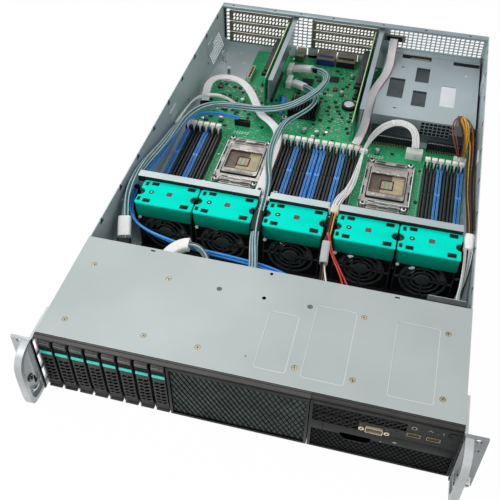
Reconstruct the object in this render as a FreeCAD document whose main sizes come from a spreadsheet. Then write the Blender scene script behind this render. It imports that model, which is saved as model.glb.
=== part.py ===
import FreeCAD, Part
import math
import os
import re
import Sketcher

from FreeCAD import Placement, Rotation, Vector

# Rack server, two units high. Millimetres, +Z up, the front faces -Y, +X is on the right seen from the front.
# The origin lies on the ground under the middle of the whole part, handles included.

doc = FreeCAD.newDocument("rack_server")
sheet = doc.addObject("Spreadsheet::Sheet", "Sizes")

sizes = {
    # folded case
    "chassis_width": 438,
    "chassis_depth": 712,
    "chassis_height": 87.3,
    "sheet": 1.2,
    "clearance": 0.3,
    "hinge_play": 0.05,
    "overcut": 1,
    "wall_hole_radius": 1.8,
    "wall_hole_drop": 7,
    "wall_hole_start": 50,
    "wall_hole_pitch": 78,
    "side_vent_start": 618,
    "side_vent_pitch": 14,
    "side_vent_length": 10,
    "side_vent_low": 10,
    "side_vent_rise": 13,
    "side_vent_height": 8,
    # fixed front cover
    "cover_length": 142,
    "cover_flange": 9,
    "recess_depth": 0.35,
    "recess_front": 13,
    "screw_radius": 3,
    "screw_first": 22.2,
    "screw_row_gap": 80,
    "screw_outer": 196,
    "screw_middle": 108.5,
    "screw_inner": 50.3,
    # rack ears and handles
    "ear_width": 22.3,
    "ear_plate": 3,
    "ear_ahead": 12,
    "ear_wrap": 34,
    "rack_hole_inset": 8.75,
    "rack_hole_low": 5.6,
    "rack_hole_drop": 5.5,
    "rack_hole_radius": 3.4,
    "rack_slot_drop": 21.3,
    "rack_slot_half": 2.4,
    "thumb_height": 21.4,
    "handle_reach": 40,
    "handle_width": 8,
    "handle_gap": 0.8,
    "handle_rim": 6,
    "handle_web": 2.5,
    "handle_corner": 4,
    "handle_head_drop": 1,
    "handle_neck": 6,
    "handle_neck_drop": 2,
    "handle_shoulder": 4.5,
    "handle_shoulder_drop": 9.5,
    "handle_grip_drop": 22,
    "handle_grip_low": 14,
    "handle_toe": 8,
    "handle_pocket_drop": 7,
    "handle_pocket_lean": 3.5,
    "handle_pocket_toe": 4,
    "handle_pocket_low": 16,
    "ear_window_low": 12,
    "ear_window_tall": 19,
    "ear_window_pitch": 24.5,
    "ear_window_lead": 0.3,
    "ear_window_end": 1.6,
    "thumb_head_radius": 4.4,
    "thumb_neck_radius": 2.6,
    "thumb_slot": 1.2,
    "thumb_slot_depth": 2,
    "thumb_bevel": 1,
    "thumb_taper": 2,
    "thumb_tail": 6,
    "thumb_head_length": 11,
    "thumb_standoff": 2,
    # bezel
    "bezel_ahead": 8.5,
    "bezel_thick": 7,
    "bezel_foot": 1,
    "lip_height": 4.5,
    "lip_ahead": 7,
    "lip_slope": 3,
    "io_width": 146.2,
    "mesh_pitch_across": 14,
    "mesh_pitch_up": 13,
    "mesh_cell": 6,
    "mesh_inset": 8,
    "mesh_rise": 9,
    "io_mesh_inset": 12,
    "io_high_inset": 9,
    # eight drive carriers
    "carrier_pitch": 17.75,
    "carrier_width": 16.2,
    "carrier_foot": 2.4,
    "carrier_head_drop": 25.3,
    "carrier_face_ahead": 8,
    "carrier_back": 6,
    "carrier_length": 104,
    "carrier_rail": 1.2,
    "carrier_rail_low": 10,
    "carrier_rail_room": 8.5,
    "carrier_tail": 3,
    "carrier_tail_tall": 14,
    "carrier_bevel": 1.5,
    "carrier_window_inset": 3,
    "carrier_window_rise": 6,
    "carrier_window_drop": 4,
    "strip_height": 5,
    "head_groove": 4,
    "lever_thick": 5.8,
    "lever_gap": 0.8,
    "lever_pivot_height": 6.5,
    "lever_barrel": 2.6,
    "lever_pin": 1.2,
    "lever_cheek": 1,
    "lever_slot_wide": 4.6,
    "lever_slot_tall": 3,
    "lever_slot_pitch": 9.4,
    "lever_slot_gap": 1.4,
    "lever_slot_shift": 0.6,
    "lever_slot_rise": 6.5,
    "lever_slot_lean": 20,
    # drive cage and backplane
    "cage_front": 7,
    "cage_length": 121,
    "cage_sheet": 0.8,
    "cage_top_room": 0.5,
    "backplane_thick": 1.8,
    "backplane_plug_depth": 8,
    "backplane_plug_width": 5,
    "backplane_plug_height": 32,
    "backplane_plug_low": 26,
    # optical drive and front sockets
    "optical_width": 129,
    "optical_inset": 2.5,
    "optical_drop": 49.8,
    "optical_height": 12.7,
    "optical_depth": 126,
    "optical_shell": 0.8,
    "optical_shelf": 1,
    "optical_shelf_inset": 4,
    "optical_setback": 2,
    "tray_proud": 0.5,
    "tray_tail": 4,
    "tray_plate": 4,
    "disc_radius": 57.5,
    "disc_recess": 1.5,
    "scoop_width": 29,
    "scoop_from_left": 19,
    "scoop_depth": 3,
    "scoop_height": 4.7,
    "video_inset": 81.7,
    "video_drop": 29.8,
    "video_width": 17,
    "video_height": 8.4,
    "usb_first_inset": 44.2,
    "usb_second_inset": 25.4,
    "usb_drop": 24.3,
    "usb_width": 13.1,
    "usb_height": 5.7,
    "socket_depth": 14,
    "socket_shell": 0.7,
    "socket_inset": 1,
    "socket_back": 3,
    "power_inset": 9,
    "power_drop": 11.8,
    "power_radius": 4.4,
    "power_proud": 1,
    # fan rail and five fan modules
    "rail_start": 260,
    "rail_width": 11,
    "rail_side_room": 15.5,
    "rail_drop": 2.3,
    "rail_bar": 3,
    "rail_wall": 2,
    "rail_notch": 13,
    "rail_notch_depth": 17,
    "rail_wall_inset": 2,
    "fan_center": 5,
    "fan_cable_gap": 14,
    "fan_gap": 2,
    "fan_side_room": 41,
    "fan_front": 222,
    "fan_depth": 34.5,
    "fan_foot": 2,
    "fan_axis_height": 31,
    "fan_bore": 27.5,
    "fan_eye": 26.5,
    "fan_boss": 7.5,
    "fan_axle_inset": 2,
    "fan_hub": 12.5,
    "fan_shaft": 2,
    "fan_guard": 2,
    "fan_guard_bar": 2.2,
    "fan_guard_ring": 19,
    "fan_strut": 4,
    "blade_thick": 1.6,
    "blade_chord": 21,
    "blade_lean": 38,
    "blade_reach": 25.5,
    "rotor_cap": 1,
    "rotor_start": 4,
    "rotor_length": 22,
    "grip_rim": 4.5,
    "grip_front": 217,
    "grip_depth": 42.5,
    "grip_drop": 7.3,
    "grip_height": 22,
    "grip_wall": 2.5,
    "grip_notch": 7,
    # main board
    "board_top": 8,
    "board_thick": 1.6,
    "board_left": 205,
    "board_right": 208,
    "board_front": 285,
    "board_step": 600,
    "board_rear_gap": 9,
    "board_rear_left": 155,
    "board_power_x": 60,
    "board_power_edge": 505,
    "standoff_radius": 3,
    "standoff_inset": 12,
    "coin_x": 22.5,
    "coin_y": 578,
    "coin_radius": 10,
    "coin_height": 6,
    "sink_x": -66,
    "sink_y": 528,
    "sink_side": 44,
    "sink_foot": 4,
    "sink_fin": 1.6,
    "sink_fin_pitch": 5.3,
    "sink_height": 14,
    "port_inset": 20,
    "port_lift": 0.4,
    "port_wall": 1.5,
    "port_mouth_depth": 8,
    # memory sockets
    "dimm_pitch": 9.45,
    "dimm_outer": 154,
    "dimm_inner": 5.5,
    "dimm_front": 313.5,
    "dimm_length": 142,
    "dimm_width": 6.4,
    "dimm_height": 11,
    "dimm_tower": 16,
    "dimm_tower_length": 9,
    "dimm_groove": 1.6,
    "dimm_groove_depth": 6,
    "latch_width": 3,
    "latch_head_width": 5.2,
    "latch_thick": 4,
    "latch_inset": 2.5,
    "latch_reach": 3.5,
    "latch_neck": 20,
    "latch_head": 4,
    "latch_foot": 2.5,
    "latch_pivot": 4.5,
    # processor sockets
    "cpu_offset": 104,
    "cpu_row": 406,
    "frame_width": 70,
    "frame_length": 104,
    "frame_height": 2.5,
    "frame_window_width": 52,
    "frame_window_length": 58,
    "post_span_x": 56,
    "post_span_y": 94,
    "post_radius": 4,
    "post_height": 7,
    "cavity_floor": 1.2,
    "plate_width": 52,
    "plate_ahead": 30,
    "plate_thick": 1.5,
    "plate_window_width": 47,
    "plate_window_length": 40,
    "plate_pivot": 36,
    "plate_knuckle_inset": 6,
    "socket_rod": 1.25,
    "lever_offset": 33.7,
    "socket_lever_axis": 40,
    "socket_lever_length": 82,
    "socket_crank": 46,
    # risers
    "riser_thick": 1.6,
    "riser_low": 12,
    "riser_drop": 9.3,
    "riser_left_x": 101.6,
    "riser_left_start": 516,
    "riser_left_length": 180,
    "riser_left_nose": 0.5,
    "riser_right_x": 41,
    "riser_right_start": 484,
    "riser_right_length": 212,
    "riser_right_nose": 38,
    "riser_nose_low": 44,
    "riser_slot_start": 560,
    "riser_slot_length": 95,
    "riser_slot_width": 11,
    "riser_slot_height": 8.5,
    "riser_slot_low": 38,
    "riser_slot_rise": 20.3,
    "riser_slot_floor": 3,
    "riser_mouth_inset": 4,
    "riser_mouth_height": 2,
    "riser_edge_side": 3,
    "riser_bracket_gap": 5,
    "riser_bracket_flange": 7,
    "riser_bracket_lead": 6,
    "riser_bracket_rise": 1,
    # rear panel
    "slot_pitch": 20.3,
    "slot_gap": 1.6,
    "slot_left_x": 204,
    "slot_left_low": 14,
    "slot_middle_x": 60,
    "slot_middle_low": 22.5,
    "slot_middle_pitch": 17.5,
    "slot_width": 100,
    "slot_overlap": 2,
    "slot_hole_wide": 8,
    "slot_hole_tall": 4,
    "slot_hole_pitch": 15,
    "slot_hole_start": 6,
    "slot_hole_apart": 7.5,
    "rear_flange": 12,
    "window_cell": 5.2,
    "window_pitch": 8.2,
    "window_low": 26,
    "window_x": 93,
    "power_window_low": 48,
    "power_window_inset": 1,
    "port_low": 8.4,
    "port_high": 21.4,
    "port_left": 90,
    "port_right": 18,
    # power supplies
    "psu_cage_x": 63.5,
    "psu_cage_width": 150.5,
    "psu_cage_start": 523,
    "psu_cage_top": 44,
    "psu_cage_sheet": 1,
    "psu_cage_skirt": 18,
    "psu_vent_start": 82,
    "psu_vent_pitch": 10.5,
    "psu_vent_drop": 9,
    "psu_vent_row": 7,
    "psu_vent_wide": 8,
    "psu_vent_tall": 5,
    "psu_width": 73.2,
    "psu_gap": 0.8,
    "psu_foot": 1.6,
    "psu_height": 40,
    "psu_start": 526,
    "psu_handle_depth": 14,
    "psu_handle_bar": 4,
    "psu_handle_width": 30,
    "psu_handle_inset": 5,
    "psu_handle_low": 8,
    "psu_fan_radius": 16,
    "psu_fan_inset": 4,
    "psu_recess": 3,
    "psu_inlet_inset": 5,
    "psu_inlet_drop": 4,
    "psu_inlet_depth": 9,
    "psu_inlet_width": 27,
    "psu_inlet_height": 19,
    # cables
    "drive_cable_radius": 4.5,
    "drive_cable_loop_radius": 3.5,
    "blue_pair_width": 6,
    "blue_pair_thick": 2.4,
    "ribbon_width": 10,
    "ribbon_thick": 1,
    "center_lead_radius": 4,
    "side_lead_radius": 4,
    "loom_radius": 3.4,
}

# Pieces alike in kind: left edge, front edge behind the cover's front, width, depth and height.
board_pieces = {
    "chip_manager": (-63, 620, 18, 18, 2),
    "chip_network": (-20, 640, 15, 15, 2),
    "power_plug_wide": (122, 472, 24, 12, 14),
    "power_plug_tall": (190, 472, 18, 9, 14),
    "drive_plug_first": (-92, 640, 9, 22, 12),
    "drive_plug_second": (-86, 604, 9, 22, 12),
    "header_rear": (-151, 606, 6, 36, 9),
    "header_front": (-140, 488, 24, 6, 9),
    "header_ribbon": (-76, 324, 20, 7, 9),
    "header_serial": (40, 470, 18, 6, 9),
    "header_side": (-205, 521, 16, 6, 9),
    "power_edge_first": (70, 496, 60, 8, 16),
    "power_edge_second": (150, 496, 50, 8, 16),
}
# Rear sockets: left edge, width and height.
port_cans = {"port_network": (-88, 16, 12.6), "port_video": (-51, 31, 12.4), "port_stack": (-18, 33, 12.6)}
# Pressed fields in the front cover: left edge, width and rear end.
cover_fields = {
    "field_narrow": (10, 32.5, 87),
    "field_middle": (57.5, 43.5, 106.5),
    "field_right": (143, 45, 106.5),
}
# Openings in the roof of the power cage: from its left side, from its front, width and depth.
cage_openings = {
    "cage_hole_left": (14.5, 48, 24, 53),
    "cage_hole_rear": (53, 98, 21, 41),
    "cage_hole_front": (53, 33, 21, 41),
}
for family, measures in ((board_pieces, ("x", "y", "width", "depth", "height")),
                         (port_cans, ("x", "width", "height")),
                         (cover_fields, ("x", "width", "end")),
                         (cage_openings, ("x", "y", "width", "depth"))):
    for piece_name, values in family.items():
        for measure, value in zip(measures, values):
            sizes[f"{piece_name}_{measure}"] = value

for row, (alias, value) in enumerate(sizes.items(), start=1):
    sheet.set(f"A{row}", alias.replace("_", " "))
    sheet.set(f"B{row}", str(value))
    sheet.setAlias(f"B{row}", alias)
doc.recompute()

# Places that several pieces share, worked out from the sizes.
terms = {
    "front": "(handle_reach - chassis_depth) / 2",
    "rear": "front + chassis_depth",
    "half": "chassis_width / 2",
    "inside": "half - sheet",
    "wall_top": "chassis_height - sheet",
    "lip_low": "chassis_height - lip_height",
    "grip_top": "chassis_height - grip_drop",
    "grip_low": "grip_top - grip_height",
    "rail_top": "chassis_height - rail_drop",
    "rail_notch_low": "rail_top - rail_notch_depth",
    "riser_top": "chassis_height - riser_drop",
    "bay_left": "clearance * 2 - inside",
    "bay_right": "bay_left + 8 * carrier_pitch",
    "carrier_left": "bay_left + (carrier_pitch - carrier_width) / 2",
    "carrier_face": "front - carrier_face_ahead",
    "carrier_top": "lip_low - clearance",
    "carrier_head": "chassis_height - carrier_head_drop",
    "carrier_rail_high": "carrier_top - carrier_rail_room",
    "lever_back": "carrier_face + lever_thick",
    "lever_pivot_y": "carrier_face + lever_thick - lever_barrel",
    "lever_pivot_z": "lever_pivot_height",
    "lever_side": "lever_cheek + clearance",
    "cage_top": "carrier_top + cage_top_room",
    "cage_rear": "front + cage_front + cage_length",
    "bezel_face": "front - bezel_ahead",
    "bezel_back": "bezel_face + bezel_thick",
    "io_left": "half - io_width",
    "video_x": "half - video_inset",
    "usb_first_x": "half - usb_first_inset",
    "usb_second_x": "half - usb_second_inset",
    "power_x": "half - power_inset",
    "optical_right": "half - optical_inset",
    "optical_left": "optical_right - optical_width",
    "optical_low": "chassis_height - optical_drop",
    "optical_face": "front + optical_setback",
    "video_z": "chassis_height - video_drop",
    "usb_z": "chassis_height - usb_drop",
    "power_z": "chassis_height - power_drop",
    "optical_top": "optical_low + optical_height",
    "ear_out": "half + ear_width",
    "thumb_x": "ear_out - rack_hole_inset",
    "rack_slot_height": "chassis_height - rack_slot_drop",
    "ear_face": "front - ear_ahead",
    "ear_back": "ear_face + ear_plate",
    "handle_in": "half + handle_gap",
    "handle_out": "handle_in + handle_width",
    "handle_tip": "front - handle_reach",
    "grip_half": "(chassis_width - fan_side_room - 2 * fan_cable_gap - 2 * fan_gap) / 10",
    "fan_half": "grip_half - grip_rim",
    "fan_near": "2 * grip_half + fan_cable_gap",
    "fan_far": "fan_near + 2 * grip_half + fan_gap",
    "rail_half": "half - rail_side_room",
    "fan_start": "front + fan_front",
    "fan_end": "fan_start + fan_depth",
    "fan_high": "grip_top - grip_wall",
    "rotor_front": "fan_start + fan_guard + rotor_start",
    "notch_left": "fan_center - fan_near / 2",
    "notch_right": "fan_center + fan_near / 2",
    "board_low": "board_top - board_thick",
    "board_rear": "chassis_depth - board_rear_gap",
    "dimm_start": "front + dimm_front",
    "dimm_end": "dimm_start + dimm_length",
    "latch_y": "dimm_end - latch_inset - latch_thick / 2",
    "latch_z": "board_top + latch_pivot",
    "cpu_y": "front + cpu_row",
    "frame_top": "board_top + frame_height",
    "rod_z": "frame_top + clearance + socket_rod",
    "plate_low": "frame_top + clearance",
    "plate_hinge_y": "cpu_y + plate_pivot",
    "lever_hinge_y": "cpu_y - socket_lever_axis",
    "bracket_left_x": "riser_left_x - riser_thick - riser_bracket_gap",
    "bracket_right_x": "riser_right_x + riser_thick + riser_bracket_gap",
    "panel_in": "rear - sheet",
    "psu_left_x": "psu_cage_x + psu_cage_sheet + clearance",
    "psu_top": "psu_foot + psu_height",
    "psu_end": "rear - psu_handle_depth",
}

word = re.compile(r"[A-Za-z_]\w*")
frames = {
    "xy": Rotation(),
    "xz": Rotation(Vector(1, 0, 0), Vector(0, 0, 1), Vector(0, -1, 0), "XYZ"),
    "yz": Rotation(Vector(0, 1, 0), Vector(0, 0, 1), Vector(1, 0, 0), "XYZ"),
}
normals = {"xy": Vector(0, 0, 1), "xz": Vector(0, 1, 0), "yz": Vector(1, 0, 0)}
offsets = {"xy": "z", "xz": "y", "yz": "x"}
axis_turns = {
    "x": Rotation(Vector(0, 1, 0), 90),
    "y": Rotation(Vector(1, 0, 0), -90),
    "z": Rotation(),
}


def spelled(text):
    # An expression with the shared places opened up and every size named through the sheet.
    def swap(match):
        name = match.group()
        if name in terms:
            return "(" + spelled(terms[name]) + ")"
        return "Sizes." + name
    return word.sub(swap, str(text))


def number(text):
    # The same expression as a plain value.
    def swap(match):
        name = match.group()
        value = number(terms[name]) if name in terms else sheet.get(name)
        return f"({value:.9f})"
    return FreeCAD.Units.Quantity(word.sub(swap, str(text))).Value


def bind(piece, prop, text):
    piece.setExpression(prop, spelled(text))


def place(piece, at):
    for axis, text in zip("xyz", at):
        bind(piece, "Placement.Base." + axis, text)
    return piece


def block(name, at, size):
    piece = doc.addObject("Part::Box", name)
    for prop, text in zip(("Length", "Width", "Height"), size):
        bind(piece, prop, text)
    return place(piece, at)


def span(name, low, high):
    # A block from its lowest to its highest corner.
    size = [f"({b}) - ({a})" for a, b in zip(low, high)]
    return block(name, low, size)


def rod(name, at, radius, length, axis="z"):
    piece = doc.addObject("Part::Cylinder", name)
    bind(piece, "Radius", radius)
    bind(piece, "Height", length)
    piece.Placement = Placement(Vector(), axis_turns[axis])
    return place(piece, at)


def prism(name, at, sides, radius, length, axis="y"):
    piece = doc.addObject("Part::Prism", name)
    piece.Polygon = sides
    bind(piece, "Circumradius", radius)
    bind(piece, "Height", length)
    piece.Placement = Placement(Vector(), axis_turns[axis])
    return place(piece, at)


def outline(name, plane, start, length, points):
    # A closed sketch, each corner held by its own two sizes, and the solid drawn out from it.
    sketch = doc.addObject("Sketcher::SketchObject", name + "_outline")
    corners = [Vector(number(a), number(b), 0) for a, b in points]
    count = len(corners)
    for i in range(count):
        sketch.addGeometry(Part.LineSegment(corners[i], corners[(i + 1) % count]), False)
    for i in range(count):
        sketch.addConstraint(Sketcher.Constraint("Coincident", i, 2, (i + 1) % count, 1))
    for i, pair in enumerate(points):
        for kind, value, text in zip(("DistanceX", "DistanceY"), corners[i], pair):
            held = sketch.addConstraint(Sketcher.Constraint(kind, -1, 1, i, 1, value))
            sketch.setExpression(f"Constraints[{held}]", spelled(text))
    sketch.Placement = Placement(Vector(), frames[plane])
    bind(sketch, "Placement.Base." + offsets[plane], start)
    piece = doc.addObject("Part::Extrusion", name)
    piece.Base = sketch
    piece.DirMode = "Custom"
    piece.Dir = normals[plane]
    piece.Solid = True
    bind(piece, "LengthFwd", length)
    return piece


def fuse(name, pieces):
    piece = doc.addObject("Part::MultiFuse", name)
    piece.Shapes = pieces
    return piece


def group(name, pieces):
    piece = doc.addObject("Part::Compound", name)
    piece.Links = pieces
    return piece


def cut(name, base, tools):
    piece = doc.addObject("Part::Cut", name)
    piece.Base = base
    piece.Tool = tools[0] if len(tools) == 1 else group(name + "_cuts", tools)
    return piece


def shifted(name, source, at):
    return place(group(name, [source]), at)


def rounded(name, base, direction, radius):
    # Rounds the long edges that run along one direction.
    doc.recompute()
    piece = doc.addObject("Part::Fillet", name)
    piece.Base = base
    size = number(radius)
    picked = []
    for i, edge in enumerate(base.Shape.Edges, start=1):
        if abs(abs(edge.tangentAt(edge.FirstParameter).dot(direction)) - 1) < 1e-6:
            picked.append((i, size, size))
    piece.Edges = picked
    return piece


nodes = []


def node(piece, name):
    piece.Label = name
    nodes.append(piece)
    return piece


# Case: base tray with both side walls


def make_tray():
    shell = outline("tray_shell", "xz", "front", "chassis_depth", [
        ("-half", "0"), ("half", "0"), ("half", "wall_top"), ("inside", "wall_top"),
        ("inside", "sheet"), ("-inside", "sheet"), ("-inside", "wall_top"), ("-half", "wall_top")])
    cuts = []
    for i in range(7):
        y = f"front + cover_length + wall_hole_start + {i} * wall_hole_pitch"
        cuts.append(rod(f"wall_hole_{i}", ("-half - overcut", y, "wall_top - wall_hole_drop"),
                        "wall_hole_radius", "chassis_width + 2 * overcut", "x"))
    for i in range(6):
        for k in range(3):
            y = f"front + side_vent_start + {i} * side_vent_pitch"
            z = f"side_vent_low + {k} * side_vent_rise"
            cuts.append(block(f"side_vent_{i}_{k}", ("-half - overcut", y, z),
                              ("sheet + 2 * overcut", "side_vent_length", "side_vent_height")))
    walls = cut("tray_walls", shell, cuts)
    near = "board_front + standoff_inset"
    far = "board_rear - standoff_inset"
    spots = [("standoff_inset - board_left", near), ("0", near), ("board_right - standoff_inset", near),
             ("standoff_inset - board_left", "board_step - standoff_inset"),
             ("board_right - standoff_inset", "board_power_edge - standoff_inset"),
             ("standoff_inset - board_rear_left", far), ("board_power_x - standoff_inset", far),
             ("0", "board_power_edge")]
    posts = [rod(f"standoff_{i}", (x, f"front + {y}", "sheet"), "standoff_radius", "board_low - sheet")
             for i, (x, y) in enumerate(spots)]
    node(fuse("tray", [walls] + posts), "chassis_tray")


def make_rear_panel():
    plate = span("rear_plate", ("-inside", "panel_in", "sheet"), ("inside", "rear", "wall_top"))
    flange = span("rear_fold", ("-inside", "rear - rear_flange", "wall_top - sheet"),
                  ("inside", "rear", "wall_top"))
    blank = fuse("rear_blank", [plate, flange])
    through = ("panel_in - overcut", "rear + overcut")
    openings = [
        ("slot_left", "-slot_left_x", "slot_width - slot_left_x", "slot_left_low",
         "slot_left_low + 3 * slot_pitch"),
        ("slot_middle", "-slot_middle_x", "slot_width - slot_middle_x", "slot_middle_low",
         "slot_middle_low + 3 * slot_middle_pitch"),
        ("power_bay", "psu_cage_x", "psu_cage_x + psu_cage_width", "psu_foot", "psu_cage_top"),
        ("ports", "-port_left", "port_right", "port_low", "port_high"),
    ]
    cuts = [span("rear_" + name, (a, through[0], c), (b, through[1], d)) for name, a, b, c, d in openings]
    for i in range(3):
        for k in range(6):
            x = f"-window_x + {i} * window_pitch"
            z = f"window_low + {k} * window_pitch"
            cuts.append(block(f"window_{i}_{k}", (x, "panel_in - overcut", z),
                              ("window_cell", "sheet + 2 * overcut", "window_cell")))
    for i in range(18):
        for k in range(4):
            x = f"psu_cage_x + power_window_inset + {i} * window_pitch"
            z = f"power_window_low + {k} * window_pitch"
            cuts.append(block(f"power_window_{i}_{k}", (x, "panel_in - overcut", z),
                              ("window_cell", "sheet + 2 * overcut", "window_cell")))
    node(cut("rear_wall", blank, cuts), "rear_panel")


def make_slot_covers():
    covers = []
    stacks = [("left", "-slot_left_x", "slot_left_low", "slot_pitch"),
              ("middle", "-slot_middle_x", "slot_middle_low", "slot_middle_pitch")]
    for side, x, low, pitch in stacks:
        for i in range(3):
            z = f"{low} + {i} * {pitch}"
            plate = span(f"slot_plate_{side}_{i}",
                         (f"{x} - slot_overlap", "panel_in - sheet", f"{z} + slot_gap / 2"),
                         (f"{x} + slot_width + slot_overlap", "panel_in", f"{z} + {pitch} - slot_gap / 2"))
            holes = []
            for j in range(6):
                for k in range(2):
                    at = (f"{x} + slot_hole_start + {j} * slot_hole_pitch", "panel_in - sheet - overcut",
                          f"{z} + ({pitch} - slot_hole_tall) / 2 + ({k} - 0.5) * slot_hole_apart")
                    holes.append(block(f"slot_hole_{side}_{i}_{j}_{k}", at,
                                       ("slot_hole_wide", "sheet + 2 * overcut", "slot_hole_tall")))
            covers.append(cut(f"slot_cover_{side}_{i}", plate, holes))
    node(group("covers", covers), "slot_covers")


def screw_places():
    for across in ("screw_outer", "screw_middle", "screw_inner"):
        for sign in ("", "-"):
            for row in range(2):
                yield f"{sign}{across}", f"front + screw_first + {row} * screw_row_gap"


def make_front_cover():
    edge = "front + cover_length"
    top = span("cover_top", ("-half", "front", "wall_top"), ("half", edge, "chassis_height"))
    back = span("cover_back", ("-inside + clearance", f"{edge} - sheet", "wall_top - cover_flange"),
                ("inside - clearance", edge, "wall_top"))
    blank = fuse("cover_blank", [top, back])
    cuts = []
    for name in cover_fields:
        patch = span(name, (f"{name}_x", "front + recess_front", "chassis_height - recess_depth"),
                     (f"{name}_x + {name}_width", f"front + {name}_end", "chassis_height + overcut"))
        cuts.append(rounded(name + "_round", patch, Vector(0, 0, 1), "screw_radius"))
    for i, (x, y) in enumerate(screw_places()):
        cuts.append(rod(f"cover_hole_{i}", (x, y, "wall_top - overcut"), "screw_radius + hinge_play",
                        "sheet + 2 * overcut"))
    node(cut("cover", blank, cuts), "front_cover")
    heads = [rod(f"screw_{i}", (x, y, "wall_top"), "screw_radius", "sheet - recess_depth / 2")
             for i, (x, y) in enumerate(screw_places())]
    node(group("screws", heads), "cover_screws")


# Rack ears, handles and thumbscrews


def make_ear(side, sign):
    def across(text):
        return f"{sign} * ({text})"

    def slab(name, low, high):
        a, b = (low[0], high[0]) if sign > 0 else (high[0], low[0])
        return span(f"{name}_{side}", (across(a), low[1], low[2]), (across(b), high[1], high[2]))

    flange = slab("ear_flange", ("half", "ear_face", "0"), ("ear_out", "ear_back", "chassis_height"))
    wrap = slab("ear_wrap", ("half", "ear_face", "0"), ("half + ear_plate", "front + ear_wrap", "wall_top"))
    start = across("handle_in") if sign > 0 else across("handle_out")
    bow = outline(f"handle_bow_{side}", "yz", start, "handle_width", [
        ("ear_back", "chassis_height - handle_head_drop"),
        ("ear_face - handle_neck", "chassis_height - handle_neck_drop"),
        ("handle_tip + handle_shoulder", "chassis_height - handle_shoulder_drop"),
        ("handle_tip", "chassis_height - handle_grip_drop"), ("handle_tip", "handle_grip_low"),
        ("handle_tip + handle_toe", "bezel_foot"), ("ear_back", "bezel_foot")])
    bow_round = rounded(f"handle_round_{side}", bow, Vector(1, 0, 0), "handle_corner")
    pocket_start = across("handle_in - overcut") if sign > 0 else across("handle_out - handle_web")
    pocket = outline(f"handle_pocket_{side}", "yz", pocket_start, "handle_width - handle_web + overcut", [
        ("ear_face - overcut", "chassis_height - handle_pocket_drop"),
        ("handle_tip + handle_rim + handle_shoulder",
         "chassis_height - handle_shoulder_drop - handle_pocket_lean"),
        ("handle_tip + handle_rim", "chassis_height - handle_grip_drop - handle_pocket_lean / 2"),
        ("handle_tip + handle_rim", "handle_pocket_low"),
        ("handle_tip + handle_rim + handle_pocket_toe", "bezel_foot + handle_rim"),
        ("ear_face - overcut", "bezel_foot + handle_rim")])
    handle = cut(f"handle_{side}", bow_round, [pocket])
    blank = fuse(f"ear_blank_{side}", [flange, wrap, handle])
    holes = []
    for i in range(3):
        z = f"ear_window_low + {i} * ear_window_pitch"
        low = ("half - overcut", "ear_back + ear_window_lead", z)
        high = ("half + ear_plate + overcut", "front - ear_window_end", f"{z} + ear_window_tall")
        holes.append(slab(f"ear_window_{i}", low, high))
    for i, z in enumerate(("rack_hole_low", "chassis_height - rack_hole_drop", "thumb_height")):
        radius = "thumb_neck_radius + hinge_play" if i == 2 else "rack_hole_radius"
        holes.append(rod(f"rack_hole_{side}_{i}", (across("thumb_x"), "ear_face - overcut", z),
                         radius, "ear_plate + 2 * overcut", "y"))
    slot = ("thumb_x - rack_hole_radius", "ear_face - overcut", "rack_slot_height - rack_slot_half")
    slot_end = ("thumb_x + rack_hole_radius", "ear_back + overcut", "rack_slot_height + rack_slot_half")
    holes.append(slab("rack_slot", slot, slot_end))
    node(cut(f"ear_{side}_solid", blank, holes), f"ear_{side}")


def make_thumbscrew(side, sign):
    # A turned screw: its half section swung round its own axis, with a driver slot across the head.
    x = f"{sign} * thumb_x"
    face = "ear_face - thumb_standoff"
    tip = f"{face} - thumb_head_length"
    low = "thumb_height"
    section = outline(f"thumb_section_{side}", "yz", x, "1", [
        (tip, low), (tip, f"{low} + thumb_head_radius - thumb_bevel"),
        (f"{tip} + thumb_bevel", f"{low} + thumb_head_radius"),
        (f"{face} - thumb_taper", f"{low} + thumb_head_radius"), (face, f"{low} + thumb_neck_radius"),
        ("ear_back + thumb_tail - thumb_bevel", f"{low} + thumb_neck_radius"),
        ("ear_back + thumb_tail", f"{low} + thumb_neck_radius - thumb_bevel"), ("ear_back + thumb_tail", low)])
    turned = doc.addObject("Part::Revolution", f"thumb_turned_{side}")
    turned.Source = section.Base
    turned.Axis = Vector(0, 1, 0)
    turned.Angle = 360
    turned.Solid = True
    bind(turned, "Base.x", x)
    bind(turned, "Base.z", low)
    slot = span(f"thumb_slot_{side}",
                (f"{x} - thumb_head_radius", f"{tip} - overcut", f"{low} - thumb_slot / 2"),
                (f"{x} + thumb_head_radius", f"{tip} + thumb_slot_depth", f"{low} + thumb_slot / 2"))
    node(cut(f"thumb_{side}", turned, [slot]), f"thumbscrew_{side}")


# Front: lip, grilles, sockets, optical drive


def diamonds(name, columns, rows, left, low):
    # Lozenge openings in offset rows through a front panel.
    tools = []
    for i in range(columns):
        for k in range(rows):
            x = f"{left} + ({i} + 0.5 * {k % 2}) * mesh_pitch_across"
            z = f"{low} + {k} * mesh_pitch_up"
            tools.append(prism(f"{name}_{i}_{k}", (x, "bezel_face - overcut", z), 4, "mesh_cell",
                               "bezel_thick + 2 * overcut"))
    return tools


def make_bezel():
    lip = outline("bezel_lip", "yz", "-half", "chassis_width", [
        ("front", "lip_low"), ("front - lip_ahead", "lip_low"),
        ("front - lip_ahead", "chassis_height - lip_slope"),
        ("front - lip_slope", "chassis_height"), ("front", "chassis_height")])
    plate = span("mesh_plate", ("bay_right + clearance", "bezel_face", "bezel_foot"),
                 ("io_left - clearance", "bezel_back", "lip_low"))
    mesh = cut("mesh_panel", plate,
               diamonds("mesh", 10, 6, "bay_right + mesh_inset", "bezel_foot + mesh_rise"))
    node(fuse("bezel", [lip, mesh]), "front_bezel")


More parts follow.
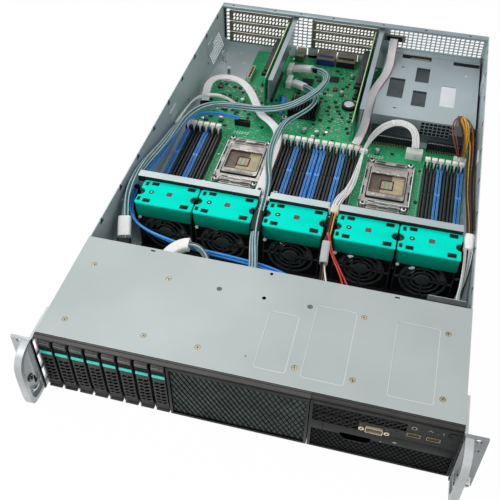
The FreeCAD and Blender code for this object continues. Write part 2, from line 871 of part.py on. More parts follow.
def make_io_panel():
    plate = span("io_plate", ("io_left", "bezel_face", "bezel_foot"),
                 ("half", "bezel_back", "lip_low - clearance"))
    tools = diamonds("io_low", 9, 2, "io_left + io_mesh_inset", "bezel_foot + mesh_rise")
    tools += diamonds("io_high", 5, 2, "io_left + io_high_inset", "optical_top + mesh_rise")
    tools.append(span("optical_slot",
                      ("optical_left - clearance", "bezel_face - overcut", "optical_low - clearance"),
                      ("optical_right + clearance", "bezel_back + overcut", "optical_top + clearance")))
    sockets = [("video", "video_x", "video_z", "video_width", "video_height"),
               ("usb_first", "usb_first_x", "usb_z", "usb_width", "usb_height"),
               ("usb_second", "usb_second_x", "usb_z", "usb_width", "usb_height")]
    shells = []
    for name, x, z, wide, tall in sockets:
        low = (f"{x} - {wide} / 2", "bezel_face + socket_inset", f"{z} - {tall} / 2")
        high = (f"{x} + {wide} / 2", "bezel_face + socket_depth", f"{z} + {tall} / 2")
        tools.append(span(f"{name}_opening", (low[0], "bezel_face - overcut", low[2]),
                          (high[0], "bezel_back + overcut", high[2])))
        can = span(f"{name}_can", low, high)
        hollow = span(f"{name}_hollow",
                      (f"{low[0]} + socket_shell", "bezel_face", f"{low[2]} + socket_shell"),
                      (f"{high[0]} - socket_shell", f"{high[1]} - socket_back",
                       f"{high[2]} - socket_shell"))
        shells.append(cut(f"{name}_socket", can, [hollow]))
    tools.append(rod("power_opening", ("power_x", "bezel_face - overcut", "power_z"),
                     "power_radius + clearance", "bezel_thick + 2 * overcut", "y"))
    face = cut("io_face", plate, tools)
    shelf = span("optical_shelf_sheet",
                 ("io_left + optical_shelf_inset", "bezel_back", "optical_low - clearance - optical_shelf"),
                 ("inside - clearance", "front + optical_depth", "optical_low - clearance"))
    node(group("io", [fuse("io_body", [face, shelf])] + shells), "io_panel")
    node(rod("power", ("power_x", "bezel_face - power_proud", "power_z"), "power_radius",
             "bezel_thick - power_proud", "y"), "power_button")


def make_optical_drive():
    case = span("optical_case", ("optical_left", "optical_face", "optical_low"),
                ("optical_right", "optical_face + optical_depth", "optical_top"))
    inside = span("optical_inside", ("optical_left + optical_shell", "front", "optical_low + optical_shell"),
                  ("optical_right - optical_shell", "front + optical_depth", "optical_top - optical_shell"))
    node(cut("optical_sleeve", case, [inside]), "optical_drive")
    strip = span("tray_strip", ("optical_left", "bezel_face - tray_proud", "optical_low"),
                 ("optical_right", "optical_face - clearance", "optical_top"))
    plate_low = "optical_low + optical_shell + clearance"
    inset = "optical_shell + clearance"
    plate = span("tray_slab", (f"optical_left + {inset}", "optical_face - clearance", plate_low),
                 (f"optical_right - ({inset})", "front + optical_depth - tray_tail",
                  f"{plate_low} + tray_plate"))
    blank = fuse("tray_blank", [strip, plate])
    scoop = block("tray_scoop",
                  ("optical_left + scoop_from_left", "bezel_face - overcut", "optical_low - overcut"),
                  ("scoop_width", "scoop_depth + overcut", "scoop_height + overcut"))
    disc = rod("tray_disc", ("(optical_left + optical_right) / 2", "front + optical_depth / 2",
                             f"{plate_low} + tray_plate - disc_recess"), "disc_radius", "disc_recess + overcut")
    node(cut("tray_solid", blank, [scoop, disc]), "optical_tray")


# Drive bay


def make_carriers():
    body = outline("carrier_body", "yz", "carrier_left", "carrier_width", [
        ("carrier_face", "carrier_head"), ("carrier_face", "carrier_head + strip_height"),
        ("carrier_face + head_groove", "carrier_head + strip_height + carrier_bevel"),
        ("carrier_face + head_groove", "carrier_head + strip_height + head_groove"),
        ("carrier_face", "carrier_head + strip_height + head_groove + carrier_bevel"),
        ("carrier_face", "carrier_top - carrier_bevel"), ("carrier_face + carrier_bevel", "carrier_top"),
        ("front + carrier_back", "carrier_top"), ("front + carrier_back", "carrier_foot"),
        ("lever_back + lever_gap", "carrier_foot"), ("lever_back + lever_gap", "carrier_head")])
    window = span("carrier_window",
                  ("carrier_left + carrier_window_inset", "carrier_face",
                   "lever_pivot_z + carrier_window_rise"),
                  ("carrier_left + carrier_width - carrier_window_inset", "front + carrier_back + overcut",
                   "carrier_head - carrier_window_drop"))
    face = cut("carrier_front", body, [window])
    parts = [face]
    for i, x in enumerate(("carrier_left", "carrier_left + carrier_width - carrier_rail")):
        parts.append(span(f"carrier_side_{i}", (x, "front + carrier_back", "carrier_rail_low"),
                          (f"{x} + carrier_rail", "front + carrier_length", "carrier_rail_high")))
    parts.append(span("carrier_tail",
                      ("carrier_left", "front + carrier_length - carrier_tail", "carrier_rail_low"),
                      ("carrier_left + carrier_width", "front + carrier_length",
                       "carrier_rail_low + carrier_tail_tall")))
    for i, x in enumerate(("carrier_left", "carrier_left + carrier_width - lever_cheek")):
        parts.append(span(f"carrier_cheek_{i}", (x, "lever_pivot_y - lever_barrel", "carrier_foot"),
                          (f"{x} + lever_cheek", "lever_back + lever_gap", "lever_pivot_z + lever_barrel")))
    parts.append(rod("carrier_pin", ("carrier_left", "lever_pivot_y", "lever_pivot_z"), "lever_pin",
                     "carrier_width", "x"))
    first = fuse("carrier_first", parts)

    left = "carrier_left + lever_side"
    width = "carrier_width - 2 * lever_side"
    face_plate = span("lever_face", (left, "carrier_face", "lever_pivot_z"),
                      (f"{left} + {width}", "lever_back", "carrier_head - clearance * 2"))
    barrel = rod("lever_barrel_rod", (left, "lever_pivot_y", "lever_pivot_z"), "lever_barrel", width, "x")
    blank = fuse("lever_blank", [face_plate, barrel])
    tools = [rod("lever_bore", (f"{left} - overcut", "lever_pivot_y", "lever_pivot_z"),
                 "lever_pin + hinge_play", f"{width} + 2 * overcut", "x")]
    for i in range(2):
        for k in range(5):
            slot = doc.addObject("Part::Box", f"lever_slot_{i}_{k}")
            bind(slot, "Length", "lever_slot_wide")
            bind(slot, "Width", "lever_thick + 2 * overcut")
            bind(slot, "Height", "lever_slot_tall")
            slot.Placement = Placement(Vector(), Rotation(Vector(0, 1, 0), -number("lever_slot_lean")))
            x = f"{left} + ({width}) / 2 + ({i} - 1) * (lever_slot_wide + lever_slot_gap) + lever_slot_shift"
            z = f"lever_pivot_z + lever_slot_rise + {k} * lever_slot_pitch"
            place(slot, (x, "carrier_face - overcut", z))
            tools.append(slot)
    lever = cut("lever_first", blank, tools)
    for i in range(8):
        at = (f"{i} * carrier_pitch", "0", "0")
        node(shifted(f"carrier_{i + 1}", first, at), f"drive_carrier_{i + 1}")
        node(shifted(f"lever_{i + 1}", lever, at), f"carrier_lever_{i + 1}")


def make_drive_cage():
    walls = []
    for i in range(9):
        x = f"bay_left + {i} * carrier_pitch"
        walls.append(span(f"cage_wall_{i}", (f"{x} - cage_sheet / 2", "front + cage_front", "sheet"),
                          (f"{x} + cage_sheet / 2", "cage_rear", "cage_top")))
    walls.append(span("cage_roof", ("bay_left - cage_sheet / 2", "front + cage_front", "cage_top"),
                      ("bay_right + cage_sheet / 2", "cage_rear", "cage_top + cage_sheet")))
    node(fuse("cage", walls), "drive_cage")
    board = span("backplane_board", ("bay_left", "cage_rear", "sheet"),
                 ("io_left", "cage_rear + backplane_thick", "cage_top"))
    plugs = []
    for i in range(8):
        x = f"carrier_left + {i} * carrier_pitch + (carrier_width - backplane_plug_width) / 2"
        plugs.append(block(f"backplane_plug_{i}",
                           (x, "cage_rear - backplane_plug_depth", "backplane_plug_low"),
                           ("backplane_plug_width", "backplane_plug_depth", "backplane_plug_height")))
    node(fuse("backplane", [board] + plugs), "drive_backplane")


# Cooling


def make_fan_rail():
    start = "front + rail_start"
    bar = span("rail_cap", ("-rail_half", start, "rail_top - rail_bar"),
               ("rail_half", f"{start} + rail_width", "rail_top"))
    wall = span("rail_back", ("-rail_half", f"{start} + rail_wall_inset", "sheet"),
                ("rail_half", f"{start} + rail_wall_inset + rail_wall", "rail_top - rail_bar"))
    tools = []
    for i, shift in enumerate(("-fan_far", "-fan_near", "0", "fan_near", "fan_far")):
        x = f"fan_center + {shift}"
        tools.append(span(f"rail_window_{i}", (f"{x} - fan_bore", start, "fan_axis_height - fan_bore"),
                          (f"{x} + fan_bore", f"{start} + rail_width", "fan_axis_height + fan_bore")))
    for side in ("left", "right"):
        tools.append(span(f"rail_notch_{side}",
                          (f"notch_{side} - rail_notch / 2", f"{start} - overcut", "rail_notch_low"),
                          (f"notch_{side} + rail_notch / 2", f"{start} + rail_width + overcut",
                           "rail_top + overcut")))
    node(cut("rail", fuse("rail_blank", [bar, wall]), tools), "fan_rail")


def make_fans():
    box = span("fan_box", ("fan_center - fan_half", "fan_start", "fan_foot"),
               ("fan_center + fan_half", "fan_end", "fan_high - clearance"))
    bore = rod("fan_bore_cut", ("fan_center", "fan_start + fan_guard", "fan_axis_height"), "fan_bore",
               "fan_depth", "y")
    eye = prism("fan_eye", ("fan_center", "fan_start - overcut", "fan_axis_height"), 16, "fan_eye",
                "fan_guard + 2 * overcut")
    shell = cut("fan_shell", box, [bore, eye])
    guard = []
    reach = "2 * (fan_bore + overcut)"
    for name, length, tall in (("across", reach, "fan_guard_bar"), ("up", "fan_guard_bar", reach)):
        at = (f"fan_center - ({length}) / 2", "fan_start", f"fan_axis_height - ({tall}) / 2")
        guard.append(block(f"fan_guard_{name}", at, (length, "fan_guard", tall)))
    ring = prism("fan_ring_out", ("fan_center", "fan_start", "fan_axis_height"), 16,
                 "fan_guard_ring", "fan_guard")
    hole = prism("fan_ring_in", ("fan_center", "fan_start - overcut", "fan_axis_height"), 16,
                 "fan_guard_ring - fan_guard_bar", "fan_guard + 2 * overcut")
    guard.append(cut("fan_ring", ring, [hole]))
    guard.append(prism("fan_boss", ("fan_center", "fan_start", "fan_axis_height"), 16,
                       "fan_boss", "fan_guard"))
    strut_y = "fan_end - fan_strut"
    guard.append(prism("fan_motor", ("fan_center", strut_y, "fan_axis_height"), 16, "fan_hub", "fan_strut"))
    guard.append(block("fan_strut_across",
                       ("fan_center - fan_bore - overcut", strut_y, "fan_axis_height - fan_strut / 2"),
                       (reach, "fan_strut", "fan_strut")))
    guard.append(rod("fan_axle", ("fan_center", "rotor_front + fan_axle_inset", "fan_axis_height"), "fan_shaft",
                     "fan_end - rotor_front - fan_axle_inset", "y"))
    housing = fuse("fan_housing", [shell] + guard)
    near = "front + grip_front"
    cap = span("grip_cap", ("fan_center - grip_half", near, "grip_low"),
               ("fan_center + grip_half", f"{near} + grip_depth", "grip_top"))
    cap_inside = span("grip_inside",
                      ("fan_center - grip_half + grip_wall", f"{near} + grip_wall", "grip_low - overcut"),
                      ("fan_center + grip_half - grip_wall", f"{near} + grip_depth - grip_wall", "fan_high"))
    notches = []
    for i, sign in enumerate((-1, 1)):
        at = (f"fan_center + {sign} * grip_half", f"{near} + grip_depth / 2", "fan_high - overcut")
        notches.append(rod(f"grip_notch_{i}", at, "grip_notch", "grip_wall + 2 * overcut"))
    grip = cut("grip", cap, [cap_inside] + notches)
    module = group("fan_module", [housing, grip])

    hub = rod("rotor_hub", ("fan_center", "rotor_front", "fan_axis_height"), "fan_hub", "rotor_length", "y")
    blades = []
    for i in range(7):
        blade = doc.addObject("Part::Box", f"blade_{i}")
        bind(blade, "Length", "blade_chord")
        bind(blade, "Width", "blade_thick")
        bind(blade, "Height", "blade_reach")
        lean = Rotation(Vector(0, 0, 1), number("blade_lean"))
        turn = Rotation(Vector(0, 1, 0), i * 360 / 7)
        half_chord = number("blade_chord") / 2
        foot = Vector(-half_chord, -number("blade_thick") / 2, 0)
        blade.Placement = Placement(Vector(), turn.multiply(lean))
        shift = turn.multiply(lean).multVec(foot)
        place(blade, (f"fan_center + ({shift.x:.4f})", f"rotor_front + rotor_length / 2 + ({shift.y:.4f})",
                      f"fan_axis_height + ({shift.z:.4f})"))
        blades.append(blade)
    spinner = fuse("rotor_blank", [hub] + blades)
    bore = rod("rotor_bore", ("fan_center", "rotor_front + rotor_cap", "fan_axis_height"),
               "fan_shaft + hinge_play", "rotor_length + overcut", "y")
    rotor = cut("rotor", spinner, [bore])
    for i, shift in enumerate(("-fan_far", "-fan_near", "0", "fan_near", "fan_far"), start=1):
        node(shifted(f"fan_{i}", module, (shift, "0", "0")), f"fan_module_{i}")
        node(shifted(f"rotor_{i}", rotor, (shift, "0", "0")), f"fan_rotor_{i}")


# Main board and what stands on it


def make_board():
    node(outline("board", "xy", "board_low", "board_thick", [
        ("-board_left", "front + board_front"), ("board_right", "front + board_front"),
        ("board_right", "front + board_power_edge"), ("board_power_x", "front + board_power_edge"),
        ("board_power_x", "front + board_rear"), ("-board_rear_left", "front + board_rear"),
        ("-board_rear_left", "front + board_step"), ("-board_left", "front + board_step")]), "motherboard")


def dimm_places():
    for sign in (-1, 1):
        for start in ("dimm_outer", "dimm_inner"):
            for i in range(6):
                yield f"{sign} * ({start} + {i} * dimm_pitch)"


def make_latch(name, end, out):
    # A socket end latch: a shank in the tower and a head that reaches out over the end.
    inner = f"{end} - {out} * (latch_inset + latch_thick)"
    outer = f"{end} - {out} * latch_inset"
    near, far = (inner, outer) if out > 0 else (outer, inner)
    tip = f"{end} + {out} * (latch_reach - latch_inset)"
    head_near, head_far = (inner, tip) if out > 0 else (tip, inner)
    shank = span(f"{name}_shank", ("-latch_width / 2", near, "board_top + latch_foot"),
                 ("latch_width / 2", far, "board_top + latch_neck"))
    head = span(f"{name}_head", ("-latch_head_width / 2", head_near, "board_top + latch_neck"),
                ("latch_head_width / 2", head_far, "board_top + latch_neck + latch_head"))
    return fuse(name, [shank, head])


def make_dimm_sockets():
    body = outline("dimm_body", "yz", "-dimm_width / 2", "dimm_width", [
        ("dimm_start", "board_top"), ("dimm_start", "board_top + dimm_tower"),
        ("dimm_start + dimm_tower_length", "board_top + dimm_tower"),
        ("dimm_start + dimm_tower_length", "board_top + dimm_height"),
        ("dimm_end - dimm_tower_length", "board_top + dimm_height"),
        ("dimm_end - dimm_tower_length", "board_top + dimm_tower"),
        ("dimm_end", "board_top + dimm_tower"), ("dimm_end", "board_top")])
    ridge = "board_top + dimm_height"
    groove = span("dimm_groove_cut",
                  ("-dimm_groove / 2", "dimm_start + dimm_tower_length", f"{ridge} - dimm_groove_depth"),
                  ("dimm_groove / 2", "dimm_end - dimm_tower_length", f"{ridge} + overcut"))
    room = "latch_width / 2 + clearance"
    pockets = []
    for name, a, b in (("front", "dimm_start - overcut", "dimm_start + dimm_tower_length - overcut"),
                       ("rear", "dimm_end - dimm_tower_length + overcut", "dimm_end + overcut")):
        pockets.append(span(f"dimm_pocket_{name}", (f"-({room})", a, "board_top + latch_foot - 4 * clearance"),
                            (room, b, "board_top + dimm_tower + overcut")))
    socket = cut("dimm_socket", body, [groove] + pockets)
    still = make_latch("latch_front", "dimm_start", -1)
    swing = make_latch("latch_rear", "dimm_end", 1)
    sockets = []
    latches = []
    for i, x in enumerate(dimm_places()):
        sockets.append(shifted(f"dimm_{i}", socket, (x, "0", "0")))
        sockets.append(shifted(f"dimm_catch_{i}", still, (x, "0", "0")))
        latches.append(shifted(f"dimm_latch_{i}", swing, (x, "0", "0")))
    node(group("dimms", sockets), "dimm_sockets")
    node(group("dimm_latches", latches), "dimm_latches")


def make_cpu_sockets():
    frame = span("socket_frame", ("-frame_width / 2", "cpu_y - frame_length / 2", "board_top"),
                 ("frame_width / 2", "cpu_y + frame_length / 2", "frame_top"))
    cavity = span("socket_cavity",
                  ("-frame_window_width / 2", "cpu_y - frame_window_length / 2", "board_top + cavity_floor"),
                  ("frame_window_width / 2", "cpu_y + frame_window_length / 2", "frame_top + overcut"))
    posts = []
    for i in (-1, 1):
        for k in (-1, 1):
            at = (f"{i} * post_span_x / 2", f"cpu_y + {k} * post_span_y / 2", "board_top")
            posts.append(rod(f"socket_post_{i + 1}_{k + 1}", at, "post_radius", "post_height"))
    base = fuse("socket_base", [cut("socket_ring", frame, [cavity])] + posts)
    plate = span("load_sheet", ("-plate_width / 2", "cpu_y - plate_ahead", "plate_low"),
                 ("plate_width / 2", "plate_hinge_y", "plate_low + plate_thick"))
    wide = "plate_window_width / 2"
    long = "plate_window_length / 2"
    window = span("load_window", (f"-{wide}", f"cpu_y - {long}", "plate_low - overcut"),
                  (wide, f"cpu_y + {long}", "plate_low + plate_thick + overcut"))
    knuckle = rod("load_knuckle", ("plate_knuckle_inset - plate_width / 2", "plate_hinge_y", "rod_z"),
                  "socket_rod", "plate_width - 2 * plate_knuckle_inset", "x")
    load = fuse("load_plate", [cut("load_frame", plate, [window]), knuckle])
    bend = ("lever_offset", "lever_hinge_y", "rod_z")
    crank = rod("lever_crank", ("lever_offset - socket_crank", "lever_hinge_y", "rod_z"), "socket_rod",
                "socket_crank", "x")
    arm = rod("lever_arm", bend, "socket_rod", "socket_lever_length", "y")
    elbow = doc.addObject("Part::Sphere", "lever_elbow")
    bind(elbow, "Radius", "socket_rod")
    place(elbow, bend)
    lever = fuse("socket_lever", [crank, arm, elbow])
    bases = []
    for side, sign in (("left", -1), ("right", 1)):
        at = (f"{sign} * cpu_offset", "0", "0")
        bases.append(shifted(f"socket_base_{side}", base, at))
        node(shifted(f"load_plate_{side}_copy", load, at), f"load_plate_{side}")
        node(shifted(f"socket_lever_{side}_copy", lever, at), f"socket_lever_{side}")
    node(group("sockets", bases), "cpu_sockets")


def make_board_parts():
    sink_y = "front + sink_y"
    fins = [block("sink_base", ("sink_x", sink_y, "board_top"), ("sink_side", "sink_side", "sink_foot"))]
    for i in range(9):
        fins.append(block(f"sink_fin_{i}", (f"sink_x + {i} * sink_fin_pitch", sink_y, "board_top"),
                          ("sink_fin", "sink_side", "sink_height")))
    parts = [fuse("chipset_sink", fins)]
    for name in board_pieces:
        parts.append(block(name, (f"{name}_x", f"front + {name}_y", "board_top"),
                           (f"{name}_width", f"{name}_depth", f"{name}_height")))
    parts.append(rod("coin_cell", ("coin_x", "front + coin_y", "board_top"), "coin_radius", "coin_height"))
    for name in port_cans:
        low = "board_top + port_lift"
        top = f"{low} + {name}_height"
        can = span(name + "_can", (f"{name}_x", "front + board_rear - port_inset", low),
                   (f"{name}_x + {name}_width", "rear", top))
        mouth = span(name + "_mouth",
                     (f"{name}_x + port_wall", "rear - port_mouth_depth", f"{low} + port_wall"),
                     (f"{name}_x + {name}_width - port_wall", "rear + overcut", f"{top} - port_wall"))
        parts.append(cut(name, can, [mouth]))
    node(group("parts_on_board", parts), "board_parts")


def make_risers():
    cards = []
    for side, x, start, length, nose in (
            ("left", "-riser_left_x", "riser_left_start", "riser_left_length", "riser_left_nose"),
            ("right", "riser_right_x", "riser_right_start", "riser_right_length", "riser_right_nose")):
        first = f"front + {start}"
        last = f"{first} + {length}"
        cards.append(outline(f"riser_sheet_{side}", "yz", x, "riser_thick", [
            (first, "riser_low"), (last, "riser_low"), (last, "riser_top"), (f"{first} - {nose}", "riser_top"),
            (f"{first} - {nose}", "riser_nose_low"), (first, "riser_nose_low")]))
        near = "front + riser_slot_start"
        far = f"{near} + riser_slot_length"
        for i in range(2):
            z = f"riser_slot_low + {i} * riser_slot_rise"
            middle = f"{z} + riser_slot_height / 2"
            can = span(f"riser_can_{side}_{i}", (f"{x} - riser_slot_width", near, z),
                       (x, far, f"{z} + riser_slot_height"))
            mouth = span(f"riser_mouth_{side}_{i}",
                         (f"{x} - riser_slot_width - overcut", f"{near} + riser_mouth_inset",
                          f"{middle} - riser_mouth_height / 2"),
                         (f"{x} - riser_slot_floor", f"{far} - riser_mouth_inset",
                          f"{middle} + riser_mouth_height / 2"))
            cards.append(cut(f"riser_slot_{side}_{i}", can, [mouth]))
        cards.append(span(f"riser_edge_{side}", (f"{x} - riser_edge_side", near, "board_top"),
                          (f"{x} + riser_thick + riser_edge_side", far, "riser_low")))
    node(group("riser_boards", cards), "riser_cards")
    brackets = []
    for side, x, start in (("left", "-(bracket_left_x)", "riser_left_start"),
                           ("right", "bracket_right_x", "riser_right_start - riser_bracket_lead")):
        fold = "riser_top + riser_bracket_rise"
        tip = f"{x} + riser_bracket_flange"
        brackets.append(outline(
            f"riser_bracket_{side}", "xz", f"front + {start}", f"panel_in - front - ({start})", [
                (x, "riser_slot_low"), (f"{x} + sheet", "riser_slot_low"), (f"{x} + sheet", fold), (tip, fold),
                (tip, f"{fold} + sheet"), (x, f"{fold} + sheet")]))
    node(group("riser_frames", brackets), "riser_brackets")


# Power supplies


def make_power():
    start = "front + psu_cage_start"
    right = "psu_cage_x + psu_cage_width"
    hood = outline("psu_hood", "xz", start, f"panel_in - ({start})", [
        ("psu_cage_x", "sheet"), ("psu_cage_x + psu_cage_sheet", "sheet"),
        ("psu_cage_x + psu_cage_sheet", "psu_cage_top - psu_cage_sheet"),
        (f"{right} - psu_cage_sheet", "psu_cage_top - psu_cage_sheet"),
        (f"{right} - psu_cage_sheet", "sheet"),
        (right, "sheet"), (right, "psu_cage_top"), ("psu_cage_x", "psu_cage_top")])
    skirt = span("psu_skirt", ("psu_cage_x", f"{start} - psu_cage_sheet", "psu_cage_top - psu_cage_skirt"),
                 (right, start, "psu_cage_top"))
    tools = []
    through = "psu_cage_sheet + 2 * overcut"
    for name in cage_openings:
        at = (f"psu_cage_x + {name}_x", f"{start} + {name}_y", "psu_cage_top - psu_cage_sheet - overcut")
        tools.append(block(name, at, (f"{name}_width", f"{name}_depth", through)))
    for i in range(4):
        for k in range(2):
            at = (f"psu_cage_x + psu_vent_start + {i} * psu_vent_pitch", f"{start} - psu_cage_sheet - overcut",
                  f"psu_cage_top - psu_vent_drop - {k} * psu_vent_row")
            tools.append(block(f"psu_vent_{i}_{k}", at, ("psu_vent_wide", through, "psu_vent_tall")))
    node(cut("psu_cage_solid", fuse("psu_blank", [hood, skirt]), tools), "psu_cage")

    body = span("psu_body", ("psu_left_x", "front + psu_start", "psu_foot"),
                ("psu_left_x + psu_width", "psu_end", "psu_top"))
    grips = []
    handle_low = "psu_foot + psu_handle_low"
    for i, shift in enumerate(("0", "psu_handle_width - psu_handle_bar")):
        x = f"psu_left_x + psu_handle_inset + {shift}"
        grips.append(span(f"psu_post_{i}", (x, "psu_end", handle_low),
                          (f"{x} + psu_handle_bar", "rear", f"{handle_low} + psu_handle_bar")))
    grips.append(span("psu_bar", ("psu_left_x + psu_handle_inset", "rear - psu_handle_bar", handle_low),
                      ("psu_left_x + psu_handle_inset + psu_handle_width", "rear",
                       f"{handle_low} + psu_handle_bar")))
    fan_at = ("psu_left_x + psu_width - psu_fan_radius - psu_fan_inset", "psu_end - psu_recess",
              "psu_foot + psu_height / 2")
    inlet_x = "psu_left_x + psu_inlet_inset"
    inlet_top = "psu_top - psu_inlet_drop"
    tools = [rod("psu_fan_recess", fan_at, "psu_fan_radius", "psu_recess + overcut", "y"),
             span("psu_inlet", (inlet_x, "psu_end - psu_inlet_depth", f"{inlet_top} - psu_inlet_height"),
                  (f"{inlet_x} + psu_inlet_width", "psu_end + overcut", inlet_top))]
    module = cut("psu_module", fuse("psu_solid", [body] + grips), tools)
    node(shifted("psu_first", module, ("0", "0", "0")), "power_supply_1")
    node(shifted("psu_second", module, ("psu_width + psu_gap", "0", "0")), "power_supply_2")


# Cables: straight runs joined by tangent arcs, each arc taking this share of its shorter run
arc_share = 0.45


def route(points):
    front_y = number("front")
    corners = [Vector(x, y + front_y, z) for x, y, z in points]
    edges = []
    radii = []
    last = corners[0]
    for before, corner, after in zip(corners, corners[1:], corners[2:]):
        back = (before - corner)
        ahead = (after - corner)
        turn = math.pi - back.getAngle(ahead)
        reach = arc_share * min(back.Length, ahead.Length)
        radius = reach / math.tan(turn / 2)
        back.normalize()
        ahead.normalize()
        begin = corner + back * reach
        end = corner + ahead * reach
        toward = back + ahead
        toward.normalize()
        middle = corner + toward * (radius / math.cos(turn / 2) - radius)
        edges.append(Part.LineSegment(last, begin).toShape())
        edges.append(Part.Arc(begin, middle, end).toShape())
        radii.append(round(radius))
        last = end
    edges.append(Part.LineSegment(last, corners[-1]).toShape())
    return Part.Wire(edges), radii


def cable(name, points, section, upright=None):
    # A closed section carried along the route. A ribbon keeps one direction of its section fixed.
    path, radii = route(points)
    print(name, "length", round(path.Length), "radii", radii)
    start = path.Edges[0]
    heading = start.tangentAt(start.FirstParameter)
    up = upright or Vector(0, 0, 1)
    side = heading.cross(up)
    side.normalize()
    over = side.cross(heading)
    corner = path.Vertexes[0].Point
    ring = [corner + side * a + over * b for a, b in section]
    profile = Part.Wire(Part.makePolygon(ring + ring[:1]).Edges)
    sweep = Part.BRepOffsetAPI.MakePipeShell(path)
    if upright:
        sweep.setBiNormalMode(upright)
    else:
        sweep.setFrenetMode(False)
    sweep.add(profile)
    sweep.build()
    sweep.makeSolid()
    piece = doc.addObject("Part::Feature", name)
    piece.Shape = sweep.shape()
    return piece


def bundle(radius):
    reach = number(radius)
    return [(reach * math.cos(i * math.pi / 3), reach * math.sin(i * math.pi / 3)) for i in range(6)]


def tape(width, thick):
    side = number(width) / 2
    rise = number(thick) / 2
    return [(-side, -rise), (side, -rise), (side, rise), (-side, rise)]


routes = {
    "drive_cable_left": [
        (-186, 131.2, 42), (-187, 148, 45), (-192, 172, 52), (-201, 200, 63), (-210, 232, 73), (-211, 268, 76),
        (-210, 306, 71), (-207, 356, 58), (-205, 404, 50), (-200, 450, 46), (-180, 486, 41), (-143, 499, 37),
        (-104, 501, 35), (-68, 511, 37), (-42, 533, 42), (-22, 564, 45), (-17, 596, 43), (-28, 624, 36),
        (-52, 643, 26), (-81.3, 651, 16.5)],
    "drive_cable_middle": [
        (-24, 130.8, 58), (-25, 146, 60), (-29, 168, 67), (-36, 196, 76), (-38.5, 228, 79.5), (-38.5, 262, 80),
        (-42, 298, 76), (-54, 346, 62), (-62, 396, 49), (-63.5, 446, 39), (-60, 482, 33), (-47, 506, 30),
        (-31, 530, 29.5), (-25, 556, 30), (-37, 580, 27), (-55, 597, 21), (-73.8, 610.5, 16)],
    "drive_cable_loop": [
        (-134, 131.2, 53.7), (-134, 148, 59), (-126.5, 162.5, 66), (-113, 171, 71.5), (-97.5, 171, 73),
        (-84.5, 162.5, 70), (-77.5, 148, 63), (-77, 131.2, 56.7)],
    "blue_pair": [
        (66, 133, 50), (40, 153, 54), (0, 170, 57), (-50, 175, 58), (-100, 178, 57.5), (-146, 186, 58),
        (-178, 198, 57), (-199, 215, 56), (-208, 240, 58), (-211, 270, 58), (-210, 304, 54), (-208, 352, 43),
        (-206, 404, 38), (-203, 446, 37.5), (-184, 475, 34), (-156, 488, 26), (-134, 491.5, 20.4)],
}
ribbons = {
    "ribbon_left": [
        (-198, 525, 18.3), (-200.5, 540, 26), (-200.5, 557, 31), (-193, 573, 31.5), (-178, 583, 29),
        (-160, 583, 26.5), (-144, 573, 25), (-131, 557, 24), (-118, 534, 23), (-104, 506.5, 22.2),
        (-84, 492, 22.5), (-68, 473, 22.5), (-62.5, 444, 22), (-62.5, 404, 22.5), (-63, 364, 21.5),
        (-64.5, 332, 18)],
    "ribbon_right": [
        (72, 709.8, 63), (72, 694, 60), (72.5, 674, 54), (73, 650, 48.5), (70, 624, 46.2), (63, 598, 46.6),
        (56.3, 569, 44.3), (56.3, 536, 36), (55.5, 508, 29), (52, 488, 22.5), (48.5, 475, 18.6)],
}
leads = {
    "center_lead": [
        (134, 478, 26), (133.5, 491, 36), (123, 506, 42), (104, 512, 43), (85, 504, 39), (71, 485, 34),
        (63.5, 454, 32), (61.5, 412, 36), (60.5, 366, 48), (58, 318, 66), (50, 284, 78), (48.5, 254, 79.8),
        (48.5, 224, 76), (49.5, 194, 69), (53, 164, 63), (54, 130.4, 59)],
    "side_lead": [
        (208.5, 521.2, 35), (210, 503, 38), (211.3, 482, 42), (211.3, 456, 44.5), (210.5, 414, 44.5),
        (210.5, 358, 53), (211, 306, 68), (211.5, 266, 77), (211, 238, 76), (209.5, 204, 69), (204, 172, 58),
        (201, 146, 48), (200.5, 129.5, 44)],
    "loom": [
        (191, 541, 47.6), (193, 526, 49), (197, 510, 50), (200, 495, 44), (200.5, 483.5, 34),
        (199.5, 477, 25)],
}


def make_cables():
    sections = {"blue_pair": tape("blue_pair_width", "blue_pair_thick"),
                "drive_cable_loop": bundle("drive_cable_loop_radius")}
    usual = bundle("drive_cable_radius")
    cords = [cable(name, points, sections.get(name, usual)) for name, points in routes.items()]
    node(group("data_cords", cords), "data_cables")
    flat = tape("ribbon_width", "ribbon_thick")
    flats = [cable(name, points, flat, Vector(0, 0, 1)) for name, points in ribbons.items()]
    node(group("ribbon_cords", flats), "ribbon_cables")
    powers = [cable(name, points, bundle(f"{name}_radius")) for name, points in leads.items()]
    node(group("power_cords", powers), "power_cables")


make_tray()
make_rear_panel()
make_slot_covers()
make_front_cover()
for ear_side, ear_sign in (("left", -1), ("right", 1)):
    make_ear(ear_side, ear_sign)
    make_thumbscrew(ear_side, ear_sign)
make_bezel()
make_io_panel()
make_optical_drive()
make_carriers()
make_drive_cage()
make_fan_rail()
make_fans()
make_board()
make_dimm_sockets()
make_cpu_sockets()
make_board_parts()
make_risers()
make_power()
make_cables()
doc.recompute()

for piece in doc.Objects:
    if "Invalid" in piece.State or "Error" in piece.State:
        raise RuntimeError(f"{piece.Name} failed: {piece.State}")
for piece in nodes:
    if piece.Shape.isNull() or not piece.Shape.isValid():
        raise RuntimeError(f"{piece.Label} has no valid shape")

os.makedirs("parts", exist_ok=True)
for piece in nodes:
    piece.Shape.exportStep(f"parts/{piece.Label}.step")
print(len(nodes), "nodes written")
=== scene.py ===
import math
import random

import bmesh
import bpy
from mathutils import Matrix, Vector


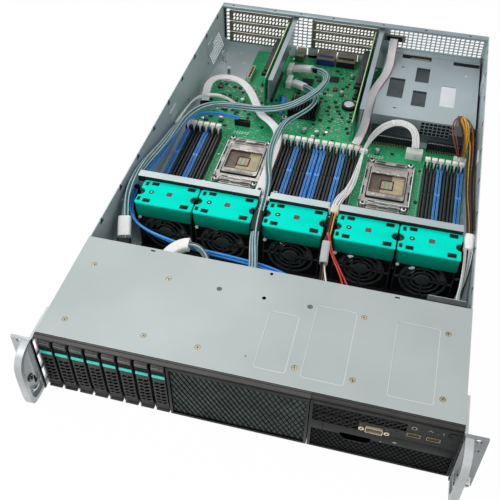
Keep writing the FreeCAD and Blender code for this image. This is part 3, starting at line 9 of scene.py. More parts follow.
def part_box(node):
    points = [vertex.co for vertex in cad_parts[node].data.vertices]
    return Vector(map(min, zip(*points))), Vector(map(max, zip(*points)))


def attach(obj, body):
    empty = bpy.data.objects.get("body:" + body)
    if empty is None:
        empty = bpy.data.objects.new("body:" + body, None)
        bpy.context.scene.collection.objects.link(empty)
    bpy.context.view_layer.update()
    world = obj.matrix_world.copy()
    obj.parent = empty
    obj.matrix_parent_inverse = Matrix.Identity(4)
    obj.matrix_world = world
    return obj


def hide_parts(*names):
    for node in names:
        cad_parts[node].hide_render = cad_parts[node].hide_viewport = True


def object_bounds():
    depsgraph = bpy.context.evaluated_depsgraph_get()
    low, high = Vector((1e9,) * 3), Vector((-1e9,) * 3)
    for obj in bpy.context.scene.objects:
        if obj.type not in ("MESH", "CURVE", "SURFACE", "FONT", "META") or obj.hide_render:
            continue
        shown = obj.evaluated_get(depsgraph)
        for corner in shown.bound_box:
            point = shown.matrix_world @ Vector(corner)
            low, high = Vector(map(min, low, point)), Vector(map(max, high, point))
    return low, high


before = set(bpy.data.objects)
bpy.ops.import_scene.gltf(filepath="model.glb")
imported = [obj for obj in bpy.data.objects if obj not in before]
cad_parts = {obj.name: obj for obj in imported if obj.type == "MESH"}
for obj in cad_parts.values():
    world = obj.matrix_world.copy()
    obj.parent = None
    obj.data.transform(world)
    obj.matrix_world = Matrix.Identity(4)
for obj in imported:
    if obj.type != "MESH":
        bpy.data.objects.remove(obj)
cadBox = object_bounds()
mm = 0.001
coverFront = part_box("front_cover")[0].y  # lengths below run back from this edge
fixed = "chassis"
dice = random.Random(7)

# camera and light
studio = {
    "lens": 54.73, "sensor": 36.0, "shift": (-0.01, -0.06), "place": (0.1168, -0.7473, 0.7204), "nearest": 0.01,
    "right": (0.96945, 0.24524, 0.00437), "up": (-0.17467, 0.67774, 0.71426), "back": (0.1722, -0.6932, 0.69987),
    "sky": 0.42, "floorSize": 6.0, "floorGap": 0.0004, "paper": (0.86, 0.87, 0.88, 1.0), "paperGlow": 0.985,
    "aim": (0.0, 0.0, 0.04),
    "lamps": {  # place, size, power
        "keyLamp": ((-1.4, -0.7, 1.5), 1.3, 17.5),
        "fillLamp": ((1.3, -0.9, 1.6), 1.6, 7.5),
        "rearLamp": ((-0.7, 1.3, 1.7), 1.6, 9.5),
        "frontLamp": ((-0.3, -1.9, 0.5), 1.2, 5.0)},
}


def feed(tree, node, inputs):  # an input takes a value, or a link from a socket
    for label, value in inputs.items():
        if isinstance(value, bpy.types.NodeSocket):
            tree.links.new(value, node.inputs[label])
        else:
            node.inputs[label].default_value = value


def addNode(tree, kind, inputs, **settings):
    node = tree.nodes.new("ShaderNode" + kind)
    for label, value in settings.items():
        setattr(node, label, value)
    feed(tree, node, inputs)
    return node


def combine(tree, operation, first, second):
    return addNode(tree, "Math", {0: first, 1: second}, operation=operation).outputs[0]


def seenDirectly(tree):  # camera, mirror and glass rays see plain white
    rays = addNode(tree, "LightPath", {}).outputs
    either = combine(tree, "MAXIMUM", rays["Is Camera Ray"], rays["Is Glossy Ray"])
    return combine(tree, "MAXIMUM", either, rays["Is Transmission Ray"])


def showObject(name, data):
    shown = bpy.data.objects.new(name, data)
    bpy.context.collection.objects.link(shown)
    return shown


def makeCamera(scene):
    eye = bpy.data.cameras.new("photoCamera")
    eye.lens = studio["lens"]
    eye.sensor_width = studio["sensor"]
    eye.shift_x, eye.shift_y = studio["shift"]
    eye.clip_start = studio["nearest"]
    turn = Matrix((studio["right"], studio["up"], studio["back"])).transposed().to_4x4()
    scene.camera = showObject("photoCamera", eye)
    scene.camera.matrix_world = Matrix.Translation(studio["place"]) @ turn


def makeStudio():
    scene = bpy.context.scene
    scene.view_settings.view_transform = "Standard"
    makeCamera(scene)
    for name, (place, size, power) in studio["lamps"].items():
        light = bpy.data.lights.new(name, "AREA")
        light.shape = "DISK"
        light.size = size
        light.energy = power
        aim = (Vector(studio["aim"]) - Vector(place)).to_track_quat("-Z", "Y")
        showObject(name, light).matrix_world = Matrix.Translation(place) @ aim.to_matrix().to_4x4()
    scene.world = bpy.data.worlds.new("studioSky")
    scene.world.use_nodes = True
    tree = scene.world.node_tree
    level = addNode(tree, "MapRange", {"Value": seenDirectly(tree), "To Min": studio["sky"], "To Max": 1.0})
    feed(tree, tree.nodes["Background"], {"Strength": level.outputs["Result"], "Color": (1.0, 1.0, 1.0, 1.0)})
    paper = bpy.data.materials.new("studioPaper")
    paper.use_nodes = True
    tree = paper.node_tree
    matt = tree.nodes["Principled BSDF"]
    feed(tree, matt, {"Base Color": studio["paper"], "Roughness": 0.9})
    glow = addNode(tree, "Emission", {})
    share = combine(tree, "MULTIPLY", seenDirectly(tree), studio["paperGlow"])  # the rest keeps the object's shadow
    mix = addNode(tree, "MixShader", {"Fac": share, 1: matt.outputs["BSDF"], 2: glow.outputs["Emission"]})
    feed(tree, tree.nodes["Material Output"], {"Surface": mix.outputs["Shader"]})
    bm = bmesh.new()
    bmesh.ops.create_grid(bm, x_segments=1, y_segments=1, size=studio["floorSize"])
    bmesh.ops.translate(bm, verts=bm.verts, vec=(0.0, 0.0, cadBox[0][2] - studio["floorGap"]))
    mesh = bpy.data.meshes.new("studioFloor")
    bm.to_mesh(mesh)
    bm.free()
    mesh.materials.append(paper)
    floor = showObject("studioFloor", mesh)


makeStudio()
print("camera, light and floor set")


# finishes
def tint(code):  # screen colour to scene colour
    parts = [int(code[i:i + 2], 16) / 255 for i in (1, 3, 5)]
    return tuple(p / 12.92 if p <= 0.04045 else ((p + 0.055) / 1.055) ** 2.4 for p in parts) + (1.0,)


def startGroup(name, inputs, outputs):
    group = bpy.data.node_groups.new(name, "ShaderNodeTree")
    for label, value in inputs.items():
        kind = "NodeSocketVector" if isinstance(value, tuple) else "NodeSocketFloat"
        group.interface.new_socket(label, in_out="INPUT", socket_type=kind).default_value = value
    for label in outputs:
        group.interface.new_socket(label, in_out="OUTPUT", socket_type="NodeSocketFloat")
    return group, group.nodes.new("NodeGroupInput").outputs, group.nodes.new("NodeGroupOutput")


def makeGrain():  # cloudy patches and fine pits
    group, given, out = startGroup("surfaceGrain", {"Patch": 20.0, "Pits": 900.0, "Stretch": (1, 1, 1)},
                                   ("Cloud", "Height"))
    where = addNode(group, "TexCoord", {}).outputs["Object"]
    cloud = addNode(group, "TexNoise", {"Vector": where, "Scale": given["Patch"], "Detail": 4.0})
    spread = addNode(group, "MapRange", {"Value": cloud.outputs["Fac"], "From Min": 0.3, "From Max": 0.7})
    along = addNode(group, "Mapping", {"Vector": where, "Scale": given["Stretch"]})
    pits = addNode(group, "TexNoise", {"Vector": along.outputs["Vector"], "Scale": given["Pits"], "Detail": 2.0})
    feed(group, out, {"Cloud": spread.outputs["Result"], "Height": pits.outputs["Fac"]})
    return group


def makeEdgeWearAndHighlight():  # bright edges, broken up: rubbed wear and a painted highlight
    group, given, out = startGroup("edgeWearAndHighlight", {"Width": 0.0006, "Amount": 0.5}, ("Mask",))
    soft = addNode(group, "Bevel", {"Radius": given["Width"]}, samples=4)
    shape = addNode(group, "NewGeometry", {})
    dot = addNode(group, "VectorMath", {0: soft.outputs["Normal"], 1: shape.outputs["Normal"]},
                  operation="DOT_PRODUCT")
    edge = addNode(group, "MapRange", {"Value": dot.outputs["Value"], "From Min": 0.99, "From Max": 0.8})
    where = addNode(group, "TexCoord", {})
    rub = addNode(group, "TexNoise", {"Vector": where.outputs["Object"], "Scale": 120.0})
    broken = combine(group, "MULTIPLY", edge.outputs["Result"], rub.outputs["Fac"])
    feed(group, out, {"Mask": combine(group, "MULTIPLY", broken, given["Amount"])})
    return group


def makeDust():  # a thin film on upward faces
    group, given, out = startGroup("dustFilm", {"Amount": 0.2}, ("Mask",))
    shape = addNode(group, "NewGeometry", {})
    split = addNode(group, "SeparateXYZ", {"Vector": shape.outputs["Normal"]})
    where = addNode(group, "TexCoord", {})
    drift = addNode(group, "TexNoise", {"Vector": where.outputs["Object"], "Scale": 45.0, "Detail": 5.0})
    up = addNode(group, "MapRange", {"Value": split.outputs["Z"], "From Min": 0.5})
    film = combine(group, "MULTIPLY", up.outputs["Result"], drift.outputs["Fac"])
    feed(group, out, {"Mask": combine(group, "MULTIPLY", film, given["Amount"])})
    return group


grainGroup = makeGrain()
wearAndHighlightGroup = makeEdgeWearAndHighlight()
dustGroup = makeDust()
dustColour = "#c9c8c2"


def addGroup(tree, group, **values):
    node = addNode(tree, "Group", {}, node_tree=group)
    feed(tree, node, values)
    return node.outputs


def mixColour(tree, mask, low, high):  # low and high are colours or sockets
    mix = addNode(tree, "Mix", {"Factor": mask}, data_type="RGBA")
    places = {socket.name: i for i, socket in enumerate(mix.inputs) if socket.type == "RGBA"}
    feed(tree, mix, {places["A"]: low, places["B"]: high})
    return [socket for socket in mix.outputs if socket.type == "RGBA"][0]


def startFinish(name):
    material = bpy.data.materials.new(name)
    material.use_nodes = True
    return material, material.node_tree, material.node_tree.nodes["Principled BSDF"]


def coatShader(tree, shader, paint, cloud, glossRange, height, bump):  # colour, gloss and bump
    gloss = addNode(tree, "MapRange", {"Value": cloud, "To Min": glossRange[0], "To Max": glossRange[1]})
    raised = addNode(tree, "Bump", {"Strength": bump[0], "Distance": bump[1], "Height": height})
    feed(tree, shader, {"Base Color": paint, "Roughness": gloss.outputs["Result"],
                        "Normal": raised.outputs["Normal"]})


def makeFinish(name, colour, second, rough, patch, pits, bump, metal=0.0, stretch=(1, 1, 1), wear=0.0,
               wearColour="#dfe3e4", dust=0.0, shine=0.5):
    material, tree, shader = startFinish(name)
    feed(tree, shader, {"Metallic": metal, "Specular IOR Level": shine})
    grain = addGroup(tree, grainGroup, Patch=patch, Pits=pits, Stretch=stretch)
    paint = mixColour(tree, grain["Cloud"], tint(colour), tint(second))
    if wear:
        paint = mixColour(tree, addGroup(tree, wearAndHighlightGroup, Amount=wear)["Mask"], paint, tint(wearColour))
    if dust:
        paint = mixColour(tree, addGroup(tree, dustGroup, Amount=dust)["Mask"], paint, tint(dustColour))
    glossRange = max(0.05, rough - 0.06), min(1.0, rough + 0.08)
    coatShader(tree, shader, paint, grain["Cloud"], glossRange, grain["Height"], (bump, 0.0003))
    return material


# colour, second colour, roughness, size of patches and pits, bump, then what else differs
finishes = {
    # lighter copy of the cover steel: painted highlight on the pressed lines and the folded front edge
    "coverLight": ("#d4dcdb", "#cad2d1", 0.35, 20, 1600, 0.02, dict(metal=0.1)),
    "coverSteel": ("#b7c1c0", "#abb5b4", 0.52, 6, 1600, 0.07,
                   dict(metal=0.2, stretch=(1, 12, 1), wear=0.5, dust=0.08)),
    "caseSteel": ("#c4d1d4", "#b0bec2", 0.4, 9, 1400, 0.06, dict(metal=0.25, stretch=(1, 6, 6), wear=0.5, dust=0.15)),
    "supplySteel": ("#6d777b", "#596367", 0.42, 9, 1400, 0.06, dict(metal=0.4, stretch=(1, 6, 6), wear=0.5)),
    # a lighter copy of caseSteel for the tray floor: painted light where the floor is lit
    "floorSteel": ("#ccd7da", "#bac6ca", 0.36, 9, 1400, 0.05, dict(metal=0.25, stretch=(1, 6, 6), wear=0.4)),
    # dark plates under the cage windows: painted shade of the cage's inside
    "windowDark": ("#454d50", "#343b3e", 0.45, 40, 1400, 0.05, dict(metal=0.3, shine=0.3)),
    "portSteel": ("#8d8877", "#6c6859", 0.4, 40, 1500, 0.06, dict(metal=0.5, wear=0.4)),
    "cageSteel": ("#adbbc0", "#9aa8ad", 0.42, 8, 1500, 0.05, dict(metal=0.4, stretch=(6, 1, 1), wear=0.5, dust=0.1)),
    "railSteel": ("#b3bfc1", "#a2aeb1", 0.36, 10, 1500, 0.05, dict(metal=0.45, stretch=(8, 1, 1), wear=0.5)),
    "bracketSteel": ("#94a1a7", "#7c8990", 0.32, 12, 1300, 0.05, dict(metal=0.6, stretch=(1, 8, 1), wear=0.5)),
    "coverKhaki": ("#8f8a78", "#6f6a5a", 0.42, 25, 1200, 0.08, dict(metal=0.5, wear=0.5, dust=0.2)),
    "boltBrass": ("#bdb096", "#93866a", 0.34, 300, 3000, 0.05, dict(metal=0.9)),
    "boltDark": ("#3c3d3c", "#26282a", 0.45, 300, 3000, 0.05, dict(metal=0.6)),
    "frontCharcoal": ("#3a3a3b", "#2e2f31", 0.5, 18, 2600, 0.16,
                      dict(wear=0.35, wearColour="#8d8a86", dust=0.12, shine=0.22)),
    "leverCharcoal": ("#353535", "#2a2b2b", 0.42, 18, 2600, 0.12,
                      dict(wear=0.5, wearColour="#8d8a86", dust=0.08, shine=0.22)),
    "meshBacking": ("#56605c", "#434c49", 0.6, 60, 2200, 0.1),
    "panelCharcoal": ("#262727", "#1c1d1e", 0.5, 18, 2600, 0.16,
                      dict(wear=0.3, wearColour="#7d7a74", dust=0.1, shine=0.22)),
    "lipPlastic": ("#565554", "#464544", 0.42, 10, 2400, 0.12, dict(wear=0.4, wearColour="#a39f98", shine=0.3)),
    "meshBlack": ("#1d1e20", "#141517", 0.5, 30, 2400, 0.12, dict(wear=0.25, wearColour="#5d574e", shine=0.22)),
    # flat black, no shine: painted shade inside sockets, behind lever holes and in the finger recess
    "voidBlack": ("#030303", "#020202", 0.9, 40, 2000, 0.02, dict(shine=0.0)),
    "knobSteel": ("#e6e8ea", "#cfd3d6", 0.26, 200, 2400, 0.03, dict(metal=0.5)),
    # near black: painted shade in holes, slots, grooves and the gaps between parts
    "recessBlack": ("#0a0b0c", "#060607", 0.7, 40, 2000, 0.05, dict(shine=0.22)),
    "barGrey": ("#4c4b4c", "#3c3b3c", 0.36, 30, 1800, 0.06,
                dict(metal=0.1, wear=0.25, wearColour="#8f8c89", shine=0.3)),
    "ioBacking": ("#2d312f", "#222625", 0.6, 60, 2200, 0.1, dict(shine=0.22)),
    "webGrey": ("#626362", "#4e4f4f", 0.5, 30, 1800, 0.08, dict(wear=0.3, wearColour="#9a9792")),
    "postCream": ("#efe6cf", "#d8ccaf", 0.3, 200, 2400, 0.03, dict(metal=0.55)),
    # a lighter, less metallic copy of the ear metal for the handle pocket: painted light
    "earFloor": ("#e2e6e7", "#cdd3d5", 0.42, 22, 1800, 0.06, dict(metal=0.1, wear=0.4)),
    # a darker copy of the ear metal for the right flange: painted shade
    "earShade": ("#949799", "#7f8385", 0.38, 22, 1800, 0.06, dict(metal=0.6, stretch=(1, 1, 6), wear=0.4)),
    # lighter grey for the ridge on the carrier bars: painted highlight
    "leverGrey": ("#6d6c6c", "#545454", 0.38, 30, 1800, 0.08, dict(metal=0.25, wear=0.4, wearColour="#b5b2ae")),
    "tealPlastic": ("#35e2cb", "#22c6b2", 0.35, 60, 1800, 0.05),
    "earAluminium": ("#c6c9ca", "#adb1b3", 0.36, 22, 1800, 0.06, dict(metal=0.5, stretch=(1, 1, 6), wear=0.5)),
    "earDark": ("#6f7679", "#565d61", 0.42, 22, 1800, 0.06, dict(metal=0.6, wear=0.4)),
    "boltChrome": ("#d6d8da", "#b4b8bb", 0.22, 200, 2400, 0.03, dict(metal=0.95)),
    "gripTurquoise": ("#00f4dc", "#00ead0", 0.6, 25, 1800, 0.08, dict(shine=0.03)),
    "skirtGreen": ("#059a80", "#048870", 0.55, 25, 1800, 0.08, dict(shine=0.1)),
    "badgeBrown": ("#70504c", "#5e413e", 0.5, 90, 2200, 0.05, dict(shine=0.3)),
    "fanBlack": ("#16181a", "#0c0d0f", 0.3, 40, 1600, 0.05, dict(wear=0.3, wearColour="#585c5e", shine=0.22)),
    "fanGrey": ("#36393c", "#2a2d30", 0.24, 40, 1600, 0.05, dict(shine=0.45)),
    # fan guard lighter than the black housing: painted sheen
    "guardGrey": ("#484c4e", "#383c3e", 0.24, 40, 1600, 0.05, dict(shine=0.5)),
    "socketBlack": ("#1d1e20", "#131416", 0.45, 60, 2000, 0.08, dict(wear=0.2, wearColour="#4d4a46", shine=0.22)),
    "socketBlue": ("#6ab6ff", "#55a3fc", 0.4, 60, 2000, 0.06, dict(shine=0.3)),
    "contactGrey": ("#4c5052", "#3a3d3f", 0.4, 90, 2000, 0.03, dict(shine=0.3)),
    "towerBlue": ("#1b2f94", "#14246f", 0.4, 60, 2000, 0.06),
    "latchIvory": ("#fcfaf2", "#f1ede2", 0.42, 70, 1800, 0.06),
    "socketSteel": ("#aca7a1", "#787370", 0.3, 60, 2200, 0.06, dict(metal=0.7, wear=0.5)),
    "padBrown": ("#6b5c4c", "#584b3d", 0.5, 120, 2600, 0.2),
    "padBeige": ("#c9b896", "#b3a17f", 0.45, 120, 2600, 0.2),
    "pinGold": ("#d0a850", "#a9812f", 0.3, 200, 2400, 0.04, dict(metal=0.9)),
    "solderSilver": ("#c9ccce", "#a5aaae", 0.3, 200, 2400, 0.05, dict(metal=0.8)),
    "chipBlack": ("#26272a", "#191a1c", 0.5, 120, 2800, 0.12, dict(shine=0.22)),
    "plugIvory": ("#ede6d2", "#d9cfb6", 0.42, 70, 1800, 0.06),
    "plugBlack": ("#1b1c1e", "#101113", 0.4, 60, 1800, 0.06, dict(shine=0.22)),
    "finBlack": ("#242628", "#191b1c", 0.36, 30, 1500, 0.05, dict(metal=0.3, stretch=(6, 1, 1), shine=0.3)),
    "plugClear": ("#f4f6f2", "#e6e9e3", 0.3, 70, 1800, 0.05),
    "edgeStraw": ("#cbd7a4", "#b6c28c", 0.5, 90, 1800, 0.05),
    "stripePink": ("#e2a39c", "#cf8c86", 0.45, 90, 1800, 0.03),
    "stripeGreen": ("#4fbc84", "#3da471", 0.45, 90, 1800, 0.03),
    "silkWhite": ("#dfe9e2", "#c6d6cc", 0.6, 200, 2000, 0.02),
    "boardBrown": ("#8f7b54", "#6f5f42", 0.5, 120, 2000, 0.05),
    "partTan": ("#d2b488", "#b4946a", 0.45, 300, 2400, 0.04),
    "portGreen": ("#57703f", "#3f5530", 0.4, 60, 1800, 0.05, dict(metal=0.4)),
    "portBlue": ("#1c2f86", "#142364", 0.4, 60, 1800, 0.05),
    "labelWhite": ("#e6eaec", "#d9dee1", 0.55, 40, 1800, 0.03),
    "wireTeal": ("#b2dcdf", "#98c4c9", 0.36, 70, 1200, 0.05),
    "wireSlate": ("#4a5a60", "#38474d", 0.36, 70, 1200, 0.05),
    "wirePlum": ("#745d63", "#5c484f", 0.36, 70, 1200, 0.05),
    "tapeGrey": ("#c4c8ca", "#b2b6b8", 0.5, 60, 1500, 0.06),
    "wireBlue": ("#46a9ff", "#2f92f2", 0.35, 70, 1200, 0.05),
    "wireSky": ("#3aa6ff", "#2a92ee", 0.35, 70, 1200, 0.05),
    "wireWhite": ("#ffffff", "#f5f4f1", 0.4, 70, 1200, 0.05),
    "wireBlack": ("#1a1b1d", "#101112", 0.38, 70, 1200, 0.05, dict(shine=0.22)),
    "wireYellow": ("#f3bd12", "#dba208", 0.4, 70, 1200, 0.05),
    "wireRed": ("#e04030", "#b92a20", 0.4, 70, 1200, 0.05),
    "wireBrown": ("#84482d", "#683521", 0.4, 70, 1200, 0.05),
    "ribbonGrey": ("#fdfcfd", "#f1f0f2", 0.5, 60, 1200, 0.05),
    "ribbonPink": ("#e34a86", "#c9326c", 0.45, 60, 1200, 0.05),
}
paints = {name: makeFinish(name, *row[:6], **(row[6] if len(row) > 6 else {})) for name, row in finishes.items()}
board = {"mask": ("#1bb272", "#0e9058"), "runs": ((260.0, 0.05, 0.0), (420.0, 0.06, math.radians(45))),
         "runColours": ("#4fd097", "#0a6d45"), "holes": 130.0, "holeColour": "#bcd0b0"}


def makeBoardFinish():  # green solder mask over copper runs
    material, tree, shader = startFinish("boardGreen")
    shader.inputs["Specular IOR Level"].default_value = 0.25
    grain = addGroup(tree, grainGroup, Patch=14.0, Pits=1500.0)
    where = addNode(tree, "TexCoord", {}).outputs["Object"]
    paint = mixColour(tree, grain["Cloud"], *map(tint, board["mask"]))
    masks = []
    for (scale, width, spin), colour in zip(board["runs"], board["runColours"]):
        along = addNode(tree, "Mapping", {"Vector": where, "Rotation": (0.0, 0.0, spin)}).outputs["Vector"]
        runs = addNode(tree, "TexVoronoi", {"Vector": along, "Scale": scale, "Randomness": 0.75},
                       feature="DISTANCE_TO_EDGE")
        thin = addNode(tree, "MapRange", {"Value": runs.outputs["Distance"], "From Min": width,
                                          "From Max": width * 0.4})
        masks.append(thin.outputs["Result"])
        paint = mixColour(tree, masks[-1], paint, tint(colour))
    holes = addNode(tree, "TexVoronoi", {"Vector": where, "Scale": board["holes"], "Randomness": 1.0})  # plated holes
    dots = addNode(tree, "MapRange", {"Value": holes.outputs["Distance"], "From Min": 0.11, "From Max": 0.08})
    paint = mixColour(tree, dots.outputs["Result"], paint, tint(board["holeColour"]))
    coatShader(tree, shader, paint, grain["Cloud"], (0.32, 0.45), masks[0], (0.15, 0.0002))
    return material


paints["boardGreen"] = makeBoardFinish()
print("finishes made")


def pick(piece, names):  # several settings of one piece
    return [piece[name] for name in names.split()]


# mesh tools, all in millimetres from the cover's front edge
def spot(x, y, z):
    return Vector((x * mm, coverFront + y * mm, z * mm))


swaps = {"xy": lambda a, b, c: (a, b, c), "xz": lambda a, b, c: (a, c, b), "yz": lambda a, b, c: (c, a, b)}


def settle(bm, verts, plane, paint):  # flat drawing to its place on the object
    faces = {face for vert in verts for face in vert.link_faces}
    for vert in verts:
        vert.co = spot(*swaps[plane](*vert.co))
    bmesh.ops.recalc_face_normals(bm, faces=list(faces))
    for face in faces:
        face.material_index = paint
    return list(faces)


def soften(bm, faces, width):
    edges = {edge for face in faces for edge in face.edges}
    bmesh.ops.bevel(bm, geom=list(edges), offset=width * mm, segments=2, profile=0.5, affect="EDGES", material=-1)


def thicken(bm, geom, depth):  # a flat sheet gets its depth; gives back the new points
    made = bmesh.ops.extrude_face_region(bm, geom=geom)["geom"]
    top = [item for item in made if isinstance(item, bmesh.types.BMVert)]
    bmesh.ops.translate(bm, verts=top, vec=(0.0, 0.0, depth))
    return top


def addBox(bm, low, high, paint=0, soft=0.0):  # opposite corners, in either order
    middle = [(a + b) / 2 for a, b in zip(low, high)]
    size = [abs(b - a) for a, b in zip(low, high)]
    place = Matrix.Translation(middle) @ Matrix.Diagonal((*size, 1.0))
    verts = bmesh.ops.create_cube(bm, size=1.0, matrix=place)["verts"]
    faces = settle(bm, verts, "xy", paint)
    if soft:
        soften(bm, faces, soft)


def addPlates(bm, near, far, paint, plates, soft=0.0):  # upright plates: left, low, right, high
    for left, low, right, high in plates:
        addBox(bm, (left, near, low), (right, far, high), paint, soft)


turned = {"x": Matrix.Rotation(math.radians(90), 4, "Y"), "y": Matrix.Rotation(math.radians(-90), 4, "X"),
          "z": Matrix.Identity(4)}


def addRod(bm, base, radius, length, axis="z", paint=0, sides=20):
    place = Matrix.Translation(base) @ turned[axis] @ Matrix.Translation((0.0, 0.0, length / 2))
    verts = bmesh.ops.create_cone(bm, cap_ends=True, segments=sides, radius1=radius, radius2=radius, depth=length,
                                  matrix=place)["verts"]
    settle(bm, verts, "xy", paint)


def addPrism(bm, plane, outline, start, depth, paint=0, soft=0.0):
    ring = bm.faces.new([bm.verts.new((a, b, start)) for a, b in outline])
    faces = settle(bm, thicken(bm, [ring], depth) + list(ring.verts), plane, paint)
    if soft:
        soften(bm, faces, soft)


def loopOf(bm, outline, height):
    verts = [bm.verts.new((a, b, height)) for a, b in outline]
    return [bm.edges.new((verts[i - 1], verts[i])) for i in range(len(verts))]


def addRim(bm, plane, outer, inner, start, depth, paint=0):  # a plate with one hole
    edges = loopOf(bm, outer, start) + loopOf(bm, inner, start)
    top = thicken(bm, bmesh.ops.bridge_loops(bm, edges=edges)["faces"], depth)
    settle(bm, list({vert for edge in edges for vert in edge.verts} | set(top)), plane, paint)


def circle(a, b, radius, sides=24, start=0.0):
    turns = [start + 2 * math.pi * i / sides for i in range(sides)]
    return [(a + radius * math.cos(t), b + radius * math.sin(t)) for t in turns]


def roundedBox(a0, b0, a1, b1, radius, steps=4):
    outline = []
    for quarter, (a, b) in enumerate(((a1 - radius, b1 - radius), (a0 + radius, b1 - radius),
                                      (a0 + radius, b0 + radius), (a1 - radius, b0 + radius))):
        turns = [math.pi / 2 * (quarter + i / steps) for i in range(steps + 1)]
        outline += [(a + radius * math.cos(t), b + radius * math.sin(t)) for t in turns]
    return outline


def addLathe(bm, base, profile, axis="z", paint=0, sides=24):  # profile: radius and height pairs
    verts = [bm.verts.new((radius, 0.0, height)) for radius, height in profile]
    edges = [bm.edges.new((verts[i], verts[i + 1])) for i in range(len(verts) - 1)]
    before = set(bm.verts) - set(verts)
    bmesh.ops.spin(bm, geom=verts + edges, cent=(0, 0, 0), axis=(0, 0, 1), angle=2 * math.pi, steps=sides,
                   use_merge=True)
    made = [vert for vert in bm.verts if vert not in before]
    bmesh.ops.remove_doubles(bm, verts=made, dist=0.0001)
    made = [vert for vert in bm.verts if vert not in before]
    bmesh.ops.transform(bm, verts=made, matrix=Matrix.Translation(base) @ turned[axis])
    settle(bm, made, "xy", paint)


def addGrille(bm, plane, low, high, cells, web, start, depth, paint=0, slant=0.0):  # sheet with rows of holes
    place = Matrix.Translation(((low[0] + high[0]) / 2, (low[1] + high[1]) / 2, start))
    place = place @ Matrix.Diagonal((high[0] - low[0], high[1] - low[1], 1.0, 1.0))
    verts = bmesh.ops.create_grid(bm, x_segments=cells[0], y_segments=cells[1], size=0.5, matrix=place)["verts"]
    holes = list({face for vert in verts for face in vert.link_faces})
    rims = bmesh.ops.inset_individual(bm, faces=holes, thickness=web / 2, use_even_offset=True)["faces"]
    for face in holes:
        middle = face.calc_center_median()
        for vert in face.verts:
            vert.co.x += slant * (vert.co.y - middle.y)
    sheet = {vert for face in holes + rims for vert in face.verts}
    bmesh.ops.delete(bm, geom=holes, context="FACES_ONLY")
    faces = list({face for vert in sheet for face in vert.link_faces})
    edges = list({edge for face in faces for edge in face.edges})
    top = thicken(bm, faces + edges + list(sheet), depth)
    settle(bm, list(sheet | set(top)), plane, paint)


def addLattice(bm, low, high, cells, web, start, depth, paint=0):  # upright sheet of diamond holes
    steps = [(b - a) / (2 * n) for a, b, n in zip(low, high, cells)]
    spots = [(i, j) for i in range(2 * cells[0] + 1) for j in range(2 * cells[1] + 1)]
    crossings = {(i, j): bm.verts.new((low[0] + i * steps[0], low[1] + j * steps[1], start))
                 for i, j in spots if (i + j) % 2 == 0}
    holes = []
    for i, j in spots:
        around = ((i - 1, j), (i, j - 1), (i + 1, j), (i, j + 1)) if (i + j) % 2 else ()
        corners = [crossings[key] for key in around if key in crossings]
        if len(corners) > 2:
            holes.append(bm.faces.new(corners))
    rims = bmesh.ops.inset_individual(bm, faces=holes, thickness=web / 2, use_even_offset=True)["faces"]
    sheet = {vert for face in holes + rims for vert in face.verts}
    bmesh.ops.delete(bm, geom=holes, context="FACES_ONLY")
    settle(bm, list(sheet | set(thicken(bm, rims, depth))), "xz", paint)


def addPerforated(bm, plane, across, upward, holes, start, depth, slant=0.0):  # uneven sheet, some cells left open
    verts = {(i, j): bm.verts.new((a, b, start)) for i, a in enumerate(across) for j, b in enumerate(upward)}
    for i, j in holes:
        middle = (upward[j] + upward[j + 1]) / 2
        for corner in ((i, j), (i + 1, j), (i + 1, j + 1), (i, j + 1)):
            verts[corner].co.x += slant * (verts[corner].co.y - middle)
    cells = [(i, j) for i in range(len(across) - 1) for j in range(len(upward) - 1) if (i, j) not in holes]
    faces = [bm.faces.new([verts[i, j], verts[i + 1, j], verts[i + 1, j + 1], verts[i, j + 1]]) for i, j in cells]
    settle(bm, list(verts.values()) + thicken(bm, faces, depth), plane, 0)


def stamp(bm, template, places):  # copies of one finished shape, moved by millimetres
    mesh = bpy.data.meshes.new("stampShape")
    template.to_mesh(mesh)
    template.free()
    for place in places:
        count = len(bm.verts)
        bm.from_mesh(mesh)
        bm.verts.ensure_lookup_table()
        bmesh.ops.translate(bm, verts=bm.verts[count:], vec=Vector(place) * mm)
    bpy.data.meshes.remove(mesh)


def finishPiece(name, bm, body, names, nodes=(), edge=0.0, steps=2, sharp=38):
    mesh = bpy.data.meshes.new(name)
    bm.to_mesh(mesh)
    bm.free()
    for finish in names.split():
        mesh.materials.append(paints[finish])
    mesh.shade_smooth()
    mesh.set_sharp_from_angle(angle=math.radians(sharp))
    piece = showObject(name, mesh)
    if edge:
        rounding = piece.modifiers.new("softEdges", "BEVEL")
        rounding.width = edge * mm
        rounding.segments = steps
        rounding.limit_method = "ANGLE"
        rounding.angle_limit = math.radians(sharp)
        rounding.harden_normals = True
    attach(piece, body)
    if nodes:
        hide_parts(*nodes)


def dress(node, finish):  # a CAD solid keeps its shape and gets a finish
    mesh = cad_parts[node].data
    mesh.materials.clear()
    mesh.materials.append(paints[finish])


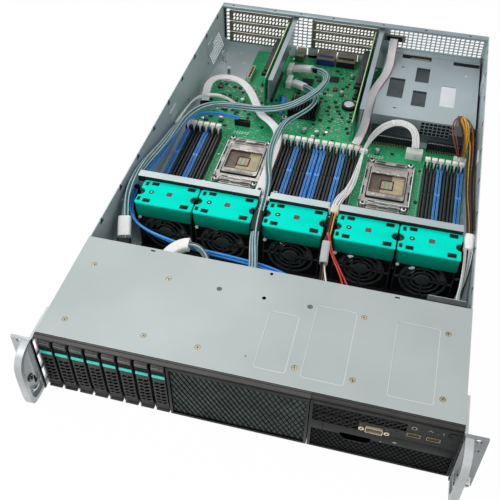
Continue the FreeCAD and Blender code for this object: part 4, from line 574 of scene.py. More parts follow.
# cables: the routes' points, then strands laid along each one's smooth line
routes = {
    "driveCableLeft": [(-186, 131.2, 42), (-187, 148, 45), (-192, 172, 52), (-201, 200, 63), (-210, 232, 73),
                       (-211, 268, 76),
                       (-210, 306, 71), (-207, 356, 58), (-205, 404, 50), (-200, 450, 46), (-180, 486, 41),
                       (-143, 499, 37),
                       (-104, 501, 35), (-68, 511, 37), (-42, 533, 42), (-22, 564, 45), (-17, 596, 43),
                       (-28, 624, 36),
                       (-52, 643, 26), (-81.3, 651, 16.5)],
    "driveCableMiddle": [(-24, 130.8, 58), (-25, 146, 60), (-29, 168, 67), (-36, 196, 76), (-38.5, 228, 79.5),
                         (-38.5, 262, 80),
                         (-42, 298, 76), (-54, 346, 62), (-62, 396, 49), (-63.5, 446, 39), (-60, 482, 33),
                         (-47, 506, 30),
                         (-31, 530, 29.5), (-25, 556, 30), (-37, 580, 27), (-55, 597, 21), (-73.8, 610.5, 16)],
    "driveCableLoop": [(-134, 131.2, 53.7), (-134, 148, 59), (-126.5, 162.5, 66), (-113, 171, 71.5), (-97.5, 171, 73),
                       (-84.5, 162.5, 70), (-77.5, 148, 63), (-77, 131.2, 56.7)],
    "bluePair": [(66, 133, 50), (40, 153, 54), (0, 170, 57), (-50, 175, 58), (-100, 178, 57.5), (-146, 186, 58),
                 (-178, 198, 57),
                 (-199, 215, 56), (-208, 240, 58), (-211, 270, 58), (-210, 304, 54), (-208, 352, 43), (-206, 404, 38),
                 (-203, 446, 37.5), (-184, 475, 34), (-156, 488, 26), (-134, 491.5, 20.4)],
    "ribbonLeft": [(-198, 525, 18.3), (-200.5, 540, 26), (-200.5, 557, 31), (-193, 573, 31.5), (-178, 583, 29),
                   (-160, 583, 26.5),
                   (-144, 573, 25), (-131, 557, 24), (-118, 534, 23), (-104, 506.5, 22.2), (-84, 492, 22.5),
                   (-68, 473, 22.5),
                   (-62.5, 444, 22), (-62.5, 404, 22.5), (-63, 364, 21.5), (-64.5, 332, 18)],
    "ribbonRight": [(72, 709.8, 63), (72, 694, 60), (72.5, 674, 54), (73, 650, 48.5), (70, 624, 46.2),
                    (63, 598, 46.6),
                    (56.3, 569, 44.3), (56.3, 536, 36), (55.5, 508, 29), (52, 488, 22.5), (48.5, 475, 18.6)],
    "centreLead": [(134, 478, 26), (133.5, 491, 36), (123, 506, 42), (104, 512, 43), (85, 504, 39), (71, 485, 34),
                   (63.5, 454, 32),
                   (61.5, 412, 36), (60.5, 366, 48), (58, 318, 66), (50, 284, 78), (48.5, 254, 79.8), (48.5, 224, 76),
                   (49.5, 194, 69), (53, 164, 63), (54, 130.4, 59)],
    "sideLead": [(208.5, 521.2, 35), (210, 503, 38), (211.3, 482, 42), (211.3, 456, 44.5), (210.5, 414, 44.5),
                 (210.5, 358, 53),
                 (211, 306, 68), (211.5, 266, 77), (211, 238, 76), (209.5, 204, 69), (204, 172, 58), (201, 146, 48),
                 (200.5, 129.5, 44)],
    "redOne": [(49, 226, 78), (52, 208, 73), (64, 188, 67), (75, 170, 63), (81, 152, 60), (82, 134, 57)],
    "redTwo": [(50, 226, 77), (55, 206, 71), (70, 184, 64), (82, 166, 61), (89, 150, 59), (90, 134, 56)],
    "whiteOne": [(47, 226, 77), (46, 206, 72), (51, 184, 67), (57, 166, 64), (62, 150, 61), (63, 134, 58)],
    "brownOne": [(190, 540, 48), (184, 528, 52), (180.5, 512, 52), (183, 496, 44), (191, 483, 32), (195, 478, 23)],
    "brownTwo": [(192, 540, 49), (187, 527, 54), (184, 511, 54), (187, 495, 46), (194, 482, 33), (197, 478, 23)],
    "yellowOne": [(194, 540, 48), (196, 528, 54), (199, 513, 55), (203, 497, 48), (203, 484, 35), (202, 478, 23)],
    "yellowTwo": [(196, 540, 48), (199, 527, 53), (203, 512, 53), (206, 496, 46), (205, 484, 34), (204, 478, 23)],
    "brownThree": [(198, 540, 47), (204, 529, 51), (209, 512, 50), (212, 490, 47), (213, 462, 46), (212.5, 430, 47)],
    "blackOne": [(200, 540, 46), (207, 527, 48), (212, 508, 47), (214, 486, 44), (214, 458, 43), (213.5, 430, 45)],
    "greyLead": [(-212, 430, 42), (-208, 470, 44), (-203, 500, 40), (-193, 520, 33), (-178, 532, 27), (-160, 536, 20),
                 (-150, 536, 12)],
    "blueStrap": [(-84, 560, 12), (-82, 556, 26), (-76, 546, 31), (-75, 536, 28), (-77, 531, 12)],
    "wallWire": [(214.6, 508, 52), (215.6, 470, 56), (215.8, 420, 56), (215.8, 360, 62), (215.8, 310, 72),
                 (215.6, 272, 80)],
    "powerLoom": [(191, 541, 47.6), (193, 526, 49), (197, 510, 50), (200, 495, 44), (200.5, 483.5, 34),
                  (199.5, 477, 25)],
}


def smoothLine(name):  # points of the route's own spline
    curve = bpy.data.curves.new(name, "CURVE")
    curve.dimensions = "3D"
    curve.resolution_u = 7
    line = curve.splines.new("NURBS")
    line.points.add(len(routes[name]) - 1)
    for point, place in zip(line.points, routes[name]):
        point.co = (*spot(*place), 1.0)
    line.order_u = 3
    line.use_endpoint_u = True
    holder = showObject(name, curve)
    mesh = bpy.data.meshes.new_from_object(holder)
    points = [vert.co.copy() for vert in mesh.vertices]
    bpy.data.objects.remove(holder)
    bpy.data.curves.remove(curve)
    bpy.data.meshes.remove(mesh)
    return points


def headings(points):  # sideways and upward at each point
    ways = []
    for i in range(len(points)):
        way = (points[min(len(points) - 1, i + 1)] - points[max(0, i - 1)]).normalized()
        side = way.cross(Vector((0, 0, 1))).normalized()
        ways.append((side, side.cross(way)))
    return ways


def addStrand(curve, points, strand, spin, sway):  # one wire beside the line
    across, over, radius, paint = strand
    wire = curve.splines.new("POLY")
    wire.points.add(len(points) - 1)
    wire.material_index = paint
    run = 0.0
    for i, (point, (side, top)) in enumerate(zip(points, headings(points))):
        run += (point - points[i - 1]).length if i else 0.0
        turn = spin * run / mm
        shift = sway * math.sin(0.045 * run / mm + across * 3.1 + over)
        a = across * math.cos(turn) - over * math.sin(turn)
        b = across * math.sin(turn) + over * math.cos(turn) + shift
        wire.points[i].co = (*(point + side * (a * mm) + top * (b * mm)), 1.0)
        wire.points[i].radius = radius


def layCable(name, strands, names, slot, nodes=(), part=(0.0, 1.0), spin=0.0, sway=0.0):
    points = smoothLine(name)
    first, last = (round(share * (len(points) - 1)) for share in part)
    label = name if part == (0.0, 1.0) else name + "Part%d" % first
    curve = bpy.data.curves.new(label, "CURVE")
    curve.dimensions = "3D"
    curve.bevel_depth = mm
    curve.bevel_resolution = 2
    curve.use_fill_caps = True
    for finish in names.split():
        curve.materials.append(paints[finish])
    for strand in strands:
        addStrand(curve, points[first:last + 1], strand, spin, sway)
    holder = showObject(label, curve)
    bm = bmesh.new()
    bm.from_mesh(bpy.data.meshes.new_from_object(holder))
    bpy.data.objects.remove(holder)
    bpy.data.curves.remove(curve)
    finishPiece(label, bm, fixed, names, nodes, sharp=60)
    linesOf[name] = points


def rowOf(count, pitch, over, radius, order):  # wires side by side
    return [((i - (count - 1) / 2) * pitch, over, radius, order[i % len(order)]) for i in range(count)]


bundles = {
    "drive": (rowOf(5, 1.75, 1.9, 0.95, [0, 2, 0, 1, 0]) + rowOf(5, 1.75, -0.2, 0.95, [1, 0, 2, 0, 1])
              + rowOf(5, 1.75, -2.3, 0.95, [0, 1, 0, 2, 0])),
    "loop": (rowOf(4, 1.7, 1.9, 0.95, [0, 2, 0, 1]) + rowOf(4, 1.7, 0.0, 0.95, [1, 0, 2, 0])
             + rowOf(4, 1.7, -1.9, 0.95, [0, 1, 0, 2])),
    "pair": rowOf(2, 3.4, 0.0, 1.6, [0]),
    "ribbon": rowOf(13, 1.0, 0.0, 0.5, [1] + [0] * 12),
    "lead": rowOf(5, 2.15, 0.6, 0.85, [0]) + rowOf(2, 4.3, -1.2, 0.85, [0]),
    "leadEnd": rowOf(4, 1.6, 0.9, 0.8, [1, 2, 3, 2]) + rowOf(4, 1.6, -0.9, 0.8, [2, 3, 1, 2]),
    "wall": rowOf(6, 1.9, 1.2, 0.9, [2, 2, 3, 2, 1, 2]) + rowOf(5, 1.9, -0.6, 0.9, [2, 1, 2, 2, 2]),
    "tail": rowOf(6, 2.3, 1.0, 0.8, [0, 5, 0, 2, 0, 5]) + rowOf(4, 2.3, -0.8, 0.8, [0, 2, 5, 0]),
    "loom": rowOf(4, 2.0, 1.4, 0.9, [3, 1, 1, 3]) + rowOf(4, 2.0, -0.6, 0.9, [1, 2, 3, 2]),
    "grey": rowOf(3, 1.6, 0.0, 0.85, [0]),
    "strap": rowOf(3, 1.8, 0.0, 1.0, [0]),
    "single": [(0.0, 0.0, 1.05, 0)],
}
tealSet = "wireTeal wireSlate wirePlum"
wireSet = "wireWhite wireYellow wireBlack wireBrown wireRed tapeGrey"
sleeve, flat, power = "cable_sleeve", "ribbon_plastic", "lead_plastic"
cables = (
    ("driveCableLeft", "drive", tealSet, sleeve, {"nodes": ("data_cables",), "spin": 0.012}),
    ("driveCableMiddle", "drive", tealSet, sleeve, {"spin": 0.01}),
    ("driveCableLoop", "loop", tealSet, sleeve, {"spin": 0.02}),
    ("bluePair", "pair", "wireBlue", sleeve, {"spin": 0.008}),
    ("ribbonLeft", "ribbon", "ribbonGrey ribbonPink", flat, {"nodes": ("ribbon_cables",)}),
    ("ribbonRight", "ribbon", "ribbonGrey ribbonPink", flat, {}),
    ("centreLead", "lead", wireSet, power, {"nodes": ("power_cables",), "part": (0.0, 0.74), "spin": 0.012,
                                            "sway": 0.9}),
    ("centreLead", "leadEnd", wireSet, power, {"part": (0.74, 1.0), "spin": 0.01, "sway": 0.5}),
    ("sideLead", "wall", wireSet, power, {"part": (0.0, 0.6), "spin": 0.003, "sway": 0.5}),
    ("sideLead", "tail", wireSet, power, {"part": (0.6, 1.0), "spin": 0.02, "sway": 0.9}),
    ("powerLoom", "loom", wireSet, power, {"spin": 0.02, "sway": 0.4}),
    ("greyLead", "grey", "ribbonGrey", power, {"spin": 0.02}),
    ("blueStrap", "strap", "wireSky", sleeve, {}),
)
singleWires = (("redOne", "wireRed"), ("redTwo", "wireRed"), ("whiteOne", "wireWhite"), ("wallWire", "wireBlack"),
               ("brownOne", "wireBrown"), ("brownTwo", "wireBrown"), ("brownThree", "wireBrown"),
               ("blackOne", "wireBlack"), ("yellowOne", "wireYellow"), ("yellowTwo", "wireYellow"))
linesOf = {}
for route, bundle, finish, slot, extras in cables:
    layCable(route, bundles[bundle], finish, slot, **extras)
for route, finish in singleWires:
    layCable(route, bundles["single"], finish, power, sway=0.4)


def stretchOf(name, near, far):  # the first run of a cable between two depths
    run = []
    for point in linesOf[name]:
        if near * mm <= point.y - coverFront <= far * mm:
            run.append(point)
        elif run:
            break
    return run


def addSleeve(bm, points, wide, thick, paint):  # a wrap around a length of cable
    outline = roundedBox(-wide / 2, -thick / 2, wide / 2, thick / 2, thick * 0.3, 3)
    rings = []
    for point, (side, top) in zip(points, headings(points)):
        rings.append([bm.verts.new(point + side * (a * mm) + top * (b * mm)) for a, b in outline])
    faces = [bm.faces.new(rings[0]), bm.faces.new(rings[-1])]
    for first, second in zip(rings, rings[1:]):
        for i in range(len(outline)):
            faces.append(bm.faces.new((first[i - 1], first[i], second[i], second[i - 1])))
    bmesh.ops.recalc_face_normals(bm, faces=faces)
    for face in faces:
        face.material_index = paint


wraps = {
    "sleeves": (("driveCableLeft", 178, 204, 16.0, 11.0, 0), ("driveCableLeft", 166, 178, 17.0, 11.6, 1),
                ("driveCableLoop", 147, 171, 16.5, 11.0, 0), ("driveCableLoop", 133, 147, 17.2, 11.6, 1),
                ("driveCableMiddle", 206, 238, 11.5, 8.6, 1), ("centreLead", 184, 214, 10.0, 9.0, 2),
                ("centreLead", 256, 272, 11.0, 8.0, 3), ("sideLead", 238, 266, 11.0, 9.0, 0),
                ("greyLead", 516, 533, 6.0, 4.0, 0)),
    "ends": (("driveCableLeft", 6, 0, 13.0, 9.5, 0), ("driveCableMiddle", 6, 0, 13.0, 9.5, 0),
             ("driveCableLeft", 9, 6, 10.5, 8.0, 1)),
    "ties": (("centreLead", 0.2), ("centreLead", 0.4)), "tie": (11.4, 5.6), "ribbons": ("ribbonLeft", "ribbonRight"),
    "ribbon": (12.6, 0.75)}


def makeWraps():
    bm = bmesh.new()
    for name, near, far, wide, thick, paint in wraps["sleeves"]:
        addSleeve(bm, stretchOf(name, near, far), wide, thick, paint)
    for name, first, last, wide, thick, paint in wraps["ends"]:  # wraps by the plugs on the board
        addSleeve(bm, linesOf[name][-first:][:first - last], wide, thick, paint)
    for name, share in wraps["ties"]:  # short straps round the white lead
        first = round(share * (len(linesOf[name]) - 1))
        addSleeve(bm, linesOf[name][first:first + 2], *wraps["tie"], 0)
    for name in wraps["ribbons"]:  # clear film over the wires
        addSleeve(bm, linesOf[name], *wraps["ribbon"], 5)
    addBox(bm, (171, 150, 66), (214, 157.4, 80), 4, 0.6)  # plug bar behind the cover
    addBox(bm, (172, 156.5, 79.9), (213, 157.2, 80.25), 2, 0.1)
    finishPiece("cableWraps", bm, fixed, "wireWhite plugBlack tapeGrey plugIvory contactGrey ribbonGrey")


makeWraps()
print("cables laid")


# front cover and its countersunk screws
coverScrews = {"x": (196, 108.5, 50.3), "y": (22.2, 102.2), "top": 87.28, "radius": 2.7, "slot": 3.2, "slotWide": 0.7,
               "dark": (50.3, 102.2)}
dress("front_cover", "coverSteel")


def makeCoverScrews():
    bm = bmesh.new()
    top, radius = coverScrews["top"], coverScrews["radius"]
    for x in coverScrews["x"]:
        for side in (-1, 1):
            for y in coverScrews["y"]:
                addLathe(bm, (side * x, y, top - 1.4),
                         [(0, 0), (1.6, 0), (radius, 1.25), (radius - 0.2, 1.4), (0, 1.3)],
                         paint=3 if (x, y) == coverScrews["dark"] else 0, sides=18)
                turn = dice.uniform(0, math.pi / 2)
                for quarter in (0, math.pi / 2):
                    along = Matrix.Translation((side * x, y, top - 0.1)) @ Matrix.Rotation(turn + quarter, 4, "Z")
                    bar = along @ Matrix.Diagonal((coverScrews["slot"], coverScrews["slotWide"], 0.16, 1.0))
                    settle(bm, bmesh.ops.create_cube(bm, size=1.0, matrix=bar)["verts"], "xy", 1)
                # a thin dark ring round each head: painted shade in the countersink gap
                addRim(bm, "xy", circle(side * x, y, radius + 0.45, 18), circle(side * x, y, radius, 18),
                       top - 0.1, 0.09, 2)
    finishPiece("coverScrewHeads", bm, fixed, "boltBrass boltDark recessBlack earDark",
                ("cover_screws",))


makeCoverScrews()

# bezel lip and centre grille
lip = {"left": -219, "seam": 72.6, "right": 219, "seamGap": 0.5,
       "profile": [(0, 87.2), (-3.6, 87.1), (-5.4, 86.7), (-6.6, 85.9), (-7, 85.0), (-6.5, 84.5), (-5.2, 84.5),
                   (-5.2, 84.1), (-6.0, 84.0), (-6.0, 83.5), (-4.6, 83.4), (-4.6, 82.9), (0, 82.9)],
       "grooves": ((-0.9, -0.3, 87.22), (-3.4, -2.6, 87.14), (-6.85, -6.0, 85.75)), "grooveDeep": 0.3}
grille = {"left": -74.9, "right": 72.3, "low": 1, "high": 82.6, "face": -8.4, "back": -1.6, "rim": 3.0, "beam": 2.4,
          "cells": (23, 7), "web": 1.5}


def makeBezel():
    bm = bmesh.new()
    addPrism(bm, "yz", lip["profile"], lip["left"], lip["seam"] - lip["left"], 0)
    addPrism(bm, "yz", lip["profile"], lip["seam"] + lip["seamGap"], lip["right"] - lip["seam"] - lip["seamGap"], 1)
    for near, far, top in lip["grooves"]:  # grooves along the lip, black as painted shade
        addBox(bm, (lip["left"], near, top - lip["grooveDeep"]), (lip["right"], far, top), 4)
    left, right, low, high, face, back, rim = pick(grille, "left right low high face back rim")
    a, b, under = left + rim, right - rim, high - grille["beam"]
    addPlates(bm, face, back, 1, ((left, low, a, high), (b, low, right, high), (a, low, b, low + rim),
                                  (a, under, b, high)), 0.5)
    addLattice(bm, (a, low + rim), (b, under), grille["cells"], grille["web"], face + 0.5, 1.5, 2)
    addBox(bm, (a, face + 2.6, low + rim), (b, face + 3.2, under), 3)
    finishPiece("bezelAndGrille", bm, fixed, "lipPlastic panelCharcoal meshBlack meshBacking recessBlack",
                ("front_bezel",))


makeBezel()

# drive carriers and their levers
carrier = {"count": 8, "left": -216.425, "pitch": 17.75, "wide": 16.2, "face": -8, "foot": 2.4, "back": 5.6,
           "rail": 1.0, "railEnd": 104, "strip": (61.9, 65.9), "bar": (73.2, 82.2), "gap": 1.2, "lip": (0.5, 2.5),
           "railHoles": (24, 58, 92)}
lever = {"side": 1.0, "low": 3.3, "high": 61.3, "holesLow": 13.5, "holesHigh": 55.5, "rows": 7, "face": -7.9,
         "thick": 1.3, "margin": 1.8, "web": 1.1, "bar": 1.6, "slant": 0.62, "bend": 2.6, "bendFrom": 28.0,
         "bulge": 0.7}


def shapeLever(bm, middle, half):  # rounded across and curled back at its foot
    for vert in bm.verts:
        z = vert.co.z / mm
        vert.co.y += lever["bulge"] * mm * ((vert.co.x / mm - middle) / half) ** 2
        if z < lever["bendFrom"]:
            share = (lever["bendFrom"] - z) / (lever["bendFrom"] - lever["low"])
            vert.co.y += lever["bend"] * mm * share ** 2


def makeCarrier(number):
    body = "drive_carrier_%d" % number
    face, foot, back, gap, wide, rail, end = pick(carrier, "face foot back gap wide rail railEnd")
    x = carrier["left"] + (number - 1) * carrier["pitch"]
    right = x + wide
    low, high = carrier["bar"]
    stripLow, stripHigh = carrier["strip"]
    bm = bmesh.new()
    addPrism(bm, "yz", [(face + 0.4, low + 0.8), (face, low + 2.4), (face - 0.15, high - 3.4),
                        (face + 0.5, high - 1.2), (face + 2.2, high), (face + 6, high), (face + 6, low),
                        (face + 1.4, low)], x + gap, wide - 2 * gap, 1, 0.3)
    # a lighter ridge on the bar: painted highlight
    addBox(bm, (x + gap + 0.5, face - 0.28, high - 4.0), (right - gap - 0.5, face + 0.2, high - 2.6), 5, 0.12)
    # the black boxes here are painted shade in the gaps and behind the face parts
    addBox(bm, (x + 10.6, face - 0.1, low + 1.6), (x + 10.9, face + 0.4, high - 0.8), 3)
    addBox(bm, (x, face + 5, stripHigh), (right, back, high - 0.4), 3)
    addPrism(bm, "yz", [(face, stripLow), (face - 0.3, stripLow + 0.8), (face - 0.3, stripHigh - 0.8),
                        (face + 0.3, stripHigh), (face + 1.1, stripHigh), (face + 1.1, stripLow)],
             x + gap, wide - 2 * gap, 2, 0.2)
    addBox(bm, (x + 0.3, face + 1.1, stripLow), (right - 0.3, face + 5.2, low), 3)
    addBox(bm, (x + 0.3, -1.1, foot), (right - 0.3, back, stripLow), 3)
    addBox(bm, (x + 0.7, face - 0.1, carrier["lip"][0]), (right - 0.7, back, carrier["lip"][1]), 0, 0.5)
    for edge in (x, right - 0.7):
        addBox(bm, (edge, -3.4, foot), (edge + 0.7, -2.2, stripLow), 3)
        addBox(bm, (edge, -6.6, foot), (edge + 0.7, -2.2, 9.4), 0, 0.2)
    for edge in (x, right - rail):
        addBox(bm, (edge, back, 8), (edge + rail, end, 70), 4, 0.3)
        for y in carrier["railHoles"]:
            addRod(bm, (edge - 0.05, y, 16), 1.8, rail + 0.1, "x", 3, 12)
    addBox(bm, (x, end - 3, 8), (right, end, 22), 4, 0.3)
    finishPiece("carrierBody%d" % number, bm, body,
                "frontCharcoal barGrey tealPlastic recessBlack bracketSteel leverGrey", (body,))
    makeLever("carrier_lever_%d" % number, "carrierLever%d" % number, x + lever["side"], right - lever["side"])


def makeLever(body, name, a, b):
    bm = bmesh.new()
    face, low, high, holesLow, holesHigh = pick(lever, "face low high holesLow holesHigh")
    middle = (a + b) / 2
    rows, web, margin = pick(lever, "rows web margin")
    pitch = (holesHigh - holesLow) / rows
    across = [a, a + margin, middle - web / 2, middle + web / 2, b - margin, b]
    steps = 5
    upward = [low + i * (holesLow - low) / steps for i in range(steps)]
    holes = set()
    for row in range(rows):
        base = holesLow + row * pitch
        holes |= {(1, len(upward)), (3, len(upward))}
        upward += [base, base + pitch - lever["bar"]]
    upward += [holesHigh, high]
    addPerforated(bm, "xz", across, upward, holes, face, lever["thick"], lever["slant"])
    # a black sheet behind the holes: painted shade
    addBox(bm, (a + 0.5, face + 2.6, holesLow), (b - 0.5, face + 3.2, holesHigh), 1)
    for edge in (a + 0.1, b - 0.9):
        addBox(bm, (edge, face + 0.6, 12), (edge + 0.8, face + 3.6, high - 0.2), 0)
    shapeLever(bm, middle, (b - a) / 2)
    addRod(bm, (a, -4.8, 6.5), 2.4, b - a, "x", 0, 16)
    finishPiece(name, bm, body, "leverCharcoal voidBlack", (body,), edge=0.22)


for number in range(1, carrier["count"] + 1):
    makeCarrier(number)
print("carriers made")

# input panel on the right
panel = {"left": 73.0, "right": 218.8, "low": 1.2, "face": -8.4, "mid": -6.4, "back": -1.6,
         "edges": ((73, 1.2, 76.2, 82.4), (216.2, 1.2, 218.8, 36.4), (76.2, 1.2, 216.2, 3.6)),
         "bars": ((76.2, 80.2, 218.8, 82.4), (76.2, 36.4, 87.3, 50.5), (216.7, 36.4, 218.8, 50.5)),
         "plates": ((167, 70.2, 204.9, 80.2), (215.1, 69.6, 218.8, 80.2), (122, 50.6, 126.3, 66.6),
                    (165, 66.6, 167, 70.2), (205, 50.6, 218.8, 69.6)), "key": (210, 75.5), "ring": (174, 75.5),
         "postZ": 55.6, "notch": [(105.6, 36.4), (110.6, 28.8), (131.6, 28.8), (135.6, 36.4)],
         "prints": ((188.6, 76.4, 1.6), (190.6, 75.2, 0.8), (187.2, 74.8, 0.7), (200.6, 76.6, 1.1),
                    (201.4, 74.2, 0.7), (196.2, 73.4, 0.6)),
         "ovals": ((180.5, 75.9), (195.4, 75.6), (158.6, 63.4), (212.4, 60.4)), "oval": (1.9, 0.8)}
sockets = {"video": (137.3, 57.5, 17, 8.4), "usbFirst": (174.8, 63, 13.1, 5.7), "usbSecond": (193.6, 63, 13.1, 5.7)}


def plateWithGap(bm, x0, x1, z0, z1, gap):  # front plate round one socket
    cx, cz, wide, tall = gap
    a, b = cx - wide / 2, cx + wide / 2
    addPlates(bm, panel["face"], panel["mid"], 0, ((x0, z0, a, z1), (b, z0, x1, z1), (a, z0, b, cz - tall / 2),
                                                   (a, cz + tall / 2, b, z1)))


def addSocket(bm, face, place, video):  # metal shell with pins, its inside black as painted shade
    cx, cz, wide, tall = place
    a, b, c, d = cx - wide / 2, cz - tall / 2, cx + wide / 2, cz + tall / 2
    addRim(bm, "xz", roundedBox(a, b, c, d, 1.2 if video else 0.3),
           roundedBox(a + 0.6, b + 0.6, c - 0.6, d - 0.6, 0.9 if video else 0.2),
           face - (2.4 if video else 0.6), 8, 11 if video else 3)
    addBox(bm, (a + 0.6, face + 1.4, b + 0.6), (c - 0.6, face + 6, d - 0.6), 12)
    addBox(bm, (a + 1.4, face - 0.2, cz - 1.0), (c - 1.4, face + 1.6, cz + 0.9), 5)
    pins = 5 if video else 4
    for k in range(pins):
        pin = a + 1.8 + k * (wide - 4) / (pins - 1)
        addBox(bm, (pin, face - 0.3, cz - 0.5), (pin + 0.5, face, cz + 0.3), 6)


def makePanel():
    bm = bmesh.new()
    left, right, low, face, mid, back = pick(panel, "left right low face mid back")
    inner = left + 3.2
    addPlates(bm, face, back, 0, panel["edges"], 0.4)
    addPlates(bm, face, back, 0, panel["bars"], 0.3)
    addPlates(bm, face, mid, 0, panel["plates"])
    addBox(bm, (inner, face, 50.5), (122, back, 51.4), 0)
    addLattice(bm, (inner, 66.6), (167, 80.2), (12, 2), 1.4, face + 0.2, 1.6, 10)
    addLattice(bm, (inner, 51.4), (122, 66.6), (6, 2), 1.4, face + 0.2, 1.6, 10)
    # black sheets behind the grilles: painted shade
    addBox(bm, (inner, face + 4, 51.4), (167, face + 4.6, 80.2), 2)
    addRim(bm, "xz", roundedBox(204.9, 69.6, 215.1, 80.2, 0.02, 5), circle(*panel["key"], 4.75, 24, 0.5), face,
           mid - face, 0)
    plateWithGap(bm, 126.3, 165, 50.6, 66.6, sockets["video"])
    plateWithGap(bm, 165, 184.2, 50.6, 70.2, sockets["usbFirst"])
    plateWithGap(bm, 184.2, 205, 50.6, 70.2, sockets["usbSecond"])
    addLattice(bm, (inner, low + 2.4), (right - 2.6, 36.4), (25, 4), 1.2, face + 0.3, 1.3, 1)
    addBox(bm, (inner, face + 2.4, low + 2.4), (right - 2.6, face + 3.2, 36.4), 9)
    addPrism(bm, "xz", panel["notch"], face - 0.02, 1.2, 12)  # finger recess under the optical drive, flat black as painted shade
    addBox(bm, (109.6, face - 0.2, 27.6), (132.6, face + 1.2, 28.8), 0, 0.2)
    addBox(bm, (126.3, mid + 2.8, 51.4), (right, back, 80.2), 2)
    for name, place in sockets.items():
        addSocket(bm, face, place, name == "video")
    for side in (-1, 1):  # hex posts beside the video socket, each under a small block
        x = sockets["video"][0] + side * 12.4
        addRod(bm, (x, face - 0.9, panel["postZ"]), 3.0, 2.6, "y", 11, 6)
        addRod(bm, (x, face - 1.0, panel["postZ"]), 1.3, 0.4, "y", 2, 12)
        addBox(bm, (x - 2.0, face - 0.5, 60.4), (x + 2.0, face + 1, 64.6), 7, 0.3)
    x, z = panel["ring"]
    addLathe(bm, (x, face - 0.5, z), [(2.6, 0.6), (2.6, 0.1), (2.2, 0), (1.8, 0.1), (1.8, 0.6)], "y", 3, 20)
    addRod(bm, (x, face - 0.2, z), 1.8, 0.4, "y", 2, 16)
    for x, z, wide in panel["prints"]:
        addBox(bm, (x, face - 0.06, z), (x + wide, face + 0.1, z + 0.55), 8)
    wide, tall = panel["oval"]
    for x, z in panel["ovals"]:
        addPrism(bm, "xz", [(x + wide * a, z + tall * b) for a, b in circle(0, 0, 1, 14)], face - 0.05, 0.2, 2)
    addBox(bm, (77, -1.6, 36.2), (217.5, 126, 37.2), 0)
    finishPiece("inputPanel", bm, fixed, "panelCharcoal meshBlack recessBlack boltBrass boltChrome plugBlack pinGold "
                "frontCharcoal silkWhite ioBacking webGrey postCream voidBlack", ("io_panel",))
    bm = bmesh.new()
    x, z = panel["key"]
    addLathe(bm, (x, -9.2, z), [(0, 0.5), (2.6, 0.4), (3.5, 0.15), (4.1, 0), (4.35, 0.3), (4.35, 5.8), (0, 5.8)], "y",
             0, 28)
    finishPiece("powerKey", bm, "power_button", "plugBlack", ("power_button",))


makePanel()

# optical drive front and tray
tray = {"left": 87.6, "right": 216.4, "low": 37.6, "high": 50.1, "face": -9.0, "plateEnd": 122}


def makeTray():
    bm = bmesh.new()
    left, right, low, high, face = pick(tray, "left right low high face")
    scoop = [(105.4, low - 0.01), (104.6, low + 2.6), (136.6, low + 2.6), (135.8, low - 0.01)]
    addPrism(bm, "xz", [(left, low), *scoop, (right, low), (right, high), (left, high)], face, 3.4, 0, 0.3)
    addBox(bm, (left, face + 3.4, low), (right, 1.6, high), 0)
    addPrism(bm, "xz", [(105.4, low), (104.6, low + 2.6), (136.6, low + 2.6), (135.8, low)], face + 2.6, 0.8, 1)
    addBox(bm, (157.4, face - 0.06, 42.6), (161.0, face + 0.1, 43.6), 3)
    addBox(bm, (145.2, face - 0.06, 38.6), (146.5, face + 0.1, 39.5), 3)
    addPrism(bm, "xz", circle(180, 42.2, 0.7, 10), face - 0.04, 0.2, 1)
    addPrism(bm, "xz", roundedBox(165, 40.6, 175, 44.2, 1.4), face - 0.25, 0.5, 0)
    addBox(bm, (89.4, 1.6, 38.9), (214.6, tray["plateEnd"], 40.4), 2, 0.4)
    addRim(bm, "xy", circle(152, 63, 56, 40), circle(152, 63, 55, 40), 40.4, 0.4, 2)
    addLathe(bm, (152, 63, 40.4), [(0, 2.4), (5, 2.4), (6.5, 1.2), (12, 0.6), (12, 0)], "z", 1, 24)
    finishPiece("opticalTray", bm, "optical_tray", "panelCharcoal recessBlack plugBlack silkWhite",
                ("optical_tray",))
    dress("optical_drive", "caseSteel")


makeTray()
print("front panel made")

# fan rail, fan modules and rotors
fan = {"centres": (-157, -82, 5, 92, 167), "half": 36, "front": 222, "back": 256.5, "low": 2, "neck": 60, "high": 77,
       "axis": 31, "bore": 27.5, "plate": 3.0, "hub": 11, "blades": 7, "rotor": (228, 250), "bladeFrom": 10.6,
       "bladeLong": 15.6, "bladeThick": 0.9, "twist": (0.95, 0.25, 0.22)}
grip = {"half": 36.5, "front": 217, "back": 259.5, "low": 58, "top": 80, "plate": 2.4, "notch": 6.8, "wall": 2.0,
        "slots": ((-33.1, 7.9, 3.4, 6.0), (-31.2, 36.0, 3.4, 6.0), (-22.7, 6.2, 8.6, 5.6), (26.2, 5.8, 9.8, 6.4),
                  (-20.9, 37.6, 8.6, 5.2), (26.4, 37.8, 9.4, 5.6)), "badge": (2.0, 23.0, 3.6), "pivot": (-21.2, 22.1)}
guard = {"rings": ((28.4, 26.0), (20.6, 19.0), (14.2, 12.8)), "spoke": 1.15, "hub": 9.4, "arms": (34.5, 28.6),
         "reach": 1.2}
bay = {"front": 134, "back": 258, "sides": (-193, 214), "low": 1.3, "high": 1.9,
       "dividers": ((-44.9, -32.1), (42.1, 54.9)), "tall": 60, "ends": ((-217, -204), (204, 216.5)), "endTall": 66,
       "plugs": ((-51.5, -45.8, 272, 281, 68, 81), (-31.2, -26.0, 273, 280, 68, 80))}
trim = {"breaks": (-203, -45.5, -31.5, 41.5, 55.5, 203), "front": 259.62, "back": 260.6, "low": 76, "high": 84.7}
dress("fan_rail", "railSteel")


